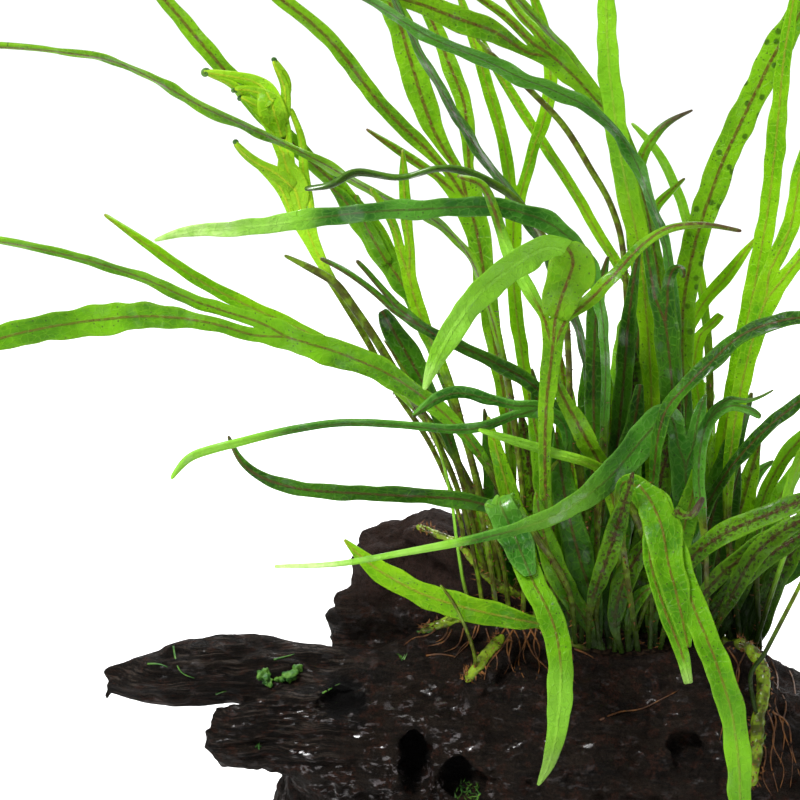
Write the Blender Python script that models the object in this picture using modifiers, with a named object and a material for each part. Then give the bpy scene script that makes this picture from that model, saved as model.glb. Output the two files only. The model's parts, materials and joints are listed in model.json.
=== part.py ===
"""A java fern growing on a piece of driftwood.

The tables are in millimetres. Every place is given in one front view, 200 mm square: how far
across from its left edge, how far up from its lower edge, and its depth, which is how far it
lies behind the middle of the crown (less is nearer). The world is +X right, +Y away, +Z up,
with the origin in the middle of the wood's flat underside.
"""

import math
from collections import namedtuple

import bmesh
import bpy
import numpy as np
from mathutils import Vector, kdtree, noise

MM = 0.001
NAME = "java_fern_on_driftwood"
GAP = 0.3  # between pieces that touch

# The front view
VIEW_SIZE = 200.0
VIEW_LEFT = -160.0  # world x of its left edge
VIEW_BOTTOM = 20.0  # height of its lower edge above the floor under the crown
VIEW_TILT = math.radians(11)  # it looks down by this much
EYE_DISTANCE = 550.0

UP = Vector((0, math.sin(VIEW_TILT), math.cos(VIEW_TILT)))
AIM = Vector(
    (VIEW_LEFT + VIEW_SIZE / 2, 0, (VIEW_BOTTOM + VIEW_SIZE / 2) / math.cos(VIEW_TILT))
)
EYE = AIM - EYE_DISTANCE * Vector((0, math.cos(VIEW_TILT), -math.sin(VIEW_TILT)))

# Fronds
ROW = 3.0  # spacing of the rows along a blade while the fronds are combed apart
KEEP_ROWS = 6  # the solid keeps at least every sixth of them
KEEP_TURN = 18  # and those where the rib has turned by this many degrees
STALK_THICK = 1.3
BLADE_THICK = 0.7
STALK_WIDTH = 2.4  # a blade narrower than this is as thick as a stalk
SAME = 1e-5  # metres between points that are one point
CURVE_STEPS = 12  # points that a smooth curve is worked out at between two given ones
EDGE_ON = 0.15  # a rib nearer than this to the line of sight keeps the last row's direction
LOBE_TURN_ROWS = 4  # rows over which a lobe turns from its stem's direction to its own
SLIT = 0.2  # half the least gap between two lobes that lie beside each other
BEND_SHARE = 0.8  # a blade's inner half reaches this far towards the middle of its bend
STRAIGHT = 1e-3  # a bend weaker than this, per millimetre, limits nothing

# Combing, which moves the fronds apart in depth
COMB_ROUNDS = 220
COMB_GAP = 0.7  # kept between two fronds
COMB_SIDE = 0.3  # added to each half width
COMB_REACH = 1.0  # rows are combed when the front view shows less than this between them
COMB_STEP = 0.6  # share of the missing gap that one round makes up
COMB_EVEN = 0.3  # how much of a row's move comes from the rows beside it

# Wood
WOOD_VOXEL = 2.0
WOOD_TRIANGLES = 1900
WOOD_GROOVE = 0.35  # how much wider than the rhizome its groove is
WOOD_BED = 3.3  # radius of the ridge of wood under a rhizome
WOOD_BED_SUNK = 3.1  # how deep the ridge's middle lies under the rhizome's
WOOD_BED_WAY = Vector((0, 0.15, -1))  # and the way that it lies, as far as square to the rhizome
WOOD_CALM = (2.0, 9.0)  # the relief grows from nothing to full over these distances
BRANCH_NOTCH = (53.0, 24.0)  # the branch's lower and upper notch in the front view
BRANCH_CROOK = (80.0, 41.0)
STUMP_FOOT = 65.0  # height at which the stump leaves the trunk
STUMP_FRONT = 0.0  # world y of the foot's front edge
RIGHT_FORK = 62.0  # world x at which the right branch leaves the trunk
FAR = 400.0  # beyond all of the wood
# The wood's relief: height of each noise, then its grain size and shift along x, y and z
WOOD_RIDGES = [
    (3.5, (33, 27, 25), (4, 1, 8)),
    (2.4, (14, 12, 11), (7, 3, 5)),
    (1.7, (38, 7, 5), (0, 0, 0)),
]
WOOD_PITS = (-2.4, (7, 6, 5), (1, 9, 2))
WOOD_PIT_EDGE = 0.15  # noise under this leaves no pit

Blade = namedtuple("Blade", "points lobes", defaults=((),))
Frond = namedtuple("Frond", "rhizome share stem lobes", defaults=((),))

# Rhizomes: across, up, depth and radius along each
RHIZOMES = {
    "rhizome_front": [
        (105, 42, -8, 1.1),
        (110, 43.7, -9, 1.5),
        (116, 45.7, -9, 1.6),
        (124, 46.2, -9, 1.6),
        (132.5, 45, -10, 1.7),
        (141, 40, -11, 1.8),
        (150, 37, -12, 1.8),
        (160, 36.8, -12, 1.8),
        (170, 38.4, -10, 1.7),
        (178, 39, -8, 1.5),
    ],
    "rhizome_left": [
        (104, 68.5, 8, 1.0),
        (110, 66, 5, 1.1),
        (115, 63.5, 3, 1.2),
        (120, 57.5, 2, 1.4),
        (125, 53, 2, 1.5),
        (131, 51, 2, 1.4),
    ],
    "rhizome_low": [
        (116.5, 29.5, -22, 1.3),
        (119.5, 33.5, -21, 1.6),
        (122.5, 37.5, -18, 1.6),
        (126, 41, -15, 1.4),
    ],
    "rhizome_hanging": [
        (183.5, 39.5, -11, 1.6),
        (187.5, 37.5, -14, 1.7),
        (190.5, 33, -18.5, 1.8),
        (190.8, 27, -23.5, 1.8),
        (189.5, 20, -27, 1.8),
        (189, 12, -30.5, 1.8),
        (187.5, 3, -32.5, 1.5),
    ],
    "rhizome_back": [
        (118, 49, 12, 1.4),
        (130, 44.5, 13, 1.8),
        (145, 42.2, 13, 1.9),
        (160, 41.4, 13, 1.9),
        (175, 40.5, 13, 1.9),
        (190, 37.5, 12, 1.6),
    ],
}

# Fronds: the rhizome, how far along it, then across, up, depth, width and turn along the stem
# and each lobe. A turn of 0 is broadside on and 90 is edge-on. Lobes run from left to right,
# seen from the front with the tip pointing up.
FRONDS = {
    "frond_left_high_thin": Frond(
        "rhizome_left",
        0.94,
        [
            (131, 70, 0, 1.8, 20),
            (128.5, 95, 2, 2.2, 40),
            (124, 118, 3, 3, 55),
            (117, 137, 4, 4, 60),
            (106, 147, 5, 5, 62),
            (97, 150.5, 6, 5, 62),
            (75, 162.5, 8, 5, 62),
            (50, 174, 10, 4.5, 62),
            (31, 184, 12, 4, 62),
            (15, 187.3, 13, 3, 60),
            (0, 188.7, 14, 2, 60),
            (-9, 188.5, 14, 0.6, 60),
        ],
    ),
    "frond_left_high_broad": Frond(
        "rhizome_left",
        0.83,
        [
            (122.5, 68, 5, 1.8, 0),
            (117, 88, 10, 2.2, 10),
            (110, 108, 14, 3, 20),
            (102, 127, 17, 4, 25),
            (94, 143, 18, 4.5, 25),
            (85, 153, 18, 4.6, 25),
            (72, 165.5, 18, 4.6, 20),
            (55.5, 183.5, 18, 4.6, 20),
            (41, 200.5, 18, 4, 20),
            (33, 210, 18, 2, 20),
            (29, 215, 18, 0.5, 20),
        ],
    ),
    "frond_young_curled": Frond(
        "rhizome_left",
        0.42,
        [
            (115.5, 68, 1, 1.6, 0),
            (112.5, 78, 2, 1.6, 0),
            (107, 90, 4, 1.8, 0),
            (99, 102, 6, 1.8, 0),
            (90, 118, 8, 2.2, 0),
            (81.5, 132.5, 8, 2.8, 5),
            (77.5, 141, 8, 4.2, 10),
            (75.5, 147, 8, 7, 10),
        ],
        [
            Blade([(70, 153.5, 8, 3.4, 20), (64, 159.5, 7, 2, 30), (58.5, 164.5, 6, 0.6, 60)]),
            Blade(
                [(72.6, 158, 8, 4, 10), (70.2, 166, 9, 5.5, 10)],
                [
                    Blade([(65, 172, 10, 2.8, 30), (58, 179, 9, 2.4, 40), (51, 182, 8, 0.7, 60)]),
                    Blade([(71.3, 174, 8, 2.6, 0), (71.8, 180, 7, 2, 20), (68.2, 185.5, 6, 0.7, 40)]),
                ],
            ),
            Blade([(76, 157, 8, 2.6, 20), (75.5, 165, 7, 2, 35), (72.6, 173, 6, 0.7, 50)]),
        ],
    ),
    "frond_left_low_forked": Frond(
        "rhizome_front",
        0.40,
        [
            (131, 62, -12, 2, 0),
            (124, 80, -12, 2.4, 10),
            (114, 94, -12, 4, 20),
            (100, 105, -11, 6, 25),
            (87.5, 111, -10, 7.4, 25),
            (75, 115, -9, 7.6, 22),
            (64, 118, -8, 7.6, 20),
        ],
        [
            Blade(
                [
                    (52, 119.6, -8, 4.6, 10),
                    (40, 121, -7, 7.2, 10),
                    (27.5, 120.5, -6, 7.8, 10),
                    (12.5, 118.5, -6, 7.8, 10),
                    (0, 115.5, -6, 6.4, 10),
                    (-9, 112, -6, 3.4, 10),
                    (-14, 109.5, -6, 0.6, 10),
                ]
            ),
            Blade(
                [
                    (50, 124.5, -7, 4.4, 30),
                    (37.5, 130, -6, 4, 40),
                    (25, 134.3, -5, 3.6, 45),
                    (12.5, 137.5, -4, 3, 45),
                    (0, 140, -3, 2.2, 45),
                    (-12, 141.5, -3, 0.6, 45),
                ]
            ),
        ],
    ),
    "frond_left_light_tip": Frond(
        "rhizome_front",
        0.30,
        [
            (125.5, 60, -6, 1.8, 0),
            (119, 76, -2, 2, 10),
            (110, 91, 0, 2.4, 20),
            (98, 104, 2, 3, 30),
            (86, 112, 3, 3.4, 30),
            (75, 118, 4, 3.8, 25),
            (62.5, 123.5, 4, 3.8, 20),
            (50, 130, 4, 3.6, 20),
            (37.5, 138.5, 4, 2.6, 20),
            (26, 146.5, 4, 0.5, 20),
        ],
    ),
    "frond_left_pale_tip": Frond(
        "rhizome_front",
        0.615,
        [
            (149, 60, -16, 2, 10),
            (151, 90, -19, 2.6, 30),
            (151.5, 115, -22, 4, 50),
            (148, 133, -25, 5.6, 45),
            (141, 142, -27, 5.6, 35),
            (131, 147, -28, 5.6, 25),
            (120, 148.5, -28, 5.6, 20),
            (100, 147.6, -27, 5.4, 20),
            (87.5, 146.8, -26, 5.2, 20),
            (70, 144.3, -25, 4.8, 20),
            (55, 143, -24, 4, 20),
            (45, 141.8, -24, 2.4, 20),
            (38.5, 139.8, -24, 0.5, 20),
        ],
    ),
    "frond_twisted_thin": Frond(
        "rhizome_front",
        0.515,
        [
            (141.5, 70, -14, 1.6, 20),
            (142.5, 100, -16, 1.8, 40),
            (140, 130, -18, 2.2, 60),
            (131, 148, -19, 2.6, 55),
            (119, 156.2, -20, 2.8, 40),
            (110, 158, -19, 2.6, 60),
            (100, 155.6, -18, 2.2, 70),
            (89, 157, -17, 2.6, 40),
            (83, 153.8, -16, 1.8, 50),
            (76, 152.8, -15, 0.5, 60),
        ],
    ),
    "frond_left_narrow": Frond(
        "rhizome_front",
        0.215,
        [
            (119.5, 56, -8, 1.6, 0),
            (115, 76, -7, 1.8, 10),
            (108, 92, -5, 2, 20),
            (100, 105, -4, 2.4, 30),
            (94, 115, -3, 2.4, 30),
            (87.5, 124.5, -2, 2.4, 25),
            (83.5, 129.5, -2, 2.4, 20),
            (77.5, 133, -2, 2, 20),
            (71, 136.2, -2, 0.5, 20),
        ],
    ),
    "frond_ragged": Frond(
        "rhizome_left",
        0.70,
        [
            (118, 70, -4, 1.8, 0),
            (114.5, 84, -6, 2.4, 10),
            (109.5, 97, -7, 4, 20),
            (105, 106, -8, 6, 20),
            (101, 113, -8, 7, 15),
            (97.5, 119, -8, 5.6, 10),
            (95.5, 122.5, -8, 2.4, 10),
        ],
    ),
    "frond_wet_narrow": Frond(
        "rhizome_front",
        0.565,
        [
            (145.5, 62, -13, 1.8, 0),
            (144.5, 85, -14, 2.6, 20),
            (136, 101.5, -15, 4.2, 40),
            (122.5, 110.3, -14, 4.4, 45),
            (109, 116.5, -13, 4.2, 45),
            (99, 123, -12, 3.6, 40),
        ],
        [
            Blade([(93, 127.5, -11, 1.4, 30), (86, 132.5, -10, 1.2, 30), (80, 135.5, -9, 0.5, 30)]),
            Blade([(94.5, 129, -12, 1.2, 30), (91.5, 132.5, -12, 1, 30), (89, 135, -12, 0.5, 30)]),
        ],
    ),
    "frond_twisted_fork": Frond(
        "rhizome_front",
        0.435,
        [
            (137, 62, -17, 1.8, 0),
            (141, 82, -21, 2.4, 10),
            (141.5, 93, -24, 3.4, 20),
            (136, 98, -26, 4.6, 30),
            (129, 97.6, -27, 5, 30),
        ],
        [
            Blade(
                [
                    (121, 93.5, -28, 3, 30),
                    (112, 92.8, -28, 3, 40),
                    (102, 93.8, -27, 3, 50),
                    (86, 94.4, -26, 2.6, 50),
                    (75, 93, -25, 2.4, 45),
                    (65, 90.8, -24, 2.4, 40),
                    (50, 86.8, -23, 2.4, 30),
                    (46, 84.5, -23, 2, 30),
                    (42.7, 80.2, -23, 0.5, 30),
                ]
            ),
            Blade(
                [
                    (121, 100.8, -26, 4, 40),
                    (114, 102, -26, 3.6, 30),
                    (108.5, 100, -26, 3, 20),
                    (103, 95.9, -26, 0.6, 20),
                ]
            ),
        ],
    ),
    "frond_low_left": Frond(
        "rhizome_front",
        0.345,
        [
            (131, 58, -15, 2, 0),
            (128.5, 69.5, -18, 3, 20),
            (118, 75, -20, 4.6, 30),
            (100, 76.3, -20, 5, 30),
            (87.5, 77, -20, 4.8, 25),
            (75, 78, -20, 4.2, 20),
            (65.5, 80.8, -19, 2.8, 20),
            (60, 85.3, -18, 1.6, 20),
            (57, 91.2, -17, 0.4, 20),
        ],
    ),
    "frond_over_wood": Frond(
        "rhizome_front",
        0.47,
        [
            (136, 43.8, -19, 2.4, 0),
            (130, 45.2, -22, 5, 10),
            (118, 47.8, -23, 6.6, 10),
            (107.5, 51, -22, 6.6, 10),
            (99, 55, -21, 6, 10),
            (91.5, 60, -20, 4, 10),
            (86, 65.2, -19, 0.5, 10),
        ],
    ),
    "frond_folded_front": Frond(
        "rhizome_front",
        0.955,
        [
            (174, 55, -10, 3, 0),
            (172, 68, -11, 6, 10),
            (171.5, 80, -12, 8, 10),
            (171.5, 91, -13, 8.8, 5),
        ],
        [
            Blade(
                [
                    (167.3, 96.5, -17, 6.4, 0),
                    (161.5, 91.5, -22, 7.8, 10),
                    (156, 85, -27, 8, 15),
                    (149, 78, -33, 7.2, 20),
                    (137, 70.5, -39, 4.8, 25),
                    (120, 65.6, -43, 2.4, 20),
                    (100, 61.7, -46, 1.6, 0),
                    (84, 59, -47, 1.4, 0),
                    (68.5, 58.4, -47, 0.7, 0),
                ]
            ),
            Blade([(174.8, 97, -12, 3.4, 10), (176.5, 101.5, -11, 0.8, 20)]),
        ],
    ),
    "frond_hanging_front": Frond(
        "rhizome_front",
        0.545,
        [
            (142, 53, -20, 2, 0),
            (134, 66, -27, 2.4, 0),
            (127.5, 74.5, -33, 3.4, 10),
            (126, 73, -37, 5, 20),
            (128.5, 66, -41, 6.4, 20),
            (133, 55, -45, 7, 15),
            (138, 45, -48, 7.2, 10),
            (140, 35, -50, 6.8, 5),
            (140, 25, -52, 6.2, 0),
            (138.7, 15, -53, 4.8, 0),
            (137, 8.7, -53, 3.2, 0),
            (134.4, 3.6, -53, 0.6, 0),
        ],
    ),
    "frond_hanging_right_forked": Frond(
        "rhizome_front",
        0.75,
        [
            (156.5, 58, -21, 2, 0),
            (154.5, 74, -27, 2.4, 0),
            (156.3, 80, -32, 3.6, 0),
            (160, 77.5, -36, 6, 5),
            (164.5, 72.5, -40, 9, 5),
        ],
        [
            Blade(
                [
                    (169.8, 59, -44, 5.8, 5),
                    (173.5, 48, -47, 6.6, 5),
                    (178, 37, -50, 6.8, 5),
                    (182, 25, -52, 6.8, 0),
                    (184.3, 12.5, -54, 6.6, 0),
                    (185, 0, -55, 6, 0),
                    (184.6, -8, -55, 3.2, 0),
                    (184, -13, -55, 0.6, 0),
                ]
            ),
            Blade(
                [
                    (162.5, 60, -43, 3.4, 0),
                    (166, 48, -46, 3.8, 0),
                    (170.3, 37, -48, 3.6, 0),
                    (172.2, 29, -49, 2.4, 0),
                ]
            ),
        ],
    ),
    "frond_trident_arching": Frond(
        "rhizome_front",
        0.49,
        [
            (138, 56, -20, 2.2, 0),
            (136.3, 78, -26, 3, 0),
            (136.5, 98, -30, 4, 0),
            (138, 112, -31, 5.2, 0),
            (138.7, 120, -31, 7, 0),
        ],
        [
            Blade(
                [
                    (131.5, 129, -30, 4, 10),
                    (126.5, 138.5, -30, 3.4, 20),
                    (123.5, 148, -31, 2.8, 20),
                    (120.4, 154, -32, 2.2, 20),
                    (114.2, 156, -33, 0.5, 20),
                ]
            ),
            Blade(
                [
                    (141.5, 129, -34, 5.4, 0),
                    (142, 136.5, -39, 6.6, 10),
                    (136, 138, -46, 7.2, 20),
                    (129, 134, -52, 7.4, 20),
                    (120, 127, -58, 7.2, 15),
                    (113, 117.5, -63, 6.4, 10),
                    (108.3, 108.5, -66, 4.2, 10),
                    (106, 102.5, -68, 0.8, 10),
                ]
            ),
            Blade(
                [
                    (147.5, 125, -30, 4, 20),
                    (154, 131.5, -30, 3.8, 30),
                    (160, 138, -30, 3.4, 35),
                    (167, 142.7, -30, 2.4, 35),
                    (176, 143.8, -30, 1.4, 30),
                    (185.5, 142.2, -30, 0.5, 30),
                ]
            ),
        ],
    ),
    "frond_tall_trident": Frond(
        "rhizome_back",
        0.17,
        [
            (128.5, 70, 17, 2.2, 0),
            (127, 95, 20, 3.4, 10),
            (123.5, 115, 22, 4.6, 15),
            (121, 132, 23, 5.6, 15),
            (118.5, 145, 24, 6.6, 10),
            (114, 156.5, 24, 9.6, 5),
        ],
        [
            Blade([(101, 161.5, 24, 2.4, 10), (91.5, 167.8, 24, 0.6, 10)]),
            Blade(
                [
                    (106.5, 163, 24, 3.8, 10),
                    (99, 170, 24, 4.2, 15),
                    (92, 178, 24, 4.2, 15),
                    (86, 186, 23, 4.4, 15),
                    (79, 193.5, 22, 4.4, 15),
                    (70, 200.5, 21, 3.8, 15),
                    (60, 208, 20, 0.8, 15),
                ]
            ),
            Blade(
                [
                    (109.5, 165, 25, 4.6, 5),
                    (106, 174, 26, 6.6, 10),
                    (102.7, 185, 27, 6.8, 10),
                    (99.5, 195, 28, 6.4, 10),
                    (95.5, 203, 29, 5, 10),
                    (90, 213, 30, 0.6, 10),
                ]
            ),
            Blade(
                [
                    (117, 166, 25, 3.8, 20),
                    (116, 175, 27, 4.4, 25),
                    (112.5, 184, 29, 4.4, 25),
                    (108.7, 193.5, 31, 4.2, 25),
                    (104.5, 203, 33, 3.2, 25),
                    (101, 211, 34, 0.6, 25),
                ]
            ),
        ],
    ),
    "frond_slender_pair": Frond(
        "rhizome_front",
        0.26,
        [
            (123, 56, -13, 1.8, 0),
            (121, 68, -14, 1.8, 0),
            (118, 84, -13, 2, 10),
            (112, 105, -10, 2.6, 15),
            (106, 119, -8, 3.6, 15),
            (102.8, 129, -7, 4, 15),
            (101.2, 138, -7, 5, 10),
        ],
        [
            Blade([(98.5, 143.5, -7, 2.4, 20), (95.5, 149, -8, 2, 30), (92.5, 153, -9, 0.5, 40)]),
            Blade([(101.5, 146, -7, 3, 10), (101, 155, -7, 2.8, 10), (100.7, 162.8, -7, 0.6, 10)]),
        ],
    ),
    "frond_edge_on_dark": Frond(
        "rhizome_back",
        0.47,
        [
            (150.5, 68, 8, 2, 20),
            (149, 95, 4, 3.6, 50),
            (145, 117, 2, 5, 62),
            (138, 135, 1, 5.2, 64),
            (130, 149, 0, 5.2, 64),
            (120, 162.5, -1, 5.2, 64),
            (114, 171.5, -2, 5, 64),
            (107.5, 183, -3, 4.8, 64),
            (102, 193.5, -4, 4, 64),
            (98.5, 201, -5, 3, 64),
            (95.5, 208, -6, 0.6, 64),
        ],
    ),
    "frond_long_blue": Frond(
        "rhizome_back",
        0.735,
        [
            (171, 68, 8, 2, 20),
            (170, 95, 4, 3, 40),
            (169, 120, 0, 4, 55),
            (167, 137, -3, 4.8, 58),
            (163, 150, -6, 5.2, 55),
            (157.5, 163, -9, 5.2, 50),
            (150, 171.5, -12, 5.2, 50),
            (140, 177, -15, 5.2, 50),
            (130, 181, -18, 5.2, 50),
            (120, 185.8, -21, 5, 50),
            (107.5, 191, -24, 4.4, 50),
            (95, 198.5, -27, 3.4, 50),
            (85, 204, -29, 0.6, 50),
        ],
    ),
    "frond_top_forked": Frond(
        "rhizome_back",
        0.69,
        [
            (167, 75, 16, 2.2, 0),
            (167, 105, 17, 3.2, 20),
            (164.5, 133, 16, 4.2, 35),
            (160, 155, 14, 4.8, 40),
            (155, 167.5, 12, 5.2, 40),
            (147.5, 177, 10, 5.6, 35),
            (140, 184.5, 8, 6.2, 25),
            (133, 189.5, 7, 9, 15),
        ],
        [
            Blade(
                [
                    (124, 192, 5, 6, 10),
                    (115, 195.3, 3, 6.8, 10),
                    (106.5, 198.5, 1, 5.4, 10),
                    (97, 201.5, -1, 3.4, 10),
                    (89, 203.5, -2, 0.6, 10),
                ]
            ),
            Blade([(126.5, 196, 8, 2.6, 20), (120, 200.5, 9, 2, 20), (113, 205.5, 10, 0.6, 20)]),
            Blade([(130.5, 196, 11, 2.6, 30), (126, 202, 13, 2, 30), (121.5, 208, 15, 0.6, 30)]),
        ],
    ),
    "frond_toothed": Frond(
        "rhizome_back",
        0.565,
        [
            (159.5, 75, 20, 2.2, 10),
            (160.5, 105, 25, 2.8, 30),
            (159, 132, 27, 3.6, 45),
            (156, 155, 28, 4.2, 50),
            (151, 172, 28, 4.4, 50),
            (144, 184, 27, 4.4, 50),
            (138.5, 190.5, 26, 4.2, 50),
            (130, 200, 25, 3, 50),
            (123, 207, 24, 0.6, 50),
        ],
    ),
    "frond_upright_forked": Frond(
        "rhizome_back",
        0.31,
        [
            (138, 70, 24, 2.2, 0),
            (134, 92, 31, 2.8, 10),
            (130.5, 112, 35, 3.6, 20),
            (128.5, 130, 37, 4, 25),
            (128.5, 143, 38, 4.4, 25),
            (129.2, 153, 38, 6, 15),
        ],
        [
            Blade(
                [
                    (126.5, 162, 39, 3.4, 20),
                    (124.3, 171, 40, 3.6, 25),
                    (121.5, 180, 41, 3.6, 25),
                    (118.5, 190, 42, 3.2, 25),
                    (116, 198, 43, 2.2, 25),
                    (113.5, 205, 44, 0.6, 25),
                ]
            ),
            Blade(
                [
                    (133.5, 163, 38, 3.2, 20),
                    (136.3, 171, 37, 3.6, 20),
                    (137.8, 180, 36, 3.8, 20),
                    (136.5, 190, 35, 3.6, 20),
                    (134, 199, 34, 2.6, 20),
                    (131, 207, 33, 0.6, 20),
                ]
            ),
        ],
    ),
    "frond_arched_behind": Frond(
        "rhizome_back",
        0.61,
        [
            (163.5, 75, 27, 1.8, 0),
            (163.5, 105, 36, 2.4, 10),
            (158.5, 126, 40, 2.8, 20),
            (150, 141, 42, 3, 25),
            (142.5, 154, 43, 3, 25),
            (134, 167, 44, 3, 25),
            (127, 178, 45, 2.8, 25),
            (121, 188.5, 46, 2.2, 25),
            (117.5, 196, 47, 0.5, 25),
        ],
    ),
    "frond_dotted_thin": Frond(
        "rhizome_back",
        0.53,
        [
            (156, 75, 12, 1.6, 0),
            (157, 105, 12, 1.8, 10),
            (156, 135, 13, 2, 20),
            (153, 148, 14, 2, 30),
            (147.5, 158, 15, 2, 30),
            (141, 168.5, 16, 2, 30),
            (133, 177, 17, 1.8, 30),
            (125, 184.5, 18, 1.4, 30),
            (119, 190.5, 19, 0.5, 30),
        ],
    ),
    "frond_upright_broad": Frond(
        "rhizome_back",
        0.65,
        [
            (163, 66, 15, 2.4, 0),
            (163, 95, 13, 4, 10),
            (162, 117, 10, 5.2, 15),
            (160, 137, 7, 5.8, 20),
            (157, 152, 5, 5.8, 20),
            (154.5, 166, 4, 5.8, 20),
            (152.5, 182, 3, 5.8, 15),
            (151.6, 197, 3, 4.8, 15),
            (152, 206, 3, 3, 15),
            (152.5, 213, 3, 0.6, 15),
        ],
    ),
    "frond_wet_trunk": Frond(
        "rhizome_front",
        0.875,
        [
            (169.5, 58, -5, 2.6, 0),
            (169, 78, -5, 4.8, 15),
            (168.5, 98, -6, 6.2, 20),
            (167, 115, -5, 6.8, 20),
            (165.2, 127, -4, 6.8, 15),
        ],
        [
            Blade([(162.5, 133, -4, 3, 10), (161.5, 138.5, -4, 1.8, 20)]),
            Blade([(168, 132.5, -6, 3.2, 10), (170.5, 133, -9, 2.4, 30), (170.8, 130.5, -11, 0.8, 40)]),
        ],
    ),
    "frond_brown_tip": Frond(
        "rhizome_back",
        0.775,
        [
            (173, 70, 22, 1.8, 0),
            (169, 100, 27, 2.4, 10),
            (163.5, 126, 29, 3.4, 15),
            (161.5, 140, 30, 5, 15),
        ],
        [
            Blade(
                [
                    (159.5, 151, 31, 3.2, 20),
                    (160.3, 160, 31, 3.2, 20),
                    (164, 166.5, 31, 2.6, 20),
                    (168, 170, 31, 1.6, 20),
                    (173.3, 172.5, 31, 0.5, 20),
                ]
            ),
            Blade([(163.5, 147.5, 29, 2.8, 20), (167, 151.5, 28, 2.2, 20), (171.3, 155.5, 27, 0.6, 20)]),
        ],
    ),
    "frond_light_behind": Frond(
        "rhizome_back",
        0.815,
        [
            (177, 75, 32, 1.8, 0),
            (177.5, 105, 44, 2.4, 20),
            (175.5, 128, 48, 2.8, 30),
            (171.5, 146, 50, 3, 30),
            (166.5, 158.5, 50, 2.8, 30),
            (162, 165, 50, 2, 30),
            (157.8, 169.3, 50, 0.5, 30),
        ],
    ),
    "frond_big_right": Frond(
        "rhizome_back",
        0.855,
        [
            (177, 66, 20, 2.4, 0),
            (172.5, 90, 24, 4, 0),
            (170.5, 110, 24, 5.6, 0),
            (171.3, 127, 24, 6.6, 5),
            (175.5, 145, 24, 7, 10),
            (180.5, 159, 24, 7, 15),
            (187, 173, 23, 7, 15),
            (193.5, 186, 22, 7, 15),
            (200, 196.5, 21, 6.2, 15),
            (208, 206, 20, 3.4, 15),
            (213, 211, 20, 0.6, 15),
        ],
    ),
    "frond_right_upright": Frond(
        "rhizome_back",
        0.895,
        [
            (178.5, 66, 12, 2.4, 0),
            (179.5, 82, 12, 3.4, 10),
            (183, 101, 12, 4.6, 20),
            (187, 120, 12, 5.2, 25),
            (190.3, 137, 12, 5.4, 25),
            (192.8, 153, 12, 5.4, 25),
            (194.7, 171, 11, 5.2, 25),
            (196.3, 187, 10, 4.2, 25),
            (198.5, 200, 9, 2.6, 25),
            (200, 208, 8, 0.6, 25),
        ],
    ),
    "frond_right_forked": Frond(
        "rhizome_back",
        0.935,
        [
            (182, 66, 5, 2.2, 0),
            (182.5, 85, 2, 3.4, 10),
            (185.5, 104, 0, 4.6, 15),
            (190, 121, -1, 5.6, 15),
            (194.5, 132, -1, 8.4, 10),
        ],
        [
            Blade(
                [
                    (197.5, 143, 0, 4.4, 10),
                    (200, 156, 1, 4.2, 15),
                    (203, 168, 2, 3, 20),
                    (206, 177, 3, 0.6, 20),
                ]
            ),
            Blade(
                [
                    (202, 137.5, -2, 4, 20),
                    (208, 143.5, -4, 3.4, 30),
                    (213.5, 149, -6, 2.2, 30),
                    (218, 153, -7, 0.6, 30),
                ]
            ),
        ],
    ),
    "frond_blunt_lobes": Frond(
        "rhizome_back",
        0.972,
        [
            (184, 66, 24, 2, 0),
            (177.5, 88, 33, 2.8, 10),
            (174, 105, 35, 4, 15),
            (173, 116, 35, 6.6, 10),
        ],
        [
            Blade(
                [
                    (176, 124.5, 34, 3.6, 15),
                    (181.5, 130.5, 32, 3.6, 20),
                    (185.5, 136, 30, 2.8, 25),
                    (189.2, 140.7, 28, 0.6, 25),
                ]
            ),
            Blade([(177.5, 118.5, 36, 3.4, 15), (180.3, 121.5, 36, 2.4, 15)]),
        ],
    ),
    "frond_arching_wet": Frond(
        "rhizome_front",
        0.79,
        [
            (163, 60, -15, 2, 10),
            (163.5, 80, -18, 3, 30),
            (166, 96, -21, 4.4, 40),
            (172, 103.5, -23, 5, 40),
            (178.5, 110, -25, 5.2, 40),
            (185, 115.8, -27, 5.2, 40),
            (192.5, 118.9, -28, 5, 40),
            (201, 120.5, -29, 4.4, 40),
            (210, 120, -30, 2.8, 40),
            (217, 117.5, -30, 0.5, 40),
        ],
    ),
    "frond_looped_thin": Frond(
        "rhizome_front",
        0.98,
        [
            (176.5, 60, -16, 1.8, 0),
            (174.8, 80, -19, 3.4, 20),
            (175.8, 91, -20, 4, 30),
            (179, 97.2, -21, 4.2, 40),
            (183, 99.3, -22, 4.4, 40),
        ],
        [
            Blade([(187, 99.8, -23, 0.9, 20), (190, 100.7, -23, 0.8, 20), (193.5, 102.6, -23, 0.4, 20)]),
            Blade([(187, 97.8, -22, 3.2, 30), (190.3, 95.6, -22, 1.2, 30)]),
        ],
    ),
    "frond_right_arching": Frond(
        "rhizome_front",
        0.915,
        [
            (173.5, 55, -6, 2, 10),
            (176, 71, -5, 3.2, 30),
            (182, 82, -5, 4.2, 40),
            (189, 90, -6, 4.6, 40),
            (195, 95.6, -7, 4.4, 40),
            (202, 101, -8, 3.8, 40),
            (210, 105.5, -9, 2.4, 40),
            (217, 108, -10, 0.5, 40),
        ],
    ),
    "frond_right_low": Frond(
        "rhizome_back",
        1.0,
        [
            (189, 58, 8, 2.2, 10),
            (190, 72, 4, 3.4, 20),
            (194, 82, 2, 4.4, 30),
            (200, 90, 0, 4.6, 30),
            (207, 96, -2, 3.2, 30),
            (214, 100, -4, 0.5, 30),
        ],
    ),
    "frond_bluish_behind": Frond(
        "rhizome_back",
        0.775,
        [(179, 58, 40, 2.4, 0), (180.5, 66, 46, 4.6, 0), (181.8, 72, 48, 8, 0)],
        [
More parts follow.
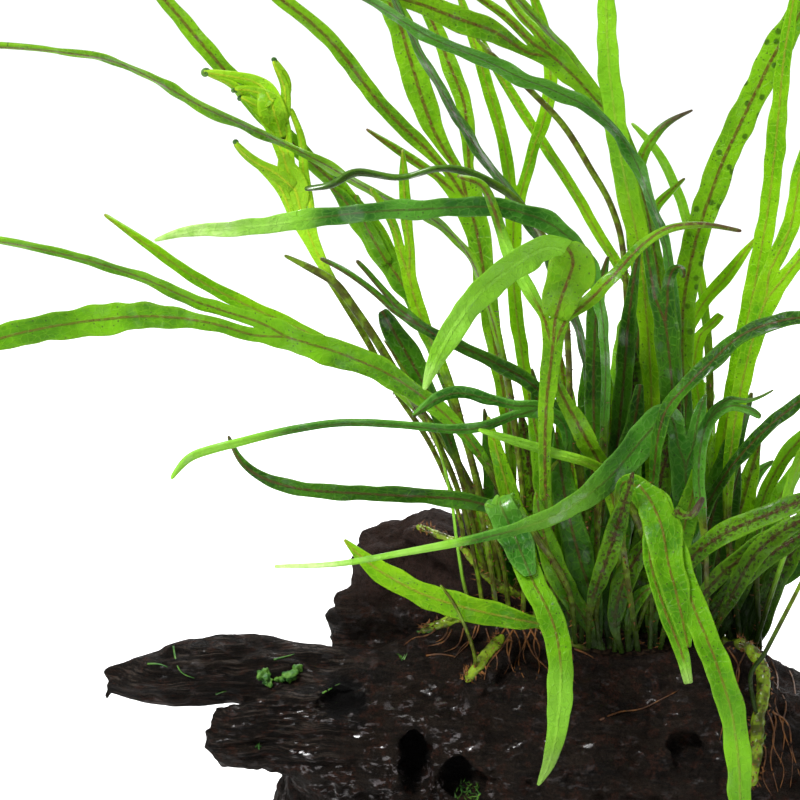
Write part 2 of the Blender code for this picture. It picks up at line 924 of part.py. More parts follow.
            Blade([(180, 79, 49, 4.2, 0), (181, 86, 50, 3.6, 10), (183, 92, 50, 0.8, 20)]),
            Blade([(186.5, 76.5, 48, 4, 0), (189.6, 82, 48, 3, 10), (193.5, 84.8, 48, 0.8, 20)]),
        ],
    ),
    "frond_brown_back_upper": Frond(
        "rhizome_front",
        0.825,
        [
            (168, 50, -19, 2.4, 0),
            (172.5, 60, -23, 4.6, 15),
            (181, 66.5, -26, 5.6, 20),
            (190, 70.5, -28, 5.8, 20),
            (200, 74.5, -29, 5.2, 20),
            (210, 77.5, -30, 3, 20),
            (217, 79, -30, 0.5, 20),
        ],
    ),
    "frond_brown_back_lower": Frond(
        "rhizome_front",
        1.0,
        [
            (179, 43, -9.5, 1.8, 0),
            (181.5, 48, -15, 2.8, 5),
            (184.5, 54, -19, 4.8, 15),
            (188.5, 61, -21, 5.4, 20),
            (195, 67, -22, 5.2, 20),
            (203, 71, -22, 3.2, 20),
            (210, 73.5, -22, 0.6, 20),
        ],
    ),
    "frond_dark_broad": Frond(
        "rhizome_back",
        0.93,
        [
            (187, 51, 22, 3, 0),
            (191, 54.5, 30, 7, 20),
            (198, 58.5, 36, 7.4, 25),
            (206, 63, 40, 5.4, 25),
            (214, 67, 43, 0.8, 25),
        ],
    ),
    "frond_inner_left": Frond(
        "rhizome_back",
        0.39,
        [
            (146.5, 66, 8, 2.4, 0),
            (148.5, 88, 3, 4.6, 20),
            (148.5, 108, -1, 5.2, 25),
            (149.5, 124, -4, 4.6, 30),
            (152, 136, -6, 0.6, 30),
        ],
    ),
    "frond_inner_right": Frond(
        "rhizome_back",
        0.43,
        [
            (152.5, 66, 16, 2.4, 0),
            (156, 88, 18, 4.8, 20),
            (158.5, 107, 19, 5.6, 20),
            (160.5, 121, 20, 4.6, 20),
            (163.5, 132, 21, 0.6, 20),
        ],
    ),
    "frond_dotted": Frond(
        "rhizome_front",
        0.675,
        [
            (155, 55, -19, 2.2, 0),
            (154.5, 70, -22, 3.6, 10),
            (150, 84, -25, 4.8, 15),
            (144.5, 94, -27, 4.8, 15),
            (140.3, 102, -29, 3.4, 15),
            (137.3, 110, -30, 0.5, 15),
        ],
    ),
    "frond_central_brown": Frond(
        "rhizome_front",
        0.585,
        [
            (147.5, 48, -18, 2.4, 0),
            (151, 58, -23, 5, 10),
            (154.5, 69, -28, 4.8, 10),
            (157, 77.5, -32, 2.6, 10),
            (158.3, 82, -34, 0.6, 10),
        ],
    ),
    "frond_back_left": Frond(
        "rhizome_back",
        0.23,
        [
            (136, 60, 30, 2.2, 0),
            (141, 78, 46, 4.6, 20),
            (146, 90, 62, 6.4, 30),
            (149, 92, 78, 6.4, 30),
            (150, 84, 92, 4.4, 30),
            (150, 74, 100, 0.6, 30),
        ],
    ),
    "frond_back_middle": Frond(
        "rhizome_back",
        0.35,
        [
            (148, 62, 28, 2.2, 0),
            (152, 86, 42, 4.4, -20),
            (155, 106, 56, 6.2, -25),
            (157, 118, 72, 6.6, -25),
            (158, 119, 88, 5.2, -25),
            (159, 112, 100, 0.6, -25),
        ],
    ),
    "frond_back_right": Frond(
        "rhizome_back",
        0.50,
        [
            (160, 62, 28, 2.2, 0),
            (167, 84, 46, 4.6, 30),
            (172, 98, 62, 6.6, 35),
            (175, 102, 78, 6.6, 35),
            (177, 95, 92, 4.6, 35),
            (178, 84, 102, 0.6, 35),
        ],
    ),
}

# Wood: across, up, depth and radius along each limb
WOOD_LIMBS = [
    # the lump that carries the crown, front and back
    [
        (58.5, 15.5, -20, 6.8),
        (66, 16.5, -18, 9.6),
        (77, 18, -14, 13),
        (92, 16, -8, 18),
        (110, 14, -6, 23),
        (132, 11, -8, 25.5),
        (156, 10, -8, 26),
        (180, 8, -8, 25.5),
        (200, 4, -6, 22.5),
        (214, 2, -3, 18.5),
    ],
    [
        (98, 14, 12, 20),
        (120, 18.5, 14, 23),
        (145, 20, 15, 23),
        (170, 19, 15, 23),
        (190, 15, 14, 21),
        (206, 9, 11, 15.5),
    ],
    # its shoulder under the left rhizomes
    [(104, 31, -3, 10), (118, 35, -3, 10.5), (131, 35, -3, 9.5)],
    [(110, 57, 12, 8), (117, 50, 9, 8), (125, 43, 6, 7.5)],
    # and the one under the right end of the crown
    [(158, 21.5, -9, 15), (175, 22, -11, 14), (189, 19.5, -12, 13)],
    # the foot on the left and the broad base
    [(84, 4, 4, 14), (80.5, -7, 6, 15), (77, -22, 8, 16)],
    [(104, -14, 4, 22), (135, -16, 4, 26), (165, -16, 4, 26), (190, -15, 4, 22)],
    # roots that spread over the ground, front and back
    [(120, -13, -24, 11), (106, -21, -36, 9), (96, -29, -46, 6.5)],
    [(176, -15, -22, 11), (190, -24, -34, 9), (201, -31, -42, 6.5)],
    [(150, -2, 26, 12), (158, -1, 40, 10), (170, 1, 52, 7)],
    # the left branch
    [
        (26.5, 29.8, -6, 2.4),
        (31, 30, -6, 4.6),
        (40, 31.2, -6, 7.0),
        (53, 32.2, -5, 8.5),
        (67, 31.5, -4, 8.7),
        (80, 30, -3, 9.5),
        (94, 26, -2, 13),
    ],
    # the stump behind the crown
    [(88, 36, 16, 9), (89, 45, 16, 7.6)],
    [(88, 50.5, 15, 3), (83.5, 51.3, 14, 1.3)],
    [(97, 40, 18, 10), (96.8, 54, 19, 9.4), (96.5, 61.3, 19, 9.5)],
    [(106, 38, 18, 13), (107, 52, 19, 12), (108.5, 63, 20, 12)],
    [(116, 38, 20, 11), (116, 54, 22, 9.5), (115.5, 64, 22, 8.4)],
    # the right branch
    [(210, 0, 0, 18.5), (224, 2, 3, 14), (239, 6, 5, 10.5), (251, 11, 7, 6.5)],
    [(228, 0, 2, 9.5), (238, -6, -6, 7), (246, -12, -13, 4.5)],
]

# Hollows: across, up, depth, then half width, half height and half depth
WOOD_HOLLOWS = [
    (85.5, 22.5, -28, 6.5, 4.2, 8),
    (103.5, 8, -30, 4.2, 9, 9),
    (115, 3.5, -33, 5, 5, 8),
    (156.5, 33, -27, 9, 4, 9),
    (72, 12, -2, 5, 4, 6),
    (138, 20, -36, 8, 3, 6),
    (172, 12, -37, 5, 7, 7),
    (150, 14, 40, 12, 6, 8),
    (185, 20, 36, 6, 9, 8),
    (118, 20, 38, 7, 7, 8),
    (108, 66, 33, 7, 5, 7),
]


def at(across, up, depth):
    """The point, in millimetres, that the front view shows at (across, up) and that lies at depth."""
    seen = AIM + Vector((across - VIEW_SIZE / 2, 0, 0)) + UP * float(up - VIEW_SIZE / 2)
    sight = seen - EYE
    return EYE + sight * (float(depth - EYE.y) / sight.y)


def smooth_curve(points, spacing):
    """Points spaced evenly along a smooth curve through the given ones, other values included."""
    points = np.asarray(points, dtype=float)
    ends = np.vstack(
        [2 * points[0] - points[1], points, 2 * points[-1] - points[-2]]
    )
    dense = []
    for i in range(len(points) - 1):
        a, b, c, d = ends[i : i + 4]
        for t in np.linspace(0, 1, CURVE_STEPS, endpoint=False):
            dense.append(
                b
                + 0.5 * t * (c - a)
                + t * t * (a - 2.5 * b + 2 * c - 0.5 * d)
                + t**3 * (1.5 * (b - c) + 0.5 * (d - a))
            )
    dense = np.array([*dense, points[-1]])
    run = np.concatenate(
        [[0], np.cumsum(np.linalg.norm(np.diff(dense[:, :3], axis=0), axis=1))]
    )
    count = max(2, round(run[-1] / spacing))
    places = np.linspace(0, run[-1], count + 1)
    return np.column_stack([np.interp(places, run, dense[:, k]) for k in range(dense.shape[1])])


# A part of a frond between two forks: rows of (across, up, depth, width, turn), the row's
# direction at each, the number of the first lobe that it carries and how many it carries
Reach = namedtuple("Reach", "rows sides first span parent")


def side_of(rows):
    """The direction across the blade at each row: square to the rib, turned by the row's turn."""
    ribs = np.gradient(rows[:, :3], axis=0)
    ribs /= np.linalg.norm(ribs, axis=1)[:, None]
    toward_eye = np.array([0, 0, -1.0])
    flat = np.cross(toward_eye, ribs)
    flat[:, 2] = 0
    for k in range(len(flat)):
        if np.linalg.norm(flat[k]) < EDGE_ON:
            flat[k] = flat[k - 1] if k else (1, 0, 0)
        flat[k] /= np.linalg.norm(flat[k])
    # across, up and depth make a left-handed set, so the cross product is turned about
    flat = -flat
    turns = np.radians(rows[:, 4])[:, None]
    over = np.cross(ribs, flat)
    sides = flat * np.cos(turns) + over * np.sin(turns)
    return sides / np.linalg.norm(sides, axis=1)[:, None]


def leaves_of(blade):
    """How many tips a blade ends in."""
    return sum(leaves_of(lobe) for lobe in blade.lobes) if blade.lobes else 1


def reaches_of(blade, start=None, first=0, parent=None):
    """The reaches of a frond in order, each lobe starting on its share of its stem's last row."""
    points = [list(p) for p in blade.points]
    if start is not None:
        points = [start, *points]
    rows = smooth_curve(points, ROW)
    sides = side_of(rows)
    span = leaves_of(blade)
    if parent is not None:
        # the first rows turn from the stem's own direction to the lobe's
        for k in range(min(LOBE_TURN_ROWS, len(rows))):
            own = k / LOBE_TURN_ROWS
            sides[k] = parent.sides[-1] * (1 - own) + sides[k] * own
            sides[k] /= np.linalg.norm(sides[k])
    reach = Reach(rows, sides, first, span, parent)
    found = [reach]
    end, side, width = rows[-1], sides[-1], rows[-1, 3]
    for lobe in sorted(blade.lobes, key=lambda lobe: (lobe.points[0][:3] - end[:3]) @ side):
        lobe_span = leaves_of(lobe)
        middle = (first - reach.first + lobe_span / 2) / span - 0.5
        begin = [*(end[:3] + side * middle * width), width * lobe_span / span, end[4]]
        found += reaches_of(lobe, begin, first, reach)
        first += lobe_span
    return found


def line_of(reach):
    """The reach and all that it grows from."""
    return [reach] + (line_of(reach.parent) if reach.parent is not None else [])


def half_widths(reaches):
    """How far the blade stands out to either side of its rib, at each row of each reach.

    A lobe stops short of the middle between its rib and the next lobe's, and a blade of the
    middle of its bend, so that no frond passes through itself.
    """
    found = []
    for reach in reaches:
        half = np.repeat(reach.rows[:, 3:4] / 2, 2, axis=1)
        ribs = np.gradient(reach.rows[:, :3], axis=0)
        steps = np.linalg.norm(ribs, axis=1)[:, None]
        bends = (np.gradient(ribs / steps, axis=0) / steps * reach.sides).sum(axis=1)
        limits = BEND_SHARE / np.maximum(STRAIGHT, np.column_stack([-bends, bends]))
        half = np.minimum(half, limits)
        for other in reaches:
            if any(r is other for r in line_of(reach)) or any(r is reach for r in line_of(other)):
                continue
            between = (other.rows[1:, :3] + other.rows[:-1, :3]) / 2
            beside = np.vstack([other.rows[:, :3], between])
            away = np.linalg.norm(reach.rows[:, None, :3] - beside[None], axis=2).min(axis=1)
            facing = int(other.first > reach.first)
            half[:, facing] = np.minimum(half[:, facing], away / 2 - SLIT)
        # rows that are shared with a stem or a lobe stay whole
        half[0] = reach.rows[0, 3] / 2
        if any(other.parent is reach for other in reaches):
            half[-1] = reach.rows[-1, 3] / 2
        found.append(np.maximum(half, SLIT))
    return found


def rhizome_place(name, share):
    """Where a frond leaves its rhizome: across, up, depth and the rhizome's radius."""
    line = smooth_curve(RHIZOMES[name], 0.5)
    return line[round(share * (len(line) - 1))]


def lay_out_fronds():
    """Every frond's reaches, by name, with its first row in the middle of its rhizome."""
    laid = {}
    for name, frond in FRONDS.items():
        x, z, y, _ = rhizome_place(frond.rhizome, frond.share)
        first = frond.stem[0]
        stem = Blade([(x, z, y, min(1.8, first[3]), first[4]), *frond.stem], frond.lobes)
        laid[name] = reaches_of(stem)
    return laid


def comb(laid):
    """Moves the fronds apart in depth, so that none passes through another or a rhizome.

    A move in depth leaves every frond where the front view shows it.
    """
    places, depth, half_width, half_depth, strand, fixed, links = [], [], [], [], [], [], []
    owners = {}
    for number, (name, reaches) in enumerate(laid.items()):
        for reach in reaches:
            begin = len(places)
            owners[id(reach)] = begin
            for k, row in enumerate(reach.rows):
                lean = abs(reach.sides[k][2])
                places.append(row[:2])
                depth.append(row[2])
                half_width.append(row[3] / 2 * math.sqrt(max(0, 1 - lean * lean)) + COMB_SIDE)
                half_depth.append(row[3] / 2 * lean + STALK_THICK / 2)
                strand.append(number)
                fixed.append(reach.parent is None and k < 1)
                if k:
                    links.append((begin + k - 1, begin + k))
            if reach.parent is not None:
                last = owners[id(reach.parent)] + len(reach.parent.rows) - 1
                links.append((last, begin))
    for number, points in enumerate(RHIZOMES.values(), start=len(laid)):
        for x, z, y, radius in smooth_curve(points, ROW):
            places.append((x, z))
            depth.append(y)
            half_width.append(radius)
            half_depth.append(radius)
            strand.append(number)
            fixed.append(True)
    places, depth, strand = np.array(places), np.array(depth), np.array(strand)
    half_width, half_depth = np.array(half_width), np.array(half_depth)
    free = ~np.array(fixed)
    started = depth.copy()
    own = {n: len(laid) + list(RHIZOMES).index(f.rhizome) for n, f in enumerate(FRONDS.values())}

    # pairs of places that the front view shows on top of each other
    gaps = np.linalg.norm(places[:, None] - places[None], axis=2)
    close = gaps < half_width[:, None] + half_width[None] + COMB_REACH
    close &= strand[:, None] < strand[None]
    a, b = np.nonzero(close)
    keep = np.array([own.get(i) != j for i, j in zip(strand[a], strand[b])])
    a, b = a[keep], b[keep]
    # the strand that lies in front along most of what two strands share stays in front
    key = strand[a] * 1000 + strand[b]
    _, group = np.unique(key, return_inverse=True)
    lead = np.bincount(group, weights=depth[a] - depth[b])
    sign = np.where(lead[group] < 0, -1.0, 1.0)
    need = half_depth[a] + half_depth[b] + COMB_GAP
    share = np.where(free[a] & free[b], 0.5, 1.0)
    link_a, link_b = np.array(links).T
    count = np.bincount(link_a, minlength=len(depth)) + np.bincount(link_b, minlength=len(depth))
    for _ in range(COMB_ROUNDS):
        short = np.maximum(0, need - sign * (depth[a] - depth[b]))
        push = np.zeros(len(depth))
        np.maximum.at(push, a, np.where(sign > 0, short * share, 0))
        np.maximum.at(push, b, np.where(sign < 0, short * share, 0))
        pull = np.zeros(len(depth))
        np.maximum.at(pull, a, np.where(sign < 0, short * share, 0))
        np.maximum.at(pull, b, np.where(sign > 0, short * share, 0))
        moved = depth - started + COMB_STEP * (push - pull)
        moved[~free] = 0
        around = np.bincount(link_a, moved[link_b], len(depth))
        around += np.bincount(link_b, moved[link_a], len(depth))
        evened = (1 - COMB_EVEN) * moved + COMB_EVEN * around / np.maximum(count, 1)
        moved = np.where(count > 0, evened, moved)
        moved[~free] = 0
        depth = started + moved
    for reaches in laid.values():
        for reach in reaches:
            begin = owners[id(reach)]
            reach.rows[:, 2] = depth[begin : begin + len(reach.rows)]
        for reach in reaches:
            if reach.parent is not None:
                shift = reach.parent.rows[-1, 2] - reach.rows[0, 2]
                lobe = reach.first + reach.span / 2 - reach.parent.first - reach.parent.span / 2
                aside = lobe / reach.parent.span * reach.parent.rows[-1, 3]
                reach.rows[0, 2] += shift + reach.parent.sides[-1][2] * aside
    return laid


def link(collection, obj):
    """Puts the object in one collection only."""
    for holder in list(obj.users_collection):
        holder.objects.unlink(obj)
    collection.objects.link(obj)
    return obj


def material(name, colour, roughness):
    """The plain material of that name, made when it is first asked for."""
    found = bpy.data.materials.get(name)
    if found:
        return found
    found = bpy.data.materials.new(name)
    found.use_nodes = True
    shader = found.node_tree.nodes["Principled BSDF"]
    shader.inputs["Base Color"].default_value = (*colour, 1)
    shader.inputs["Roughness"].default_value = roughness
    shader.inputs["Metallic"].default_value = 0
    return found


def thickness_at(width):
    """A blade's thickness: round in section as a stalk, and thin where it is wide."""
    blend = min(1, max(0, (width - STALK_WIDTH) / STALK_WIDTH))
    return STALK_THICK + (BLADE_THICK - STALK_THICK) * blend


def kept_rows(rows):
    """The rows that the solid needs: where the rib has turned or the last one is far."""
    kept, last = [0], len(rows) - 1
    ribs = np.gradient(rows[:, :3], axis=0)
    ribs /= np.linalg.norm(ribs, axis=1)[:, None]
    for k in range(1, last):
        turned = math.degrees(math.acos(min(1, ribs[k] @ ribs[kept[-1]])))
        if (turned > KEEP_TURN or k - kept[-1] >= KEEP_ROWS) and last - k > 1:
            kept.append(k)
    return [*kept, last]


def frond_object(name, reaches, collection, clearance):
    """A frond: an open ribbon that forks, given its thickness, and cut clear of its rhizome."""
    bm = bmesh.new()
    weight = bm.verts.layers.float.new("thickness")
    for reach, half in zip(reaches, half_widths(reaches)):
        kept = kept_rows(reach.rows)
        columns, steps = reach.span, len(kept) - 1
        made = bmesh.ops.create_grid(bm, x_segments=columns, y_segments=steps, size=1)["verts"]
        for vert in made:
            aside = vert.co.x
            k = kept[round((vert.co.y + 1) / 2 * steps)]
            row, side = reach.rows[k], reach.sides[k]
            vert.co = at(*(row[:3] + side * aside * half[k][int(aside > 0)])) * MM
            vert[weight] = thickness_at(row[3] / reach.span) / STALK_THICK
    bmesh.ops.remove_doubles(bm, verts=bm.verts, dist=SAME)
    weights = [vert[weight] for vert in bm.verts]
    bm.verts.layers.float.remove(weight)
    mesh = bpy.data.meshes.new(name)
    bm.to_mesh(mesh)
    bm.free()
    frond = link(collection, bpy.data.objects.new(name, mesh))
    group = frond.vertex_groups.new(name="thickness")
    for index, value in enumerate(weights):
        group.add([index], value, "REPLACE")
    skin = frond.modifiers.new("thickness", "SOLIDIFY")
    skin.thickness = STALK_THICK * MM
    skin.offset = 0
    skin.vertex_group = group.name
    boolean(frond, clearance, "DIFFERENCE")
    mesh.materials.append(material("leaf", (0.10, 0.33, 0.02), 0.35))
    return frond


def tube(name, points, collection, wider=0.0, spacing=4.0):
    """A closed round tube along a smooth curve, its radius read from the points."""
    line = smooth_curve(points, spacing)
    curve = bpy.data.curves.new(name, "CURVE")
    curve.dimensions = "3D"
    curve.bevel_depth = MM
    curve.bevel_resolution = 1
    curve.use_fill_caps = True
    spline = curve.splines.new("POLY")
    spline.points.add(len(line) - 1)
    for point, (x, z, y, radius) in zip(spline.points, line):
        point.co = (*(at(x, z, y) * MM), 1)
        point.radius = radius + wider
    drawn = bpy.data.objects.new(name, curve)
    collection.objects.link(drawn)
    bpy.context.view_layer.update()
    graph = bpy.context.evaluated_depsgraph_get()
    mesh = bpy.data.meshes.new_from_object(drawn.evaluated_get(graph))
    mesh.name = name
    bpy.data.objects.remove(drawn)
    weld(mesh)
    return link(collection, bpy.data.objects.new(name, mesh))


def weld(mesh):
    """Joins the points that lie on each other and turns all faces outward."""
    bm = bmesh.new()
    bm.from_mesh(mesh)
    bmesh.ops.remove_doubles(bm, verts=bm.verts, dist=SAME)
    bmesh.ops.recalc_face_normals(bm, faces=bm.faces)
    bm.to_mesh(mesh)
    bm.free()


def add_ball(bm, centre, radius):
    """A ball in millimetres; three radii make an ellipsoid."""
    made = bmesh.ops.create_icosphere(bm, subdivisions=2, radius=1)["verts"]
    size = Vector(radius) if hasattr(radius, "__len__") else Vector((radius,) * 3)
    for vert in made:
        vert.co = (centre + vert.co * size) * MM


def baked(obj, name, collection):
    """The object's mesh with its modifiers applied, as a new object in place of the old one."""
    bpy.context.view_layer.update()
    graph = bpy.context.evaluated_depsgraph_get()
    mesh = bpy.data.meshes.new_from_object(obj.evaluated_get(graph))
    mesh.name = name
    bpy.data.objects.remove(obj)
    return link(collection, bpy.data.objects.new(name, mesh))


def wood_relief(point):
    """How far the surface stands out: ridges along the grain, lumps and pits."""

    def rough(size, shift):
        scaled = (c / MM / s for c, s in zip(point, size))
        return noise.noise(Vector(scaled) + Vector(shift))

    relief = sum(height * rough(size, shift) for height, size, shift in WOOD_RIDGES)
    depth, size, shift = WOOD_PITS
    return relief + depth * max(0, rough(size, shift) - WOOD_PIT_EDGE)


def whole_wood(collection):
    """All the driftwood as one solid: limbs and the ridges that carry the rhizomes, roughened."""
    bm = bmesh.new()
    for limb in WOOD_LIMBS:
        for x, z, y, radius in smooth_curve(limb, 3.0):
            add_ball(bm, at(x, z, y), radius)
    near = kdtree.KDTree(400)
    for points in RHIZOMES.values():
        line = [at(*row[:3]) for row in smooth_curve(points, 2.0)]
        for k, place in enumerate(line):
            along = (line[min(k + 1, len(line) - 1)] - line[max(k - 1, 0)]).normalized()
            sunk = WOOD_BED_WAY - along * WOOD_BED_WAY.dot(along)
            add_ball(bm, place + sunk.normalized() * WOOD_BED_SUNK, WOOD_BED)
            near.insert(place * MM, k)
    near.balance()
    mesh = bpy.data.meshes.new("wood")
    bm.to_mesh(mesh)
    bm.free()
    grown = link(collection, bpy.data.objects.new("wood", mesh))
    remesh = grown.modifiers.new("grown together", "REMESH")
    remesh.mode = "VOXEL"
    remesh.voxel_size = WOOD_VOXEL * MM
    wood = baked(grown, "wood", collection)
    bm = bmesh.new()
    bm.from_mesh(wood.data)
    bm.normal_update()
    shifts = []
    for vert in bm.verts:
        away = near.find(vert.co)[2] / MM
        calm = min(1, max(0, (away - WOOD_CALM[0]) / (WOOD_CALM[1] - WOOD_CALM[0])))
        shifts.append(vert.normal * wood_relief(vert.co) * calm * MM)
    for vert, shift in zip(bm.verts, shifts):
        vert.co += shift
    bm.to_mesh(wood.data)
    count = 2 * len(bm.faces)
    bm.free()
    thin = wood.modifiers.new("fewer faces", "DECIMATE")
    thin.ratio = WOOD_TRIANGLES / count
    return wood


def box_cutter(name, low, high, collection, pivot=None, tilt=0.0):
    """A box between two corners in millimetres, turned about Y at a pivot."""
    bm = bmesh.new()
    low, high = Vector(low), Vector(high)
    for vert in bmesh.ops.create_cube(bm, size=1)["verts"]:
        place = (low + high) / 2 + vert.co * (high - low)
        if pivot is not None:
            turn = np.array([[math.cos(tilt), -math.sin(tilt)], [math.sin(tilt), math.cos(tilt)]])
            x, z = turn @ np.array([place.x, place.z])
            place = Vector((pivot.x + x, place.y, pivot.z + z))
        vert.co = place * MM
    mesh = bpy.data.meshes.new(name)
    bm.to_mesh(mesh)
    bm.free()
    return as_cutter(link(collection, bpy.data.objects.new(name, mesh)))


def as_cutter(obj):
    """Hides the object, which only shapes others."""
    obj.hide_render = True
    obj.display_type = "WIRE"
    return obj


def boolean(obj, cutter, operation):
    """Cuts the object with another, exactly."""
    cut = obj.modifiers.new(cutter.name, "BOOLEAN")
    cut.operation = operation
    cut.solver = "EXACT"
    cut.object = cutter


def keep_largest(obj):
    """Drops the crumbs that a cut left beside the main body."""
    bm = bmesh.new()
    bm.from_mesh(obj.data)
    unseen, bodies = set(bm.verts), []
    while unseen:
        body, edge = set(), [unseen.pop()]
        while edge:
            vert = edge.pop()
            body.add(vert)
            near = [e.other_vert(vert) for e in vert.link_edges]
            edge += [v for v in near if v in unseen]
            unseen.difference_update(near)
        bodies.append(body)
    for body in sorted(bodies, key=len)[:-1]:
        bmesh.ops.delete(bm, geom=list(body), context="VERTS")
    bm.to_mesh(obj.data)
    bm.free()


def wood_pieces(parts, cutters, clearances):
    """The driftwood, split at its main forks, with grooves for the rhizomes."""
    wood = whole_wood(cutters)
    hollows = bmesh.new()
    for x, z, y, wide, high, deep in WOOD_HOLLOWS:
        add_ball(hollows, at(x, z, y), (wide, deep, high))
    mesh = bpy.data.meshes.new("hollows")
    hollows.to_mesh(mesh)
    hollows.free()
    boolean(wood, as_cutter(link(cutters, bpy.data.objects.new("hollows", mesh))), "DIFFERENCE")
    for clearance in clearances.values():
        boolean(wood, clearance, "DIFFERENCE")
    floor = box_cutter("floor", (-FAR, -FAR, -FAR), (FAR, FAR, 0), cutters)
    boolean(wood, floor, "DIFFERENCE")
    wood = as_cutter(baked(wood, "wood", cutters))
    keep_largest(wood)

    notch, crook = at(*BRANCH_NOTCH, 0), at(*BRANCH_CROOK, 0)
    tilt = math.atan2(crook.z - notch.z, crook.x - notch.x)
    regions = {
        "driftwood_left_branch": lambda wide: box_cutter(
            "left", (-FAR, -FAR, -wide), (wide, FAR, FAR), cutters, crook, tilt
        ),
        "driftwood_back_stump": lambda wide: box_cutter(
            "stump",
            (crook.x + GAP - wide, STUMP_FRONT - wide, STUMP_FOOT - wide),
            (FAR, FAR, FAR),
            cutters,
        ),
        "driftwood_right_branch": lambda wide: box_cutter(
            "right", (RIGHT_FORK - wide, -FAR, -FAR), (FAR, FAR, STUMP_FOOT), cutters
        ),
    }
    shade = material("driftwood", (0.030, 0.020, 0.016), 0.6)
    trunk = link(parts, bpy.data.objects.new("driftwood_trunk", wood.data.copy()))
    made = []
    for name, region in regions.items():
        piece = link(parts, bpy.data.objects.new(name, wood.data.copy()))
        boolean(piece, region(0), "INTERSECT")
        boolean(trunk, region(GAP), "DIFFERENCE")
        made.append((name, piece))
    for name, piece in [("driftwood_trunk", trunk), *made]:
        piece = baked(piece, name, parts)
        keep_largest(piece)
        piece.data.materials.clear()
        piece.data.materials.append(shade)


def main():
    """Models the rhizomes, the wood and the fronds, each a named object."""
    for obj in list(bpy.data.objects):
        bpy.data.objects.remove(obj)
    parts = bpy.data.collections.new(NAME)
    cutters = bpy.data.collections.new("cutters")
    bpy.context.scene.collection.children.link(parts)
    bpy.context.scene.collection.children.link(cutters)
    skin = material("rhizome", (0.16, 0.24, 0.03), 0.5)
    clearances = {}
    for name, points in RHIZOMES.items():
        rhizome = tube(name, points, parts)
        rhizome.data.materials.append(skin)
        clearances[name] = as_cutter(
            tube(name + "_clearance", points, cutters, wider=WOOD_GROOVE)
        )
    wood_pieces(parts, cutters, clearances)
    for name, reaches in comb(lay_out_fronds()).items():
        frond_object(name, reaches, parts, clearances[FRONDS[name].rhizome])


main()
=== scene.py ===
"""A java fern growing on a piece of driftwood, as a set of tools for the 3D view's sidebar.

The tables are in millimetres. Every place is given in one front view, 200 mm square: how far
across from its left edge, how far up from its lower edge, and its depth, which is how far it
lies behind the middle of the crown (less is nearer).
"""

import json
import math
import random
from collections import namedtuple

import bmesh
import bpy
import numpy as np
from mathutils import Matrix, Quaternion, Vector, bvhtree, kdtree, noise

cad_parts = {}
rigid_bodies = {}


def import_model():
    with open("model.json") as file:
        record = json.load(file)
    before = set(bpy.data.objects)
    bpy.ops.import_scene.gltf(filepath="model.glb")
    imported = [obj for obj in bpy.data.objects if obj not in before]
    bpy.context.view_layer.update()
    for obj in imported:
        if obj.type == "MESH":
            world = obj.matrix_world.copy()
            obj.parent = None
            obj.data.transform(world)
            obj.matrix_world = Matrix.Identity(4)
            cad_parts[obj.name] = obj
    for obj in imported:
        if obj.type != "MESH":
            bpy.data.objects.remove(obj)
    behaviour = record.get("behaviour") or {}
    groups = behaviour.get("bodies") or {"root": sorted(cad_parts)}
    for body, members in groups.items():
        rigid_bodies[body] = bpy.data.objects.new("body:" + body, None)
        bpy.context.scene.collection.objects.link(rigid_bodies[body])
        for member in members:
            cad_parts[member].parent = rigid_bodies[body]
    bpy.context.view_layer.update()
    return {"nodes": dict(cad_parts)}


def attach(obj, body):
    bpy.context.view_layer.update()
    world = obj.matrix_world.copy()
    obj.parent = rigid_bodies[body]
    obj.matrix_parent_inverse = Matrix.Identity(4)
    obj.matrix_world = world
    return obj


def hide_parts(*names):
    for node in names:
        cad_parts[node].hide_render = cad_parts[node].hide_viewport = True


bl_info = {
    "name": "Java Fern on Driftwood",
    "version": (1, 0, 0),
    "blender": (4, 5, 0),
    "location": "3D View > Sidebar > Fern",
    "description": "Models a java fern, its rhizomes and roots, and the driftwood it grows on",
    "category": "Add Mesh",
}

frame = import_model()
MM = 0.001

# The front view
VIEW_SIZE = 200.0
VIEW_LEFT = -160.0  # world x of its left edge
VIEW_BOTTOM = 20.0  # height of its lower edge above the floor under the crown
VIEW_TILT = math.radians(11)  # it looks down by this much
EYE_DISTANCE = 550.0
SENSOR_WIDTH = 36.0
UP = Vector((0, math.sin(VIEW_TILT), math.cos(VIEW_TILT)))
AIM = Vector(
    (VIEW_LEFT + VIEW_SIZE / 2, 0, (VIEW_BOTTOM + VIEW_SIZE / 2) / math.cos(VIEW_TILT))
)
EYE = AIM - EYE_DISTANCE * Vector((0, math.cos(VIEW_TILT), -math.sin(VIEW_TILT)))

# Fronds
ROW = 3.0  # spacing of the rows along a blade while the fronds are combed apart
FINE_ROW = 1.9  # and of the rows that the finished blade is made with
COLUMNS = 4  # faces across a blade for each of its tips
FORK_RUN = 9.0  # a rib starts to divide this far before its fork
STALK_THICK = 1.3
SAME = 1e-5  # metres between points that are one point
CURVE_STEPS = 12  # points that a smooth curve is worked out at between two given ones
EDGE_ON = 0.15  # a rib nearer than this to the line of sight keeps the last row's direction
LOBE_TURN_ROWS = 4  # rows over which a lobe turns from its stem's direction to its own
SLIT = 0.2  # half the least gap between two lobes that lie beside each other
BEND_SHARE = 0.8  # a blade's inner half reaches this far towards the middle of its bend
STRAIGHT = 1e-3  # a bend weaker than this, per millimetre, limits nothing

# Combing, which moves the fronds apart in depth
COMB_ROUNDS = 220
COMB_GAP = 0.7  # kept between two fronds
COMB_SIDE = 0.3  # added to each half width
COMB_REACH = 1.0  # rows are combed when the front view shows less than this between them
COMB_STEP = 0.6  # share of the missing gap that one round makes up
COMB_EVEN = 0.3  # how much of a row's move comes from the rows beside it

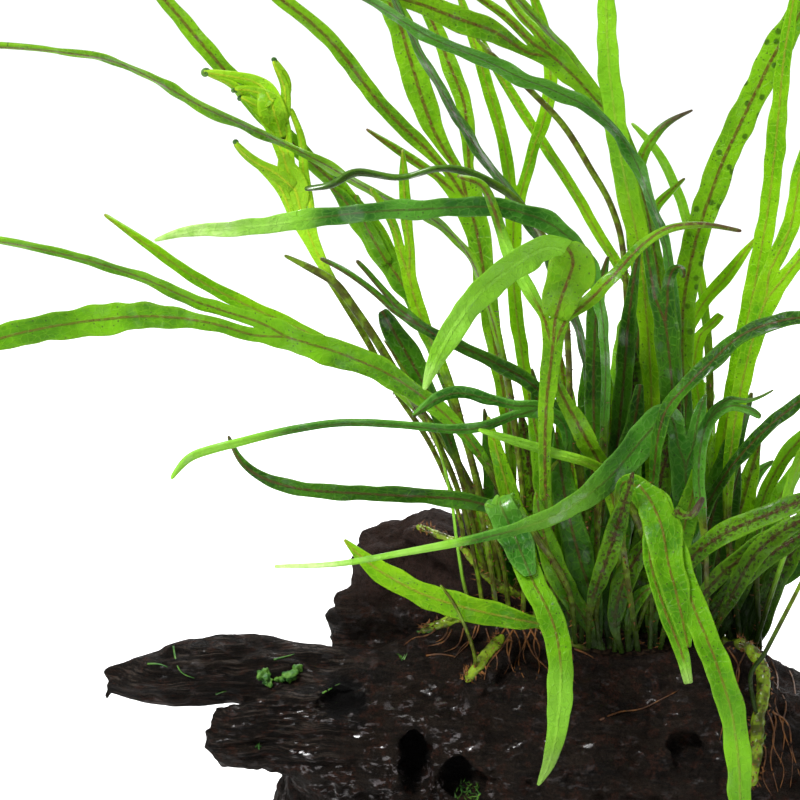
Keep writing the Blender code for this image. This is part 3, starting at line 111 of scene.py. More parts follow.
# Wood
WOOD_COARSE = 1.6  # grain of the wood while its hollows are cut
WOOD_FINE = 0.85  # and of the finished wood
WOOD_BED = 3.3  # radius of the ridge of wood under a rhizome
WOOD_BED_SUNK = 3.1  # how deep the ridge's middle lies under the rhizome's
WOOD_BED_WAY = Vector((0, 0.15, -1))  # and the way that it lies, as far as square to the rhizome
WOOD_CALM = (2.0, 9.0)  # the relief grows from nothing to full over these distances
# The wood's relief: height of each noise, then its grain size and shift along x, y and z
WOOD_RIDGES = [
    (3.5, (33, 27, 25), (4, 1, 8)),
    (2.4, (14, 12, 11), (7, 3, 5)),
    (1.7, (38, 7, 5), (0, 0, 0)),
]
WOOD_PITS = (-2.4, (7, 6, 5), (1, 9, 2))
WOOD_PIT_EDGE = 0.15  # noise under this leaves no pit
WOOD_FINE_CALM = (1.5, 4.5)  # the fine relief grows likewise over these
WOOD_RIDGE_TOP = 0.19  # noise under this stands up as a ridge in the fine relief
LIMB_STEP = 2.5  # between the balls that a limb is grown from
BED_STEP = 2.0
HOLLOW_DEEPER = 1.5  # the balls that cut the hollows reach this much deeper

# Finished blades
JAG_SHIFTS = (31.7, 7.3)  # moves the noise of the edges from side to side and lobe to lobe
STALK_HALF = 0.8  # half width up to which a row is all stalk
# What its half width grows by from there until its edges are fully uneven, it is no longer
# slimmer, its edges are fully wavy, and it is all blade
JAGS_BY, SLIM_BY, WAVES_BY, BLADE_BY = 1.2, 0.8, 1.4, 1.1
THIN_HALF = 0.75  # half width up to which it is as thick as a stalk
BLADE_RIB, BLADE_THINNER = 1.35, 0.75  # thickness at the rib, and what it loses to the edge
TINT_SOFT = 1.3  # a tint fades out this many reaches from its middle

# Rhizomes, roots and scales
HIDDEN_STRETCH = (138, 182)  # across the stretch of the front rhizome that is sunk among the leaves' feet and painted dark with shade
HIDDEN_SLIMMER = 0.6
RHIZOME_STEP = 0.8
RHIZOME_RINGS = (0.9, 0.05)  # how fast they follow each other along it, and their height
RHIZOME_KNOTS = (0.3, 0.16)  # the same for its knots
RHIZOME_TIP = (0.15, 2.2)  # its radius grows as the root of the steps from its end, over these
RHIZOME_BUMPS = (1.3, 0.28)  # length and height of the bumps on its skin
ROOT_RADIUS = 0.27
THREAD_RADIUS = 0.26
THREAD_STEP = 0.9
THREAD_LIFT = 0.15  # a thread's middle lies this far above the wood
THREAD_LEAST = 4  # places on the wood that a thread needs
THREAD_ROUNDS = 3  # of smoothing
THREAD_TAPER = 0.65  # share of its radius that a thread loses towards its end
SCALE_BREADTH = 0.28
SCALE_SUNK = 0.8  # share of the radius at which a scale starts
SCALE_STEPS = (1.3, 0.35)  # between the places for them along a stalk and along a rhizome
SCALE_CHANCE = 0.9  # that a place on a stalk has one
SCALE_TUFT = 14  # places from a rhizome's end over which it is shaggy
SHAGGY = 3  # scales at each place there
# Scales: shortest, longest and how far they lean along
STALK_SCALES, END_SCALES, RHIZOME_SCALES = (0.9, 1.8, 1.2), (0.9, 2.0, 2.0), (0.5, 1.3, 2.0)
SCALY_SHARE = 0.6  # of a stalk's length
SCALY_WIDTH = 3.2  # a stalk that has opened this far has no more scales
FRAGMENT_LIFT, FRAGMENT_HALF = 0.5, 0.9  # how high its middle lies, and half its thickness
FRAGMENT_GRAIN, FRAGMENT_ROUGH = 0.35, 1.2  # of its mesh, and how rough it is
MOSS_LEAN, MOSS_LENGTHS, MOSS_SUNK, TUFT_BREADTH = 0.9, (1.2, 2.6), 0.3, 0.32

# Stage
FLOOR_SIDES = (-9000, 9000, -3000, 6000)  # left, right, front and back
WALL_HEIGHT = 5000
SUN_WAY = (0.45, 0.5, -0.9)
SUN_ANGLE = math.radians(20)
# Round lights: place, breadth and the setting that holds their power
LIGHTS = {
    "key light": ((-500, -500, 800), 250, "key"),
    "back light": ((150, 700, 800), 600, "back"),
}

Blade = namedtuple("Blade", "points lobes", defaults=((),))
Frond = namedtuple("Frond", "rhizome share stem lobes", defaults=((),))
# A part of a frond between two forks: rows of (across, up, depth, width, turn), the row's
# direction at each, the number of the first lobe that it carries and how many it carries
Reach = namedtuple("Reach", "rows sides first span parent")

# Rhizomes: across, up, depth and radius along each
RHIZOMES = {
    "rhizome_front": [
        (105, 42, -8, 1.1), (110, 43.7, -9, 1.5), (116, 45.7, -9, 1.6), (124, 46.2, -9, 1.6),
        (132.5, 45, -10, 1.7), (141, 40, -11, 1.8), (150, 37, -12, 1.8), (160, 36.8, -12, 1.8),
        (170, 38.4, -10, 1.7), (178, 39, -8, 1.5),
    ],
    "rhizome_left": [
        (104, 68.5, 8, 1.0), (110, 66, 5, 1.1), (115, 63.5, 3, 1.2), (120, 57.5, 2, 1.4),
        (125, 53, 2, 1.5), (131, 51, 2, 1.4),
    ],
    "rhizome_low": [
        (116.5, 29.5, -22, 1.3), (119.5, 33.5, -21, 1.6), (122.5, 37.5, -18, 1.6),
        (126, 41, -15, 1.4),
    ],
    "rhizome_hanging": [
        (183.5, 39.5, -11, 1.6), (187.5, 37.5, -14, 1.7), (190.5, 33, -18.5, 1.8),
        (190.8, 27, -23.5, 1.8), (189.5, 20, -27, 1.8), (189, 12, -30.5, 1.8),
        (187.5, 3, -32.5, 1.5),
    ],
    "rhizome_back": [
        (118, 49, 12, 1.4), (130, 44.5, 13, 1.8), (145, 42.2, 13, 1.9), (160, 41.4, 13, 1.9),
        (175, 40.5, 13, 1.9), (190, 37.5, 12, 1.6),
    ],
}

# Fronds: the rhizome, how far along it, then across, up, depth, width and turn along the stem
# and each lobe. A turn of 0 is broadside on and 90 is edge-on. Lobes run from left to right,
# seen from the front with the tip pointing up.
FRONDS = {
    "frond_left_high_thin": Frond("rhizome_left", 0.94, [
        (131, 70, 0, 1.8, 20), (128.5, 95, 2, 2.2, 40), (124, 118, 3, 3, 55), (117, 137, 4, 4, 60),
        (106, 147, 5, 5, 62), (97, 150.5, 6, 5, 62), (75, 162.5, 8, 5, 62), (50, 174, 10, 4.5, 62),
        (31, 184, 12, 4, 62), (15, 187.3, 13, 3, 60), (0, 188.7, 14, 2, 60),
        (-9, 188.5, 14, 0.6, 60),
    ]),
    "frond_left_high_broad": Frond("rhizome_left", 0.83, [
        (122.5, 68, 5, 1.8, 0), (117, 88, 10, 2.2, 10), (110, 108, 14, 3, 20),
        (102, 127, 17, 4, 25), (94, 143, 18, 4.5, 25), (85, 153, 18, 4.6, 25),
        (72, 165.5, 18, 4.6, 20), (55.5, 183.5, 18, 4.6, 20), (41, 200.5, 18, 4, 20),
        (33, 210, 18, 2, 20), (29, 215, 18, 0.5, 20),
    ]),
    "frond_young_curled": Frond("rhizome_left", 0.42, [
        (115.5, 68, 1, 1.6, 0), (112.5, 78, 2, 1.6, 0), (107, 90, 4, 1.8, 0), (99, 102, 6, 1.8, 0),
        (90, 118, 8, 2.2, 0), (81.5, 132.5, 8, 2.8, 5), (77.5, 141, 8, 4.2, 10),
        (75.5, 147, 8, 7, 10),
    ], [
        Blade([(70, 153.5, 8, 3.4, 20), (64, 159.5, 7, 2, 30), (58.5, 164.5, 6, 0.6, 60)]),
        Blade([
            (72.6, 158, 8, 4, 10), (70.2, 166, 9, 5.5, 10),
        ], [
            Blade([(65, 172, 10, 2.8, 30), (58, 179, 9, 2.4, 40), (51, 182, 8, 0.7, 60)]),
            Blade([(71.3, 174, 8, 2.6, 0), (71.8, 180, 7, 2, 20), (68.2, 185.5, 6, 0.7, 40)]),
        ]),
        Blade([(76, 157, 8, 2.6, 20), (75.5, 165, 7, 2, 35), (72.6, 173, 6, 0.7, 50)]),
    ]),
    "frond_left_low_forked": Frond("rhizome_front", 0.4, [
        (131, 62, -12, 2, 0), (124, 80, -12, 2.4, 10), (114, 94, -12, 4, 20),
        (100, 105, -11, 6, 25), (87.5, 111, -10, 7.4, 25), (75, 115, -9, 7.6, 22),
        (64, 118, -8, 7.6, 20),
    ], [
        Blade([
            (52, 119.6, -8, 4.6, 10), (40, 121, -7, 7.2, 10), (27.5, 120.5, -6, 7.8, 10),
            (12.5, 118.5, -6, 7.8, 10), (0, 115.5, -6, 6.4, 10), (-9, 112, -6, 3.4, 10),
            (-14, 109.5, -6, 0.6, 10),
        ]),
        Blade([
            (50, 124.5, -7, 4.4, 30), (37.5, 130, -6, 4, 40), (25, 134.3, -5, 3.6, 45),
            (12.5, 137.5, -4, 3, 45), (0, 140, -3, 2.2, 45), (-12, 141.5, -3, 0.6, 45),
        ]),
    ]),
    "frond_left_light_tip": Frond("rhizome_front", 0.3, [
        (125.5, 60, -6, 1.8, 0), (119, 76, -2, 2, 10), (110, 91, 0, 2.4, 20), (98, 104, 2, 3, 30),
        (86, 112, 3, 3.4, 30), (75, 118, 4, 3.8, 25), (62.5, 123.5, 4, 3.8, 20),
        (50, 130, 4, 3.6, 20), (37.5, 138.5, 4, 2.6, 20), (26, 146.5, 4, 0.5, 20),
    ]),
    "frond_left_pale_tip": Frond("rhizome_front", 0.615, [
        (149, 60, -16, 2, 10), (151, 90, -19, 2.6, 30), (151.5, 115, -22, 4, 50),
        (148, 133, -25, 5.6, 45), (141, 142, -27, 5.6, 35), (131, 147, -28, 5.6, 25),
        (120, 148.5, -28, 5.6, 20), (100, 147.6, -27, 5.4, 20), (87.5, 146.8, -26, 5.2, 20),
        (70, 144.3, -25, 4.8, 20), (55, 143, -24, 4, 20), (45, 141.8, -24, 2.4, 20),
        (38.5, 139.8, -24, 0.5, 20),
    ]),
    "frond_twisted_thin": Frond("rhizome_front", 0.515, [
        (141.5, 70, -14, 1.6, 20), (142.5, 100, -16, 1.8, 40), (140, 130, -18, 2.2, 60),
        (131, 148, -19, 2.6, 55), (119, 156.2, -20, 2.8, 40), (110, 158, -19, 2.6, 60),
        (100, 155.6, -18, 2.2, 70), (89, 157, -17, 2.6, 40), (83, 153.8, -16, 1.8, 50),
        (76, 152.8, -15, 0.5, 60),
    ]),
    "frond_left_narrow": Frond("rhizome_front", 0.215, [
        (119.5, 56, -8, 1.6, 0), (115, 76, -7, 1.8, 10), (108, 92, -5, 2, 20),
        (100, 105, -4, 2.4, 30), (94, 115, -3, 2.4, 30), (87.5, 124.5, -2, 2.4, 25),
        (83.5, 129.5, -2, 2.4, 20), (77.5, 133, -2, 2, 20), (71, 136.2, -2, 0.5, 20),
    ]),
    "frond_ragged": Frond("rhizome_left", 0.7, [
        (118, 70, -4, 1.8, 0), (114.5, 84, -6, 2.4, 10), (109.5, 97, -7, 4, 20),
        (105, 106, -8, 6, 20), (101, 113, -8, 7, 15), (97.5, 119, -8, 5.6, 10),
        (95.5, 122.5, -8, 2.4, 10),
    ]),
    "frond_wet_narrow": Frond("rhizome_front", 0.565, [
        (145.5, 62, -13, 1.8, 0), (144.5, 85, -14, 2.6, 20), (136, 101.5, -15, 4.2, 40),
        (122.5, 110.3, -14, 4.4, 45), (109, 116.5, -13, 4.2, 45), (99, 123, -12, 3.6, 40),
    ], [
        Blade([(93, 127.5, -11, 1.4, 30), (86, 132.5, -10, 1.2, 30), (80, 135.5, -9, 0.5, 30)]),
        Blade([(94.5, 129, -12, 1.2, 30), (91.5, 132.5, -12, 1, 30), (89, 135, -12, 0.5, 30)]),
    ]),
    "frond_twisted_fork": Frond("rhizome_front", 0.435, [
        (137, 62, -17, 1.8, 0), (141, 82, -21, 2.4, 10), (141.5, 93, -24, 3.4, 20),
        (136, 98, -26, 4.6, 30), (129, 97.6, -27, 5, 30),
    ], [
        Blade([
            (121, 93.5, -28, 3, 30), (112, 92.8, -28, 3, 40), (102, 93.8, -27, 3, 50),
            (86, 94.4, -26, 2.6, 50), (75, 93, -25, 2.4, 45), (65, 90.8, -24, 2.4, 40),
            (50, 86.8, -23, 2.4, 30), (46, 84.5, -23, 2, 30), (42.7, 80.2, -23, 0.5, 30),
        ]),
        Blade([
            (121, 100.8, -26, 4, 40), (114, 102, -26, 3.6, 30), (108.5, 100, -26, 3, 20),
            (103, 95.9, -26, 0.6, 20),
        ]),
    ]),
    "frond_low_left": Frond("rhizome_front", 0.345, [
        (131, 58, -15, 2, 0), (128.5, 69.5, -18, 3, 20), (118, 75, -20, 4.6, 30),
        (100, 76.3, -20, 5, 30), (87.5, 77, -20, 4.8, 25), (75, 78, -20, 4.2, 20),
        (65.5, 80.8, -19, 2.8, 20), (60, 85.3, -18, 1.6, 20), (57, 91.2, -17, 0.4, 20),
    ]),
    "frond_over_wood": Frond("rhizome_front", 0.47, [
        (136, 43.8, -19, 2.4, 0), (130, 45.2, -22, 5, 10), (118, 47.8, -23, 6.6, 10),
        (107.5, 51, -22, 6.6, 10), (99, 55, -21, 6, 10), (91.5, 60, -20, 4, 10),
        (86, 65.2, -19, 0.5, 10),
    ]),
    "frond_folded_front": Frond("rhizome_front", 0.955, [
        (174, 55, -10, 3, 0), (172, 68, -11, 6, 10), (171.5, 80, -12, 8, 10),
        (171.5, 91, -13, 8.8, 5),
    ], [
        Blade([
            (167.3, 96.5, -17, 6.4, 0), (161.5, 91.5, -22, 7.8, 10), (156, 85, -27, 8, 15),
            (149, 78, -33, 7.2, 20), (137, 70.5, -39, 4.8, 25), (120, 65.6, -43, 2.4, 20),
            (100, 61.7, -46, 1.6, 0), (84, 59, -47, 1.4, 0), (68.5, 58.4, -47, 0.7, 0),
        ]),
        Blade([(174.8, 97, -12, 3.4, 10), (176.5, 101.5, -11, 0.8, 20)]),
    ]),
    "frond_hanging_front": Frond("rhizome_front", 0.545, [
        (142, 53, -20, 2, 0), (134, 66, -27, 2.4, 0), (127.5, 74.5, -33, 3.4, 10),
        (126, 73, -37, 5, 20), (128.5, 66, -41, 6.4, 20), (133, 55, -45, 7, 15),
        (138, 45, -48, 7.2, 10), (140, 35, -50, 6.8, 5), (140, 25, -52, 6.2, 0),
        (138.7, 15, -53, 4.8, 0), (137, 8.7, -53, 3.2, 0), (134.4, 3.6, -53, 0.6, 0),
    ]),
    "frond_hanging_right_forked": Frond("rhizome_front", 0.75, [
        (156.5, 58, -21, 2, 0), (154.5, 74, -27, 2.4, 0), (156.3, 80, -32, 3.6, 0),
        (160, 77.5, -36, 6, 5), (164.5, 72.5, -40, 9, 5),
    ], [
        Blade([
            (169.8, 59, -44, 5.8, 5), (173.5, 48, -47, 6.6, 5), (178, 37, -50, 6.8, 5),
            (182, 25, -52, 6.8, 0), (184.3, 12.5, -54, 6.6, 0), (185, 0, -55, 6, 0),
            (184.6, -8, -55, 3.2, 0), (184, -13, -55, 0.6, 0),
        ]),
        Blade([
            (162.5, 60, -43, 3.4, 0), (166, 48, -46, 3.8, 0), (170.3, 37, -48, 3.6, 0),
            (172.2, 29, -49, 2.4, 0),
        ]),
    ]),
    "frond_trident_arching": Frond("rhizome_front", 0.49, [
        (138, 56, -20, 2.2, 0), (136.3, 78, -26, 3, 0), (136.5, 98, -30, 4, 0),
        (138, 112, -31, 5.2, 0), (138.7, 120, -31, 7, 0),
    ], [
        Blade([
            (131.5, 129, -30, 4, 10), (126.5, 138.5, -30, 3.4, 20), (123.5, 148, -31, 2.8, 20),
            (120.4, 154, -32, 2.2, 20), (114.2, 156, -33, 0.5, 20),
        ]),
        Blade([
            (141.5, 129, -34, 5.4, 0), (142, 136.5, -39, 6.6, 10), (136, 138, -46, 7.2, 20),
            (129, 134, -52, 7.4, 20), (120, 127, -58, 7.2, 15), (113, 117.5, -63, 6.4, 10),
            (108.3, 108.5, -66, 4.2, 10), (106, 102.5, -68, 0.8, 10),
        ]),
        Blade([
            (147.5, 125, -30, 4, 20), (154, 131.5, -30, 3.8, 30), (160, 138, -30, 3.4, 35),
            (167, 142.7, -30, 2.4, 35), (176, 143.8, -30, 1.4, 30), (185.5, 142.2, -30, 0.5, 30),
        ]),
    ]),
    "frond_tall_trident": Frond("rhizome_back", 0.17, [
        (128.5, 70, 17, 2.2, 0), (127, 95, 20, 3.4, 10), (123.5, 115, 22, 4.6, 15),
        (121, 132, 23, 5.6, 15), (118.5, 145, 24, 6.6, 10), (114, 156.5, 24, 9.6, 5),
    ], [
        Blade([(101, 161.5, 24, 2.4, 10), (91.5, 167.8, 24, 0.6, 10)]),
        Blade([
            (106.5, 163, 24, 3.8, 10), (99, 170, 24, 4.2, 15), (92, 178, 24, 4.2, 15),
            (86, 186, 23, 4.4, 15), (79, 193.5, 22, 4.4, 15), (70, 200.5, 21, 3.8, 15),
            (60, 208, 20, 0.8, 15),
        ]),
        Blade([
            (109.5, 165, 25, 4.6, 5), (106, 174, 26, 6.6, 10), (102.7, 185, 27, 6.8, 10),
            (99.5, 195, 28, 6.4, 10), (95.5, 203, 29, 5, 10), (90, 213, 30, 0.6, 10),
        ]),
        Blade([
            (117, 166, 25, 3.8, 20), (116, 175, 27, 4.4, 25), (112.5, 184, 29, 4.4, 25),
            (108.7, 193.5, 31, 4.2, 25), (104.5, 203, 33, 3.2, 25), (101, 211, 34, 0.6, 25),
        ]),
    ]),
    "frond_slender_pair": Frond("rhizome_front", 0.26, [
        (123, 56, -13, 1.8, 0), (121, 68, -14, 1.8, 0), (118, 84, -13, 2, 10),
        (112, 105, -10, 2.6, 15), (106, 119, -8, 3.6, 15), (102.8, 129, -7, 4, 15),
        (101.2, 138, -7, 5, 10),
    ], [
        Blade([(98.5, 143.5, -7, 2.4, 20), (95.5, 149, -8, 2, 30), (92.5, 153, -9, 0.5, 40)]),
        Blade([(101.5, 146, -7, 3, 10), (101, 155, -7, 2.8, 10), (100.7, 162.8, -7, 0.6, 10)]),
    ]),
    "frond_edge_on_dark": Frond("rhizome_back", 0.47, [
        (150.5, 68, 8, 2, 20), (149, 95, 4, 3.6, 50), (145, 117, 2, 5, 62), (138, 135, 1, 5.2, 64),
        (130, 149, 0, 5.2, 64), (120, 162.5, -1, 5.2, 64), (114, 171.5, -2, 5, 64),
        (107.5, 183, -3, 4.8, 64), (102, 193.5, -4, 4, 64), (98.5, 201, -5, 3, 64),
        (95.5, 208, -6, 0.6, 64),
    ]),
    "frond_long_blue": Frond("rhizome_back", 0.735, [
        (171, 68, 8, 2, 20), (170, 95, 4, 3, 40), (169, 120, 0, 4, 55), (167, 137, -3, 4.8, 58),
        (163, 150, -6, 5.2, 55), (157.5, 163, -9, 5.2, 50), (150, 171.5, -12, 5.2, 50),
        (140, 177, -15, 5.2, 50), (130, 181, -18, 5.2, 50), (120, 185.8, -21, 5, 50),
        (107.5, 191, -24, 4.4, 50), (95, 198.5, -27, 3.4, 50), (85, 204, -29, 0.6, 50),
    ]),
    "frond_top_forked": Frond("rhizome_back", 0.69, [
        (167, 75, 16, 2.2, 0), (167, 105, 17, 3.2, 20), (164.5, 133, 16, 4.2, 35),
        (160, 155, 14, 4.8, 40), (155, 167.5, 12, 5.2, 40), (147.5, 177, 10, 5.6, 35),
        (140, 184.5, 8, 6.2, 25), (133, 189.5, 7, 9, 15),
    ], [
        Blade([
            (124, 192, 5, 6, 10), (115, 195.3, 3, 6.8, 10), (106.5, 198.5, 1, 5.4, 10),
            (97, 201.5, -1, 3.4, 10), (89, 203.5, -2, 0.6, 10),
        ]),
        Blade([(126.5, 196, 8, 2.6, 20), (120, 200.5, 9, 2, 20), (113, 205.5, 10, 0.6, 20)]),
        Blade([(130.5, 196, 11, 2.6, 30), (126, 202, 13, 2, 30), (121.5, 208, 15, 0.6, 30)]),
    ]),
    "frond_toothed": Frond("rhizome_back", 0.565, [
        (159.5, 75, 20, 2.2, 10), (160.5, 105, 25, 2.8, 30), (159, 132, 27, 3.6, 45),
        (156, 155, 28, 4.2, 50), (151, 172, 28, 4.4, 50), (144, 184, 27, 4.4, 50),
        (138.5, 190.5, 26, 4.2, 50), (130, 200, 25, 3, 50), (123, 207, 24, 0.6, 50),
    ]),
    "frond_upright_forked": Frond("rhizome_back", 0.31, [
        (138, 70, 24, 2.2, 0), (134, 92, 31, 2.8, 10), (130.5, 112, 35, 3.6, 20),
        (128.5, 130, 37, 4, 25), (128.5, 143, 38, 4.4, 25), (129.2, 153, 38, 6, 15),
    ], [
        Blade([
            (126.5, 162, 39, 3.4, 20), (124.3, 171, 40, 3.6, 25), (121.5, 180, 41, 3.6, 25),
            (118.5, 190, 42, 3.2, 25), (116, 198, 43, 2.2, 25), (113.5, 205, 44, 0.6, 25),
        ]),
        Blade([
            (133.5, 163, 38, 3.2, 20), (136.3, 171, 37, 3.6, 20), (137.8, 180, 36, 3.8, 20),
            (136.5, 190, 35, 3.6, 20), (134, 199, 34, 2.6, 20), (131, 207, 33, 0.6, 20),
        ]),
    ]),
    "frond_arched_behind": Frond("rhizome_back", 0.61, [
        (163.5, 75, 27, 1.8, 0), (163.5, 105, 36, 2.4, 10), (158.5, 126, 40, 2.8, 20),
        (150, 141, 42, 3, 25), (142.5, 154, 43, 3, 25), (134, 167, 44, 3, 25),
        (127, 178, 45, 2.8, 25), (121, 188.5, 46, 2.2, 25), (117.5, 196, 47, 0.5, 25),
    ]),
    "frond_dotted_thin": Frond("rhizome_back", 0.53, [
        (156, 75, 12, 1.6, 0), (157, 105, 12, 1.8, 10), (156, 135, 13, 2, 20),
        (153, 148, 14, 2, 30), (147.5, 158, 15, 2, 30), (141, 168.5, 16, 2, 30),
        (133, 177, 17, 1.8, 30), (125, 184.5, 18, 1.4, 30), (119, 190.5, 19, 0.5, 30),
    ]),
    "frond_upright_broad": Frond("rhizome_back", 0.65, [
        (163, 66, 15, 2.4, 0), (163, 95, 13, 4, 10), (162, 117, 10, 5.2, 15),
        (160, 137, 7, 5.8, 20), (157, 152, 5, 5.8, 20), (154.5, 166, 4, 5.8, 20),
        (152.5, 182, 3, 5.8, 15), (151.6, 197, 3, 4.8, 15), (152, 206, 3, 3, 15),
        (152.5, 213, 3, 0.6, 15),
    ]),
    "frond_wet_trunk": Frond("rhizome_front", 0.875, [
        (169.5, 58, -5, 2.6, 0), (169, 78, -5, 4.8, 15), (168.5, 98, -6, 6.2, 20),
        (167, 115, -5, 6.8, 20), (165.2, 127, -4, 6.8, 15),
    ], [
        Blade([(162.5, 133, -4, 3, 10), (161.5, 138.5, -4, 1.8, 20)]),
        Blade([(168, 132.5, -6, 3.2, 10), (170.5, 133, -9, 2.4, 30), (170.8, 130.5, -11, 0.8, 40)]),
    ]),
    "frond_brown_tip": Frond("rhizome_back", 0.775, [
        (173, 70, 22, 1.8, 0), (169, 100, 27, 2.4, 10), (163.5, 126, 29, 3.4, 15),
        (161.5, 140, 30, 5, 15),
    ], [
        Blade([
            (159.5, 151, 31, 3.2, 20), (160.3, 160, 31, 3.2, 20), (164, 166.5, 31, 2.6, 20),
            (168, 170, 31, 1.6, 20), (173.3, 172.5, 31, 0.5, 20),
        ]),
        Blade([
            (163.5, 147.5, 29, 2.8, 20), (167, 151.5, 28, 2.2, 20), (171.3, 155.5, 27, 0.6, 20),
        ]),
    ]),
    "frond_light_behind": Frond("rhizome_back", 0.815, [
        (177, 75, 32, 1.8, 0), (177.5, 105, 44, 2.4, 20), (175.5, 128, 48, 2.8, 30),
        (171.5, 146, 50, 3, 30), (166.5, 158.5, 50, 2.8, 30), (162, 165, 50, 2, 30),
        (157.8, 169.3, 50, 0.5, 30),
    ]),
    "frond_big_right": Frond("rhizome_back", 0.855, [
        (177, 66, 20, 2.4, 0), (172.5, 90, 24, 4, 0), (170.5, 110, 24, 5.6, 0),
        (171.3, 127, 24, 6.6, 5), (175.5, 145, 24, 7, 10), (180.5, 159, 24, 7, 15),
        (187, 173, 23, 7, 15), (193.5, 186, 22, 7, 15), (200, 196.5, 21, 6.2, 15),
        (208, 206, 20, 3.4, 15), (213, 211, 20, 0.6, 15),
    ]),
    "frond_right_upright": Frond("rhizome_back", 0.895, [
        (178.5, 66, 12, 2.4, 0), (179.5, 82, 12, 3.4, 10), (183, 101, 12, 4.6, 20),
        (187, 120, 12, 5.2, 25), (190.3, 137, 12, 5.4, 25), (192.8, 153, 12, 5.4, 25),
        (194.7, 171, 11, 5.2, 25), (196.3, 187, 10, 4.2, 25), (198.5, 200, 9, 2.6, 25),
        (200, 208, 8, 0.6, 25),
    ]),
    "frond_right_forked": Frond("rhizome_back", 0.935, [
        (182, 66, 5, 2.2, 0), (182.5, 85, 2, 3.4, 10), (185.5, 104, 0, 4.6, 15),
        (190, 121, -1, 5.6, 15), (194.5, 132, -1, 8.4, 10),
    ], [
        Blade([
            (197.5, 143, 0, 4.4, 10), (200, 156, 1, 4.2, 15), (203, 168, 2, 3, 20),
            (206, 177, 3, 0.6, 20),
        ]),
        Blade([
            (202, 137.5, -2, 4, 20), (208, 143.5, -4, 3.4, 30), (213.5, 149, -6, 2.2, 30),
            (218, 153, -7, 0.6, 30),
        ]),
    ]),
    "frond_blunt_lobes": Frond("rhizome_back", 0.972, [
        (184, 66, 24, 2, 0), (177.5, 88, 33, 2.8, 10), (174, 105, 35, 4, 15),
        (173, 116, 35, 6.6, 10),
    ], [
        Blade([
            (176, 124.5, 34, 3.6, 15), (181.5, 130.5, 32, 3.6, 20), (185.5, 136, 30, 2.8, 25),
            (189.2, 140.7, 28, 0.6, 25),
        ]),
        Blade([(177.5, 118.5, 36, 3.4, 15), (180.3, 121.5, 36, 2.4, 15)]),
    ]),
    "frond_arching_wet": Frond("rhizome_front", 0.79, [
        (163, 60, -15, 2, 10), (163.5, 80, -18, 3, 30), (166, 96, -21, 4.4, 40),
        (172, 103.5, -23, 5, 40), (178.5, 110, -25, 5.2, 40), (185, 115.8, -27, 5.2, 40),
        (192.5, 118.9, -28, 5, 40), (201, 120.5, -29, 4.4, 40), (210, 120, -30, 2.8, 40),
        (217, 117.5, -30, 0.5, 40),
    ]),
    "frond_looped_thin": Frond("rhizome_front", 0.98, [
        (176.5, 60, -16, 1.8, 0), (174.8, 80, -19, 3.4, 20), (175.8, 91, -20, 4, 30),
        (179, 97.2, -21, 4.2, 40), (183, 99.3, -22, 4.4, 40),
    ], [
        Blade([
            (187, 99.8, -23, 0.9, 20), (190, 100.7, -23, 0.8, 20), (193.5, 102.6, -23, 0.4, 20),
        ]),
        Blade([(187, 97.8, -22, 3.2, 30), (190.3, 95.6, -22, 1.2, 30)]),
    ]),
    "frond_right_arching": Frond("rhizome_front", 0.915, [
        (173.5, 55, -6, 2, 10), (176, 71, -5, 3.2, 30), (182, 82, -5, 4.2, 40),
        (189, 90, -6, 4.6, 40), (195, 95.6, -7, 4.4, 40), (202, 101, -8, 3.8, 40),
        (210, 105.5, -9, 2.4, 40), (217, 108, -10, 0.5, 40),
    ]),
    "frond_right_low": Frond("rhizome_back", 1.0, [
        (189, 58, 8, 2.2, 10), (190, 72, 4, 3.4, 20), (194, 82, 2, 4.4, 30), (200, 90, 0, 4.6, 30),
        (207, 96, -2, 3.2, 30), (214, 100, -4, 0.5, 30),
    ]),
    "frond_bluish_behind": Frond("rhizome_back", 0.775, [
        (179, 58, 40, 2.4, 0), (180.5, 66, 46, 4.6, 0), (181.8, 72, 48, 8, 0),
    ], [
        Blade([(180, 79, 49, 4.2, 0), (181, 86, 50, 3.6, 10), (183, 92, 50, 0.8, 20)]),
        Blade([(186.5, 76.5, 48, 4, 0), (189.6, 82, 48, 3, 10), (193.5, 84.8, 48, 0.8, 20)]),
    ]),
    "frond_brown_back_upper": Frond("rhizome_front", 0.825, [
        (168, 50, -19, 2.4, 0), (172.5, 60, -23, 4.6, 15), (181, 66.5, -26, 5.6, 20),
        (190, 70.5, -28, 5.8, 20), (200, 74.5, -29, 5.2, 20), (210, 77.5, -30, 3, 20),
        (217, 79, -30, 0.5, 20),
    ]),
    "frond_brown_back_lower": Frond("rhizome_front", 1.0, [
        (179, 43, -9.5, 1.8, 0), (181.5, 48, -15, 2.8, 5), (184.5, 54, -19, 4.8, 15),
        (188.5, 61, -21, 5.4, 20), (195, 67, -22, 5.2, 20), (203, 71, -22, 3.2, 20),
        (210, 73.5, -22, 0.6, 20),
    ]),
    "frond_dark_broad": Frond("rhizome_back", 0.93, [
        (187, 51, 22, 3, 0), (191, 54.5, 30, 7, 20), (198, 58.5, 36, 7.4, 25),
        (206, 63, 40, 5.4, 25), (214, 67, 43, 0.8, 25),
    ]),
    "frond_inner_left": Frond("rhizome_back", 0.39, [
        (146.5, 66, 8, 2.4, 0), (148.5, 88, 3, 4.6, 20), (148.5, 108, -1, 5.2, 25),
        (149.5, 124, -4, 4.6, 30), (152, 136, -6, 0.6, 30),
    ]),
    "frond_inner_right": Frond("rhizome_back", 0.43, [
        (152.5, 66, 16, 2.4, 0), (156, 88, 18, 4.8, 20), (158.5, 107, 19, 5.6, 20),
        (160.5, 121, 20, 4.6, 20), (163.5, 132, 21, 0.6, 20),
    ]),
    "frond_dotted": Frond("rhizome_front", 0.675, [
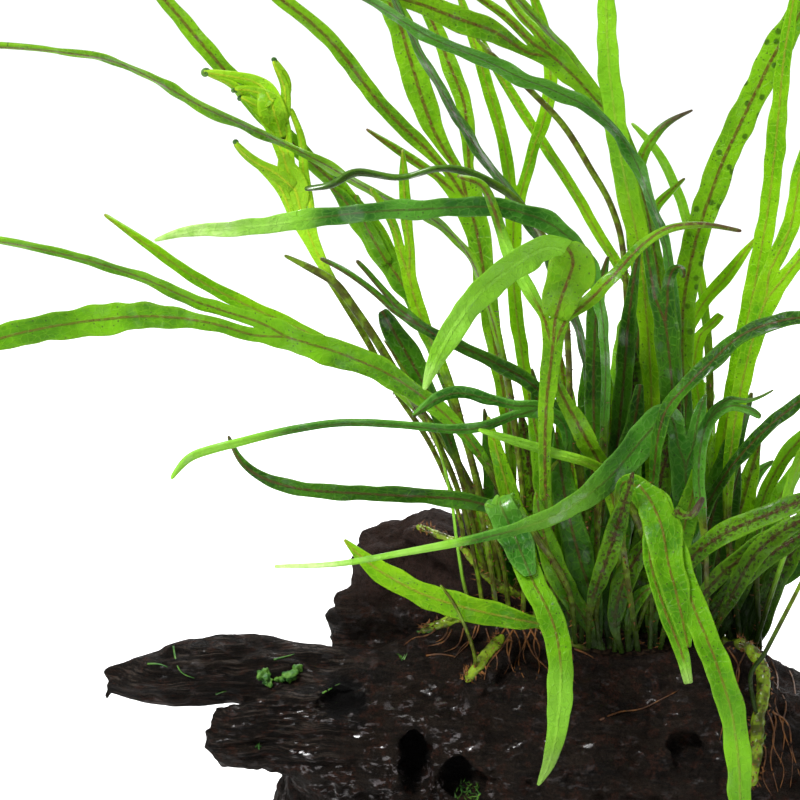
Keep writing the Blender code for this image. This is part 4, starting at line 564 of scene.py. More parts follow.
        (155, 55, -19, 2.2, 0), (154.5, 70, -22, 3.6, 10), (150, 84, -25, 4.8, 15),
        (144.5, 94, -27, 4.8, 15), (140.3, 102, -29, 3.4, 15), (137.3, 110, -30, 0.5, 15),
    ]),
    "frond_central_brown": Frond("rhizome_front", 0.585, [
        (147.5, 48, -18, 2.4, 0), (151, 58, -23, 5, 10), (154.5, 69, -28, 4.8, 10),
        (157, 77.5, -32, 2.6, 10), (158.3, 82, -34, 0.6, 10),
    ]),
    "frond_back_left": Frond("rhizome_back", 0.23, [
        (136, 60, 30, 2.2, 0), (141, 78, 46, 4.6, 20), (146, 90, 62, 6.4, 30),
        (149, 92, 78, 6.4, 30), (150, 84, 92, 4.4, 30), (150, 74, 100, 0.6, 30),
    ]),
    "frond_back_middle": Frond("rhizome_back", 0.35, [
        (148, 62, 28, 2.2, 0), (152, 86, 42, 4.4, -20), (155, 106, 56, 6.2, -25),
        (157, 118, 72, 6.6, -25), (158, 119, 88, 5.2, -25), (159, 112, 100, 0.6, -25),
    ]),
    "frond_back_right": Frond("rhizome_back", 0.5, [
        (160, 62, 28, 2.2, 0), (167, 84, 46, 4.6, 30), (172, 98, 62, 6.6, 35),
        (175, 102, 78, 6.6, 35), (177, 95, 92, 4.6, 35), (178, 84, 102, 0.6, 35),
    ]),
}

# Wood: across, up, depth and radius along each limb
WOOD_LIMBS = [
    [
        (58.5, 15.5, -20, 6.8), (66, 16.5, -18, 9.6), (77, 18, -14, 13), (92, 16, -8, 18),
        (110, 14, -6, 23), (132, 11, -8, 25.5), (156, 10, -8, 26), (180, 8, -8, 25.5),
        (200, 4, -6, 22.5), (214, 2, -3, 18.5),
    ],
    [
        (98, 14, 12, 20), (120, 18.5, 14, 23), (145, 20, 15, 23), (170, 19, 15, 23),
        (190, 15, 14, 21), (206, 9, 11, 15.5),
    ],
    [(104, 31, -3, 10), (118, 35, -3, 10.5), (131, 35, -3, 9.5)],
    [(110, 57, 12, 8), (117, 50, 9, 8), (125, 43, 6, 7.5)],
    [(158, 21.5, -9, 15), (175, 22, -11, 14), (189, 19.5, -12, 13)],
    [(84, 4, 4, 14), (80.5, -7, 6, 15), (77, -22, 8, 16)],
    [(104, -14, 4, 22), (135, -16, 4, 26), (165, -16, 4, 26), (190, -15, 4, 22)],
    [(120, -13, -24, 11), (106, -21, -36, 9), (96, -29, -46, 6.5)],
    [(176, -15, -22, 11), (190, -24, -34, 9), (201, -31, -42, 6.5)],
    [(150, -2, 26, 12), (158, -1, 40, 10), (170, 1, 52, 7)],
    [
        (26.5, 29.8, -6, 2.4), (31, 30, -6, 4.6), (40, 31.2, -6, 7.0), (53, 32.2, -5, 8.5),
        (67, 31.5, -4, 8.7), (80, 30, -3, 9.5), (94, 26, -2, 13),
    ],
    [(88, 36, 16, 9), (89, 45, 16, 7.6)],
    [(88, 50.5, 15, 3), (83.5, 51.3, 14, 1.3)],
    [(97, 40, 18, 10), (96.8, 54, 19, 9.4), (96.5, 61.3, 19, 9.5)],
    [(106, 38, 18, 13), (107, 52, 19, 12), (108.5, 63, 20, 12)],
    [(116, 38, 20, 11), (116, 54, 22, 9.5), (115.5, 64, 22, 8.4)],
    [(210, 0, 0, 18.5), (224, 2, 3, 14), (239, 6, 5, 10.5), (251, 11, 7, 6.5)],
    [(228, 0, 2, 9.5), (238, -6, -6, 7), (246, -12, -13, 4.5)],
]

# A spur and a knob that only the finished wood has, in the limbs' form
WOOD_TWIGS = [
    [(27.4, 30.9, -5, 3.3), (32, 32.4, -5, 3.6), (37, 33.6, -5, 3.7)],
    [(42.2, 38, -5, 2.0), (45, 38, -5, 2.4), (50, 37.4, -4, 2.6)],
    [
        (27.8, 28.2, -5, 3.3), (33, 27.6, -5, 3.7), (40, 27.2, -5, 3.8), (48, 26.6, -5, 3.6),
        (54, 26, -5, 3.2),
    ],
    [(27.6, 27, -3, 2.2), (25.9, 25.4, -2, 1.2)],
    [(54.2, 22.6, -18, 1.5), (56, 19, -18, 2.2), (55, 14.5, -18, 2.4), (53.6, 11.6, -18, 1.5)],
    [(91, 66.6, 20, 2.6), (96, 68, 20, 2.8), (101, 69.6, 20, 2.2)],
    [(102.6, 71.6, 20, 1.8), (108, 73.2, 20, 2.2)],
    [(100.5, 12.5, -38, 2.6), (101.5, 9.4, -40, 3.0), (101, 7, -39, 2.4)],
]

# Hollows: across, up, depth, then half width, half height and half depth
WOOD_HOLLOWS = [
    (85.5, 22.5, -28, 6.5, 4.2, 8), (103.5, 8, -30, 4.2, 9, 9), (115, 3.5, -33, 5, 5, 8),
    (156.5, 33, -27, 9, 4, 9), (72, 12, -2, 5, 4, 6), (138, 20, -36, 8, 3, 6),
    (172, 12, -37, 5, 7, 7), (150, 14, 40, 12, 6, 8), (185, 20, 36, 6, 9, 8),
    (118, 20, 38, 7, 7, 8), (108, 66, 33, 7, 5, 7),
]

# Small fronds that hang or peep out between the others, in the same form
SMALL_FRONDS = {
    "small_hanging_leaf": Frond("rhizome_back", 0.98, [
        (194, 55, 6, 1.6, 0), (200, 72, 0, 1.8, 0), (205, 84, -4, 2, 0), (204.5, 90, -7, 2.4, 0),
        (201, 87.5, -9, 2.8, 20), (198, 80, -11, 3.2, 30), (196.3, 73, -12, 3, 20),
        (196.6, 67, -12.5, 2, 10), (197.6, 63, -13, 0.6, 10),
    ]),
    "small_petiole_right": Frond("rhizome_hanging", 0.62, [
        (187.5, 31, -26, 1.5, 0), (190.5, 35.5, -27, 1.4, 0), (195, 44, -27, 1.4, 0),
        (200, 53.7, -26, 1.3, 0), (206, 66, -25, 1.3, 0), (211, 78, -24, 0.6, 0),
    ]),
    "small_light_blade": Frond("rhizome_front", 0.72, [
        (163, 56, -18, 1.8, 0), (160, 68, -21, 2.2, 10), (155, 78, -24, 2.6, 20),
        (149, 83.5, -26, 2.8, 25), (138, 87, -28, 2.8, 25), (128, 90, -29, 2.4, 20),
        (119.5, 92.6, -30, 0.6, 20),
    ]),
    "small_dark_upright": Frond("rhizome_back", 0.45, [
        (153, 62, 12, 2, 0), (153.5, 80, 8, 3.6, 0), (155.5, 100, 5, 4.6, 10),
        (157, 118, 4, 4.2, 15), (158.5, 130, 4, 2.6, 20), (160, 138, 4, 0.5, 20),
    ]),
    "small_hooked_petiole": Frond("rhizome_front", 0.5, [
        (137, 62, -19, 1.3, 0), (135, 70, -22, 1.3, 0), (135.3, 77, -24, 1.4, 0),
        (137.2, 82, -25, 1.6, 0), (140, 85.5, -25, 0.6, 0),
    ]),
    "small_brown_middle": Frond("rhizome_front", 0.63, [
        (149, 48, -18, 2, 0), (150.5, 58, -22, 3.4, 10), (153.5, 68, -26, 4, 15),
        (156, 75, -29, 2.8, 20), (157.5, 79, -31, 0.6, 20),
    ]),
    "small_pale_stalk": Frond("rhizome_front", 0.04, [
        (116.5, 48, -11, 1.5, 0), (115.7, 55, -12, 1.3, 0), (114.3, 64, -12, 1.2, 0),
        (113, 74, -12, 1.2, 0), (110, 87, -11, 1.2, 0), (103, 104, -9, 1.1, 0),
        (96, 115, -8, 0.5, 0),
    ]),
    "small_young_shoot": Frond("rhizome_low", 0.25, [
        (118.5, 37, -24, 1.3, 0), (116, 44, -26, 1.2, 0), (113, 50, -27, 1.2, 0),
        (110, 53.8, -27, 0.7, 0),
    ]),
    "small_front_left": Frond("rhizome_front", 0.60, [
        (147.5, 43, -16, 3, 0), (143, 50, -20, 5.5, -10), (138.5, 58, -23, 6.5, -15),
        (136, 66, -25, 5.5, -15), (134.5, 73, -26, 3, -10), (134, 77, -26, 0.6, -10),
    ]),
    "small_front_dark": Frond("rhizome_front", 0.62, [
        (149, 43, -15, 3.4, 0), (147.5, 52, -18, 6.5, 5), (144.5, 62, -20, 7.5, 5),
        (142, 72, -21, 7, 5), (140, 84, -21, 5, 0), (139, 92, -21, 1, 0),
    ]),
    "small_front_brown": Frond("rhizome_front", 0.70, [
        (153.7, 43, -17, 2.8, 0), (154.3, 49, -20, 5, 10), (157, 57, -24, 6, 15),
        (161, 63, -27, 4.4, 20), (163.5, 66.5, -28, 0.6, 20),
    ]),
    "small_front_low": Frond("rhizome_front", 0.72, [
        (157, 43, -17, 2.4, 0), (158, 48, -19, 3.8, 10), (161, 52, -21, 3.4, 15),
        (164.5, 54, -22, 0.6, 15),
    ]),
    "small_middle_dark": Frond("rhizome_front", 0.66, [
        (152.5, 45, -12, 4, 0), (153, 58, -13, 7.5, 0), (155, 72, -13, 8, 0), (158, 90, -12, 6, 0),
        (160, 104, -10, 2, 0),
    ]),
    "small_middle_brown": Frond("rhizome_front", 0.75, [
        (157, 46, -11, 4, 0), (160, 60, -12, 7.5, -10), (164, 76, -12, 7, -10),
        (168, 92, -10, 4, 0), (170, 100, -9, 1, 0),
    ]),
    "small_middle_right": Frond("rhizome_front", 0.81, [
        (163, 46, -12, 3.6, 0), (168, 58, -14, 6.5, 0), (172, 72, -14, 6, 10),
        (175, 84, -13, 3, 10), (176.5, 90, -12, 0.8, 10),
    ]),
    "small_middle_left": Frond("rhizome_front", 0.54, [
        (142, 47, -12, 3.4, 0), (139.5, 60, -14, 6.5, 0), (137, 76, -15, 6.5, 0),
        (134, 92, -14, 4, 0), (132.5, 100, -13, 1, 0),
    ]),
    "small_left_light": Frond("rhizome_front", 0.44, [
        (136, 48, -12, 3, 0), (132, 60, -13, 5.5, 0), (128, 74, -14, 5.5, 0),
        (124, 88, -13, 3.5, 0), (122, 96, -12, 0.8, 0),
    ]),
    "small_pale_tip": Frond("rhizome_front", 0.64, [
        (148.5, 45, -14, 2, 0), (148.5, 52, -16, 3, 0), (147.5, 58, -17, 2.6, 0),
        (145.5, 65, -17, 0.5, 0),
    ]),
    "small_right_spread": Frond("rhizome_front", 0.96, [
        (177, 45, -14, 3, 0), (184, 54, -17, 5, 10), (192, 61, -18, 5.5, 10), (200, 66, -18, 4, 10),
        (207, 69, -18, 0.8, 10),
    ]),
    "small_right_spread_low": Frond("rhizome_front", 0.90, [
        (173.5, 48, -14, 3, 0), (180, 56, -16, 4.5, 0), (190, 64, -17, 5, 0), (202, 70, -17, 4, 0),
        (212, 73, -17, 0.8, 0),
    ]),
    "small_right_behind": Frond("rhizome_back", 0.85, [
        (184, 50, 9, 4, 0), (188, 62, 8, 6, 0), (194, 74, 8, 5.5, 0), (200, 84, 8, 3, 0),
        (204, 90, 8, 0.8, 0),
    ]),
    "small_back_dark": Frond("rhizome_back", 0.589, [
        (160.5, 46, 11, 4, 0), (161, 56, 10, 6.5, 0), (163, 70, 9, 6, 0), (166, 84, 9, 3, 0),
        (167, 90, 9, 0.8, 0),
    ]),
    "small_back_left": Frond("rhizome_back", 0.205, [
        (133, 47, 12, 4, 0), (133, 56, 11, 6, 0), (131, 68, 10, 5, 0), (129, 78, 10, 0.8, 0),
    ]),
    "small_right_dark": Frond("rhizome_back", 0.75, [
        (175, 50, 9, 4, 0), (177, 66, 8, 6.5, 0), (181, 82, 8, 6, 0), (186, 96, 8, 3, 0),
        (188, 102, 8, 0.8, 0),
    ]),
}

# A kind of leaf: its colours in linear light, then the strength of its veins, specks and spore
# heaps, its rib's half width, and the strength of its wet shine, of the light that passes
# through it and of its round dark spots
LeafKind = namedtuple(
    "LeafKind",
    "name shaded lit vein rib glow veins specks heaps rib_wide wet thin spots",
    defaults=(0,),
)
GLOW = (0.36, 0.60, 0.004)
LEAF_KINDS = [
    LeafKind(
        "bright", (0.065, 0.24, 0.002), (0.23, 0.49, 0.005), (0.32, 0.56, 0.02), (0.19, 0.20, 0.012),
        GLOW, 0.38, 0.06, 0.0, 0.42, 0.3, 0.5,
    ),
    LeafKind(
        "mid", (0.028, 0.135, 0.002), (0.13, 0.35, 0.005), (0.19, 0.39, 0.015), (0.10, 0.075, 0.008),
        GLOW, 0.34, 0.08, 0.0, 0.45, 0.4, 0.38,
    ),
    LeafKind(
        "young", (0.21, 0.46, 0.010), (0.35, 0.65, 0.03), (0.42, 0.62, 0.02), (0.34, 0.42, 0.015),
        (0.42, 0.66, 0.01), 0.4, 0.03, 0.0, 0.4, 0.2, 0.5,
    ),
    LeafKind(
        "dark", (0.005, 0.036, 0.001), (0.032, 0.13, 0.002), (0.08, 0.21, 0.01), (0.05, 0.032, 0.005),
        (0.16, 0.38, 0.005), 0.35, 0.14, 0.0, 0.5, 0.6, 0.22,
    ),
    LeafKind(
        "bluish", (0.012, 0.09, 0.004), (0.06, 0.22, 0.014), (0.12, 0.30, 0.04), (0.05, 0.08, 0.01),
        (0.18, 0.44, 0.01), 0.35, 0.06, 0.0, 0.42, 0.8, 0.25,
    ),
    LeafKind(
        "spotted", (0.042, 0.165, 0.003), (0.155, 0.37, 0.005), (0.21, 0.40, 0.015), (0.085, 0.03, 0.006),
        GLOW, 0.5, 0.12, 0.2, 0.6, 0.35, 0.4, 1.0,
    ),
    LeafKind(
        "brown", (0.014, 0.068, 0.001), (0.068, 0.18, 0.002), (0.12, 0.26, 0.01), (0.035, 0.014, 0.003),
        GLOW, 0.3, 0.12, 0.85, 0.65, 0.2, 0.26,
    ),
]

# How each frond looks; the others are "mid"
FROND_LOOKS = {
    "bright": "left_light_tip over_wood slender_pair upright_forked arched_behind "
    "light_behind right_upright right_forked blunt_lobes upright_broad small_light_blade "
    "small_hanging_leaf small_petiole_right small_pale_stalk small_left_light small_pale_tip",
    "young": "young_curled small_young_shoot",
    "dark": "twisted_thin left_narrow ragged wet_narrow low_left wet_trunk dark_broad inner_left "
    "inner_right right_arching edge_on_dark arching_wet small_dark_upright small_front_dark "
    "small_middle_dark small_right_dark small_back_dark small_back_left",
    "bluish": "left_pale_tip twisted_fork folded_front long_blue looped_thin bluish_behind",
    "spotted": "left_high_thin left_high_broad tall_trident toothed dotted_thin big_right "
    "trident_arching dotted top_forked",
    "brown": "brown_back_upper brown_back_lower central_brown small_brown_middle "
    "small_front_brown small_middle_brown small_right_spread small_right_spread_low",
}

# Where a frond is pale or brown: across, up and reach in the front view, then how pale, how brown
TINTS = {
    "frond_left_pale_tip": [(48, 143.5, 22, 0.8, 0), (66, 146, 14, 0.6, 0)],
    "frond_twisted_fork": [(50, 86, 22, 0.55, 0)],
    "frond_folded_front": [(72, 59, 22, 0.95, 0), (104, 63, 14, 0.6, 0), (140, 72, 16, 0.25, 0)],
    "frond_hanging_front": [
        (136, 6, 12, 0.6, 0.45), (139, 22, 14, 0.4, 0.12), (126, 74, 6, 0.5, 0.1),
    ],
    "frond_hanging_right_forked": [(172, 30, 5, 0.7, 0.4), (183, 8, 26, 0.2, 0)],
    "frond_trident_arching": [
        (137, 137.5, 9, 0.5, 0), (126, 132, 12, 0.5, 0), (114, 120, 14, 0.55, 0),
        (106, 104, 10, 0.7, 0), (184, 142, 16, 0, 0.6),
    ],
    "frond_brown_tip": [(173, 172, 10, 0, 0.9)],
    "frond_upright_broad": [(152, 190, 60, 0.25, 0)],
    "frond_light_behind": [(160, 160, 40, 0.3, 0)],
    "small_light_blade": [(130, 90, 20, 0.4, 0)],
    "small_hanging_leaf": [(197, 70, 20, 0.35, 0)],
    "small_pale_stalk": [(112, 70, 20, 0.4, 0)],
    "small_pale_tip": [(146, 62, 8, 0.8, 0.1)],
    "torn_top": [(125, 75, 6, 0.12, 0.05)],
    **{f"torn_tooth_{number}": [(125, 75, 8, 0.2, 0)] for number in range(4)},
    "dead_tip": [(175, 73.4, 3.6, 0, 0.95)],
}

# Roots that creep over the wood: across and up along each in the front view
ROOTS = [
    [(110, 43.5), (107, 41), (103.5, 40.5), (101, 38.5)], [(113, 42.5), (111, 39.5), (107, 38.5)],
    [(116, 43), (114.5, 38.5), (111, 37)], [(119, 43.5), (117.5, 39.5), (113.5, 35.5)],
    [(121.5, 43), (123, 38.5), (124.5, 35), (124, 32.5)], [(126.5, 43), (124, 39), (123, 35)],
    [(127.5, 44), (130, 39), (129.5, 34), (131, 30.5)],
    [(129, 44), (126.5, 38.5), (127.5, 34.5), (126, 31.5)], [(132, 43.5), (135, 38.5), (134.5, 35)],
    [(133, 43), (130, 37), (128.5, 34), (129, 31)],
    [(136, 42.5), (138.5, 39), (137, 35), (138.5, 31)],
    [(141, 39), (143.5, 36), (142, 32), (144, 29)],
    [(182, 38), (185, 33), (184, 27), (186, 21), (185, 14)], [(186.5, 37), (184, 31), (186, 25)],
    [(192, 36), (194.5, 30), (193.5, 24), (196, 17), (195, 9)],
    [(193, 30), (196.5, 24), (195.5, 18), (198, 11), (197.5, 3)],
    [(191, 24), (193.5, 17), (192.5, 10), (194.5, 2)],
    [(188, 18), (185.5, 13), (186.5, 7), (184.5, 1)], [(194, 36), (198, 31), (199, 24)],
    [(117, 46), (113, 44), (108, 44.5), (105, 43)], [(120, 45), (119, 41), (116, 39), (114, 36)],
    [(112, 42), (110.5, 40), (109, 39.5)], [(106.5, 36), (110, 36.5), (114, 35.8)],
    [(126, 44), (128, 40), (127, 36), (128.5, 32)],
    [(130, 44.5), (131.5, 40), (130.5, 36.5), (131.5, 34)],
    [(134, 43), (133.5, 38), (135, 33.5), (134, 30)],
    [(131, 42), (133.5, 36), (137, 32.5), (138.5, 28.5), (137, 24.5)],
    [(128, 42), (125, 37.5), (122, 34), (121, 30)],
    [(138, 41.5), (140, 37), (139.5, 33), (141, 30)], [(124, 41), (121.5, 38), (121, 34)],
    [(150, 20), (155, 22), (160, 22.5), (165, 25), (170, 27.5)],
    [(143.5, 37.7), (146.5, 36.6), (148.6, 35.3)], [(180, 34), (179, 28), (181, 22), (180, 15)],
    [(186, 25), (184, 20), (185, 14), (183, 8)],
    [(191.5, 25), (194, 20), (193, 14), (196, 8), (195, 3)],
    [(193, 22), (197, 19), (198, 12), (200, 6)], [(189, 18), (191.5, 12), (190.5, 6), (193, 1)],
]

# The blades that fill the crown: share along the rhizome, then across, up and depth of the tip,
# width and turn
INNER_RHIZOME = "rhizome_back"
INNER_BLADES = [
    (0.06, 116, 82, 12, 5, 0), (0.12, 121, 98, 12, 6, 10), (0.20, 124, 90, 14, 6, 10),
    (0.26, 130, 98, 12, 7, 0), (0.32, 133, 108, 12, 7, 10), (0.38, 140, 112, 14, 7.5, -10),
    (0.44, 147, 116, 14, 8, 10), (0.50, 152, 108, 16, 8, 0), (0.56, 158, 118, 16, 8, -10),
    (0.62, 165, 112, 18, 8.5, 10), (0.66, 168, 96, 14, 8, 0), (0.70, 172, 106, 18, 8, 0),
    (0.74, 176, 90, 14, 8, 10), (0.78, 182, 98, 20, 8, 10), (0.82, 185, 84, 14, 7.5, 0),
    (0.86, 190, 90, 20, 7, -10), (0.90, 195, 78, 14, 7, 0), (0.94, 199, 82, 22, 6.5, 10),
    (0.98, 205, 72, 16, 6, 10),
]
INNER_LOOKS = ("dark", "mid", "brown", "dark", "spotted")  # in turn
INNER_TIP = 0.5  # least width of such a blade
# Shares of the rise, of the drift towards the tip and of the width along such a blade
INNER_SHAPE = [(0.07, 0.02, 0.6), (0.22, 0.1, 0.95), (0.5, 0.32, 1), (0.78, 0.68, 0.8), (1, 1, 0.06)]

# Torn, folded and curled ends: whose leaf each is part of, how it looks, how far in front of the
# leaf it lies, and across, up, width and turn along it
LEAF_ENDS = {
    "torn_top": ("frond_hanging_front", "bluish", 1.0, [
        (124.6, 75.4, 6.0, 0), (125.2, 73.6, 7.6, 0), (126.2, 71, 8.6, 10), (127.8, 67.6, 9, 15),
        (129.4, 64, 8.6, 15), (131, 60, 7, 15), (132.6, 56, 3, 15),
    ]),
    "torn_tooth_0": ("frond_hanging_front", "bluish", 1.1, [
        (123, 72, 3, 0), (122, 73.2, 2.2, 0), (121.3, 74.2, 0.6, 0),
    ]),
    "torn_tooth_1": ("frond_hanging_front", "bluish", 1.1, [
        (124, 73.6, 3, 0), (124.2, 75.2, 2.2, 0), (124.4, 76.4, 0.6, 0),
    ]),
    "torn_tooth_2": ("frond_hanging_front", "bluish", 1.1, [
        (126.4, 73.6, 3, 0), (127.4, 75.4, 2.2, 0), (128.4, 76.6, 0.6, 0),
    ]),
    "torn_tooth_3": ("frond_hanging_front", "bluish", 1.1, [
        (127.4, 72.2, 3, 0), (128.9, 73.2, 2.0, 0), (130, 73.8, 0.6, 0),
    ]),
    "trident_fan": ("frond_trident_arching", "spotted", 0.6, [
        (138.8, 120.5, 6, 0), (140.4, 126, 9.5, 0), (142.4, 131, 11.6, 5), (143.4, 135.4, 10.6, 5),
        (141.4, 138.6, 6, 5),
    ]),
    "body_between_lobes": ("frond_hanging_right_forked", "mid", 0.9, [
        (159.5, 79, 3, 0), (162.6, 75, 7.4, 5), (165.4, 68, 9.4, 5), (166.8, 60, 8.8, 5),
        (168.8, 52.5, 7.6, 5), (170.6, 45, 5.4, 5), (172, 38, 1.8, 5),
    ]),
    "dead_tip": ("frond_hanging_right_forked", "brown", 0.4, [
        (168.5, 72.6, 3, 10), (170.8, 71, 2.6, 20), (172.6, 70.6, 2.6, 30), (173.9, 72.4, 2.2, 40),
        (175, 74.3, 1.5, 50), (176, 75.8, 0.5, 50),
    ]),
    "young_body": ("frond_young_curled", "young", 0.3, [
        (75.4, 146.6, 2.4, 0), (74.4, 150.5, 5.6, 0), (73.2, 154.5, 7.4, 5), (71.6, 158.4, 5, 5),
        (70.8, 162, 2.2, 5),
    ]),
    "young_left_lobe": ("frond_young_curled", "young", 0.5, [
        (73.4, 152.8, 4.2, 0), (69.4, 156.6, 3.6, 10), (64.8, 159, 2.8, 15), (61.2, 161.6, 2.2, 20),
        (58.7, 164.4, 1.3, 30),
    ]),
    "young_top": ("frond_young_curled", "young", 0.6, [
        (70.6, 165, 2.2, 0), (69.8, 168, 4.6, 0), (68.7, 171.5, 7.0, 10), (67.8, 175.2, 6.2, 10),
        (65.4, 178.6, 4.2, 15), (62, 180.3, 3.3, 20), (58.2, 181, 2.6, 20), (53.5, 181.8, 1.7, 20),
        (50.8, 182.1, 0.9, 20),
    ]),
    "young_top_lobe": ("frond_young_curled", "young", 0.9, [
        (70.8, 170.4, 3.4, 0), (71.5, 175.3, 2.8, 10), (71.2, 178.6, 2.3, 20),
        (70.2, 181.2, 1.8, 20), (68.9, 183.4, 1.3, 30), (68.3, 184.9, 0.8, 30),
    ]),
    "young_low_curl": ("frond_young_curled", "young", 1.2, [
        (68.6, 174.6, 4.4, 0), (65.6, 176.5, 3.0, 10), (62, 177.7, 2.2, 15), (58.6, 177.8, 1, 20),
    ]),
    "young_lower_curl": ("frond_young_curled", "young", 1.4, [
        (68.6, 170.6, 4.6, 0), (65.4, 172.8, 3.4, 10), (62.4, 174.8, 2.2, 15), (60.2, 175.8, 1, 20),
    ]),
    "ragged_left_lobe": ("frond_left_high_broad", "mid", 0.8, [
        (104, 124, 3, 0), (100, 130, 5.4, 10), (95, 138, 6.6, 20), (89.5, 146, 5.6, 20),
        (85, 151.5, 3.6, 30), (82.6, 153.6, 1.2, 30),
    ]),
    "ragged_small_lobe": ("frond_left_high_broad", "mid", 1.6, [
        (97, 134, 4, 0), (93, 141, 4.6, 20), (90, 147.4, 3, 30), (89, 151.4, 1, 40),
    ]),
}

# Tightly curled tips: whose, across, up, where the curl starts in degrees, and its size
CURLS = [
    ("frond_young_curled", 51.4, 181.7, 20, 1.25), ("frond_young_curled", 58.4, 177.3, -30, 0.8),
    ("frond_young_curled", 60, 175.3, -30, 0.85), ("frond_young_curled", 68.4, 185, 260, 0.85),
    ("frond_young_curled", 58.8, 164.4, 300, 0.85),
    ("frond_left_high_broad", 84.2, 155.4, 200, 1.5), ("frond_left_high_broad", 89, 150, 160, 1.5),
]

CURL_STEPS, CURL_TURN, CURL_RISE = 22, 0.42, 0.05  # how each step turns and comes forward
CURL_REACH, CURL_CLOSING = 0.8, 28  # by its size: how far out it starts, and steps to lose one size
CURL_THICK, CURL_TAPER = 0.45, 0.01  # by its size: radius at its start, and lost with each step

# A leaf fragment that lies on the branch: across, up and radius of its lumps
FRAGMENT = [(66, 31.4, 1.9), (67, 29.8, 1.6), (70, 30.2, 1.0), (72.6, 31, 1.7), (74, 32.4, 1.5)]
GREEN_THREADS = [
    [(68.5, 35), (71, 35.6), (73.6, 36.4)], [(80.6, 26.6), (83, 28), (85, 29)],
    [(43.4, 38.4), (44.2, 34), (45.6, 31.6), (48.6, 30.6)], [(37, 34), (40, 34), (42, 33.2)],
    [(54, 26.6), (55.4, 27.2), (56.6, 27.4)], [(104.4, 42), (107, 41.6), (109.6, 43)],
]
# Moss: across, up, reach and number of its points
MOSS = [(117, 1.5, 3.2, 70), (100.6, 35.6, 0.7, 8), (64.4, 13.2, 0.7, 6), (190, 14, 1.6, 12)]


def at(across, up, depth):
    """The point, in millimetres, that the front view shows at (across, up) and that lies at depth."""
    seen = AIM + Vector((across - VIEW_SIZE / 2, 0, 0)) + UP * float(up - VIEW_SIZE / 2)
    sight = seen - EYE
    return EYE + sight * (float(depth - EYE.y) / sight.y)


def smooth_curve(points, spacing):
    """Points spaced evenly along a smooth curve through the given ones, other values included."""
    points = np.asarray(points, dtype=float)
    ends = np.vstack(
        [2 * points[0] - points[1], points, 2 * points[-1] - points[-2]]
    )
    dense = []
    for i in range(len(points) - 1):
        a, b, c, d = ends[i : i + 4]
        for t in np.linspace(0, 1, CURVE_STEPS, endpoint=False):
            dense.append(
                b
                + 0.5 * t * (c - a)
                + t * t * (a - 2.5 * b + 2 * c - 0.5 * d)
                + t**3 * (1.5 * (b - c) + 0.5 * (d - a))
            )
    dense = np.array([*dense, points[-1]])
    run = np.concatenate(
        [[0], np.cumsum(np.linalg.norm(np.diff(dense[:, :3], axis=0), axis=1))]
    )
    count = max(2, round(run[-1] / spacing))
    places = np.linspace(0, run[-1], count + 1)
    return np.column_stack([np.interp(places, run, dense[:, k]) for k in range(dense.shape[1])])


def side_of(rows):
    """The direction across the blade at each row: square to the rib, turned by the row's turn."""
    ribs = np.gradient(rows[:, :3], axis=0)
    ribs /= np.linalg.norm(ribs, axis=1)[:, None]
    toward_eye = np.array([0, 0, -1.0])
    flat = np.cross(toward_eye, ribs)
    flat[:, 2] = 0
    for k in range(len(flat)):
        if np.linalg.norm(flat[k]) < EDGE_ON:
            flat[k] = flat[k - 1] if k else (1, 0, 0)
        flat[k] /= np.linalg.norm(flat[k])
    # across, up and depth make a left-handed set, so the cross product is turned about
    flat = -flat
    turns = np.radians(rows[:, 4])[:, None]
    over = np.cross(ribs, flat)
    sides = flat * np.cos(turns) + over * np.sin(turns)
    return sides / np.linalg.norm(sides, axis=1)[:, None]


def leaves_of(blade):
    """How many tips a blade ends in."""
    return sum(leaves_of(lobe) for lobe in blade.lobes) if blade.lobes else 1


def reaches_of(blade, start=None, first=0, parent=None):
    """The reaches of a frond in order, each lobe starting on its share of its stem's last row."""
    points = [list(p) for p in blade.points]
    if start is not None:
        points = [start, *points]
    rows = smooth_curve(points, ROW)
    sides = side_of(rows)
    span = leaves_of(blade)
    if parent is not None:
        # the first rows turn from the stem's own direction to the lobe's
        for k in range(min(LOBE_TURN_ROWS, len(rows))):
            own = k / LOBE_TURN_ROWS
            sides[k] = parent.sides[-1] * (1 - own) + sides[k] * own
            sides[k] /= np.linalg.norm(sides[k])
    reach = Reach(rows, sides, first, span, parent)
    found = [reach]
    end, side, width = rows[-1], sides[-1], rows[-1, 3]
    for lobe in sorted(blade.lobes, key=lambda lobe: (lobe.points[0][:3] - end[:3]) @ side):
        lobe_span = leaves_of(lobe)
        middle = (first - reach.first + lobe_span / 2) / span - 0.5
        begin = [*(end[:3] + side * middle * width), width * lobe_span / span, end[4]]
        found += reaches_of(lobe, begin, first, reach)
        first += lobe_span
    return found


def line_of(reach):
    """The reach and all that it grows from."""
    return [reach] + (line_of(reach.parent) if reach.parent is not None else [])


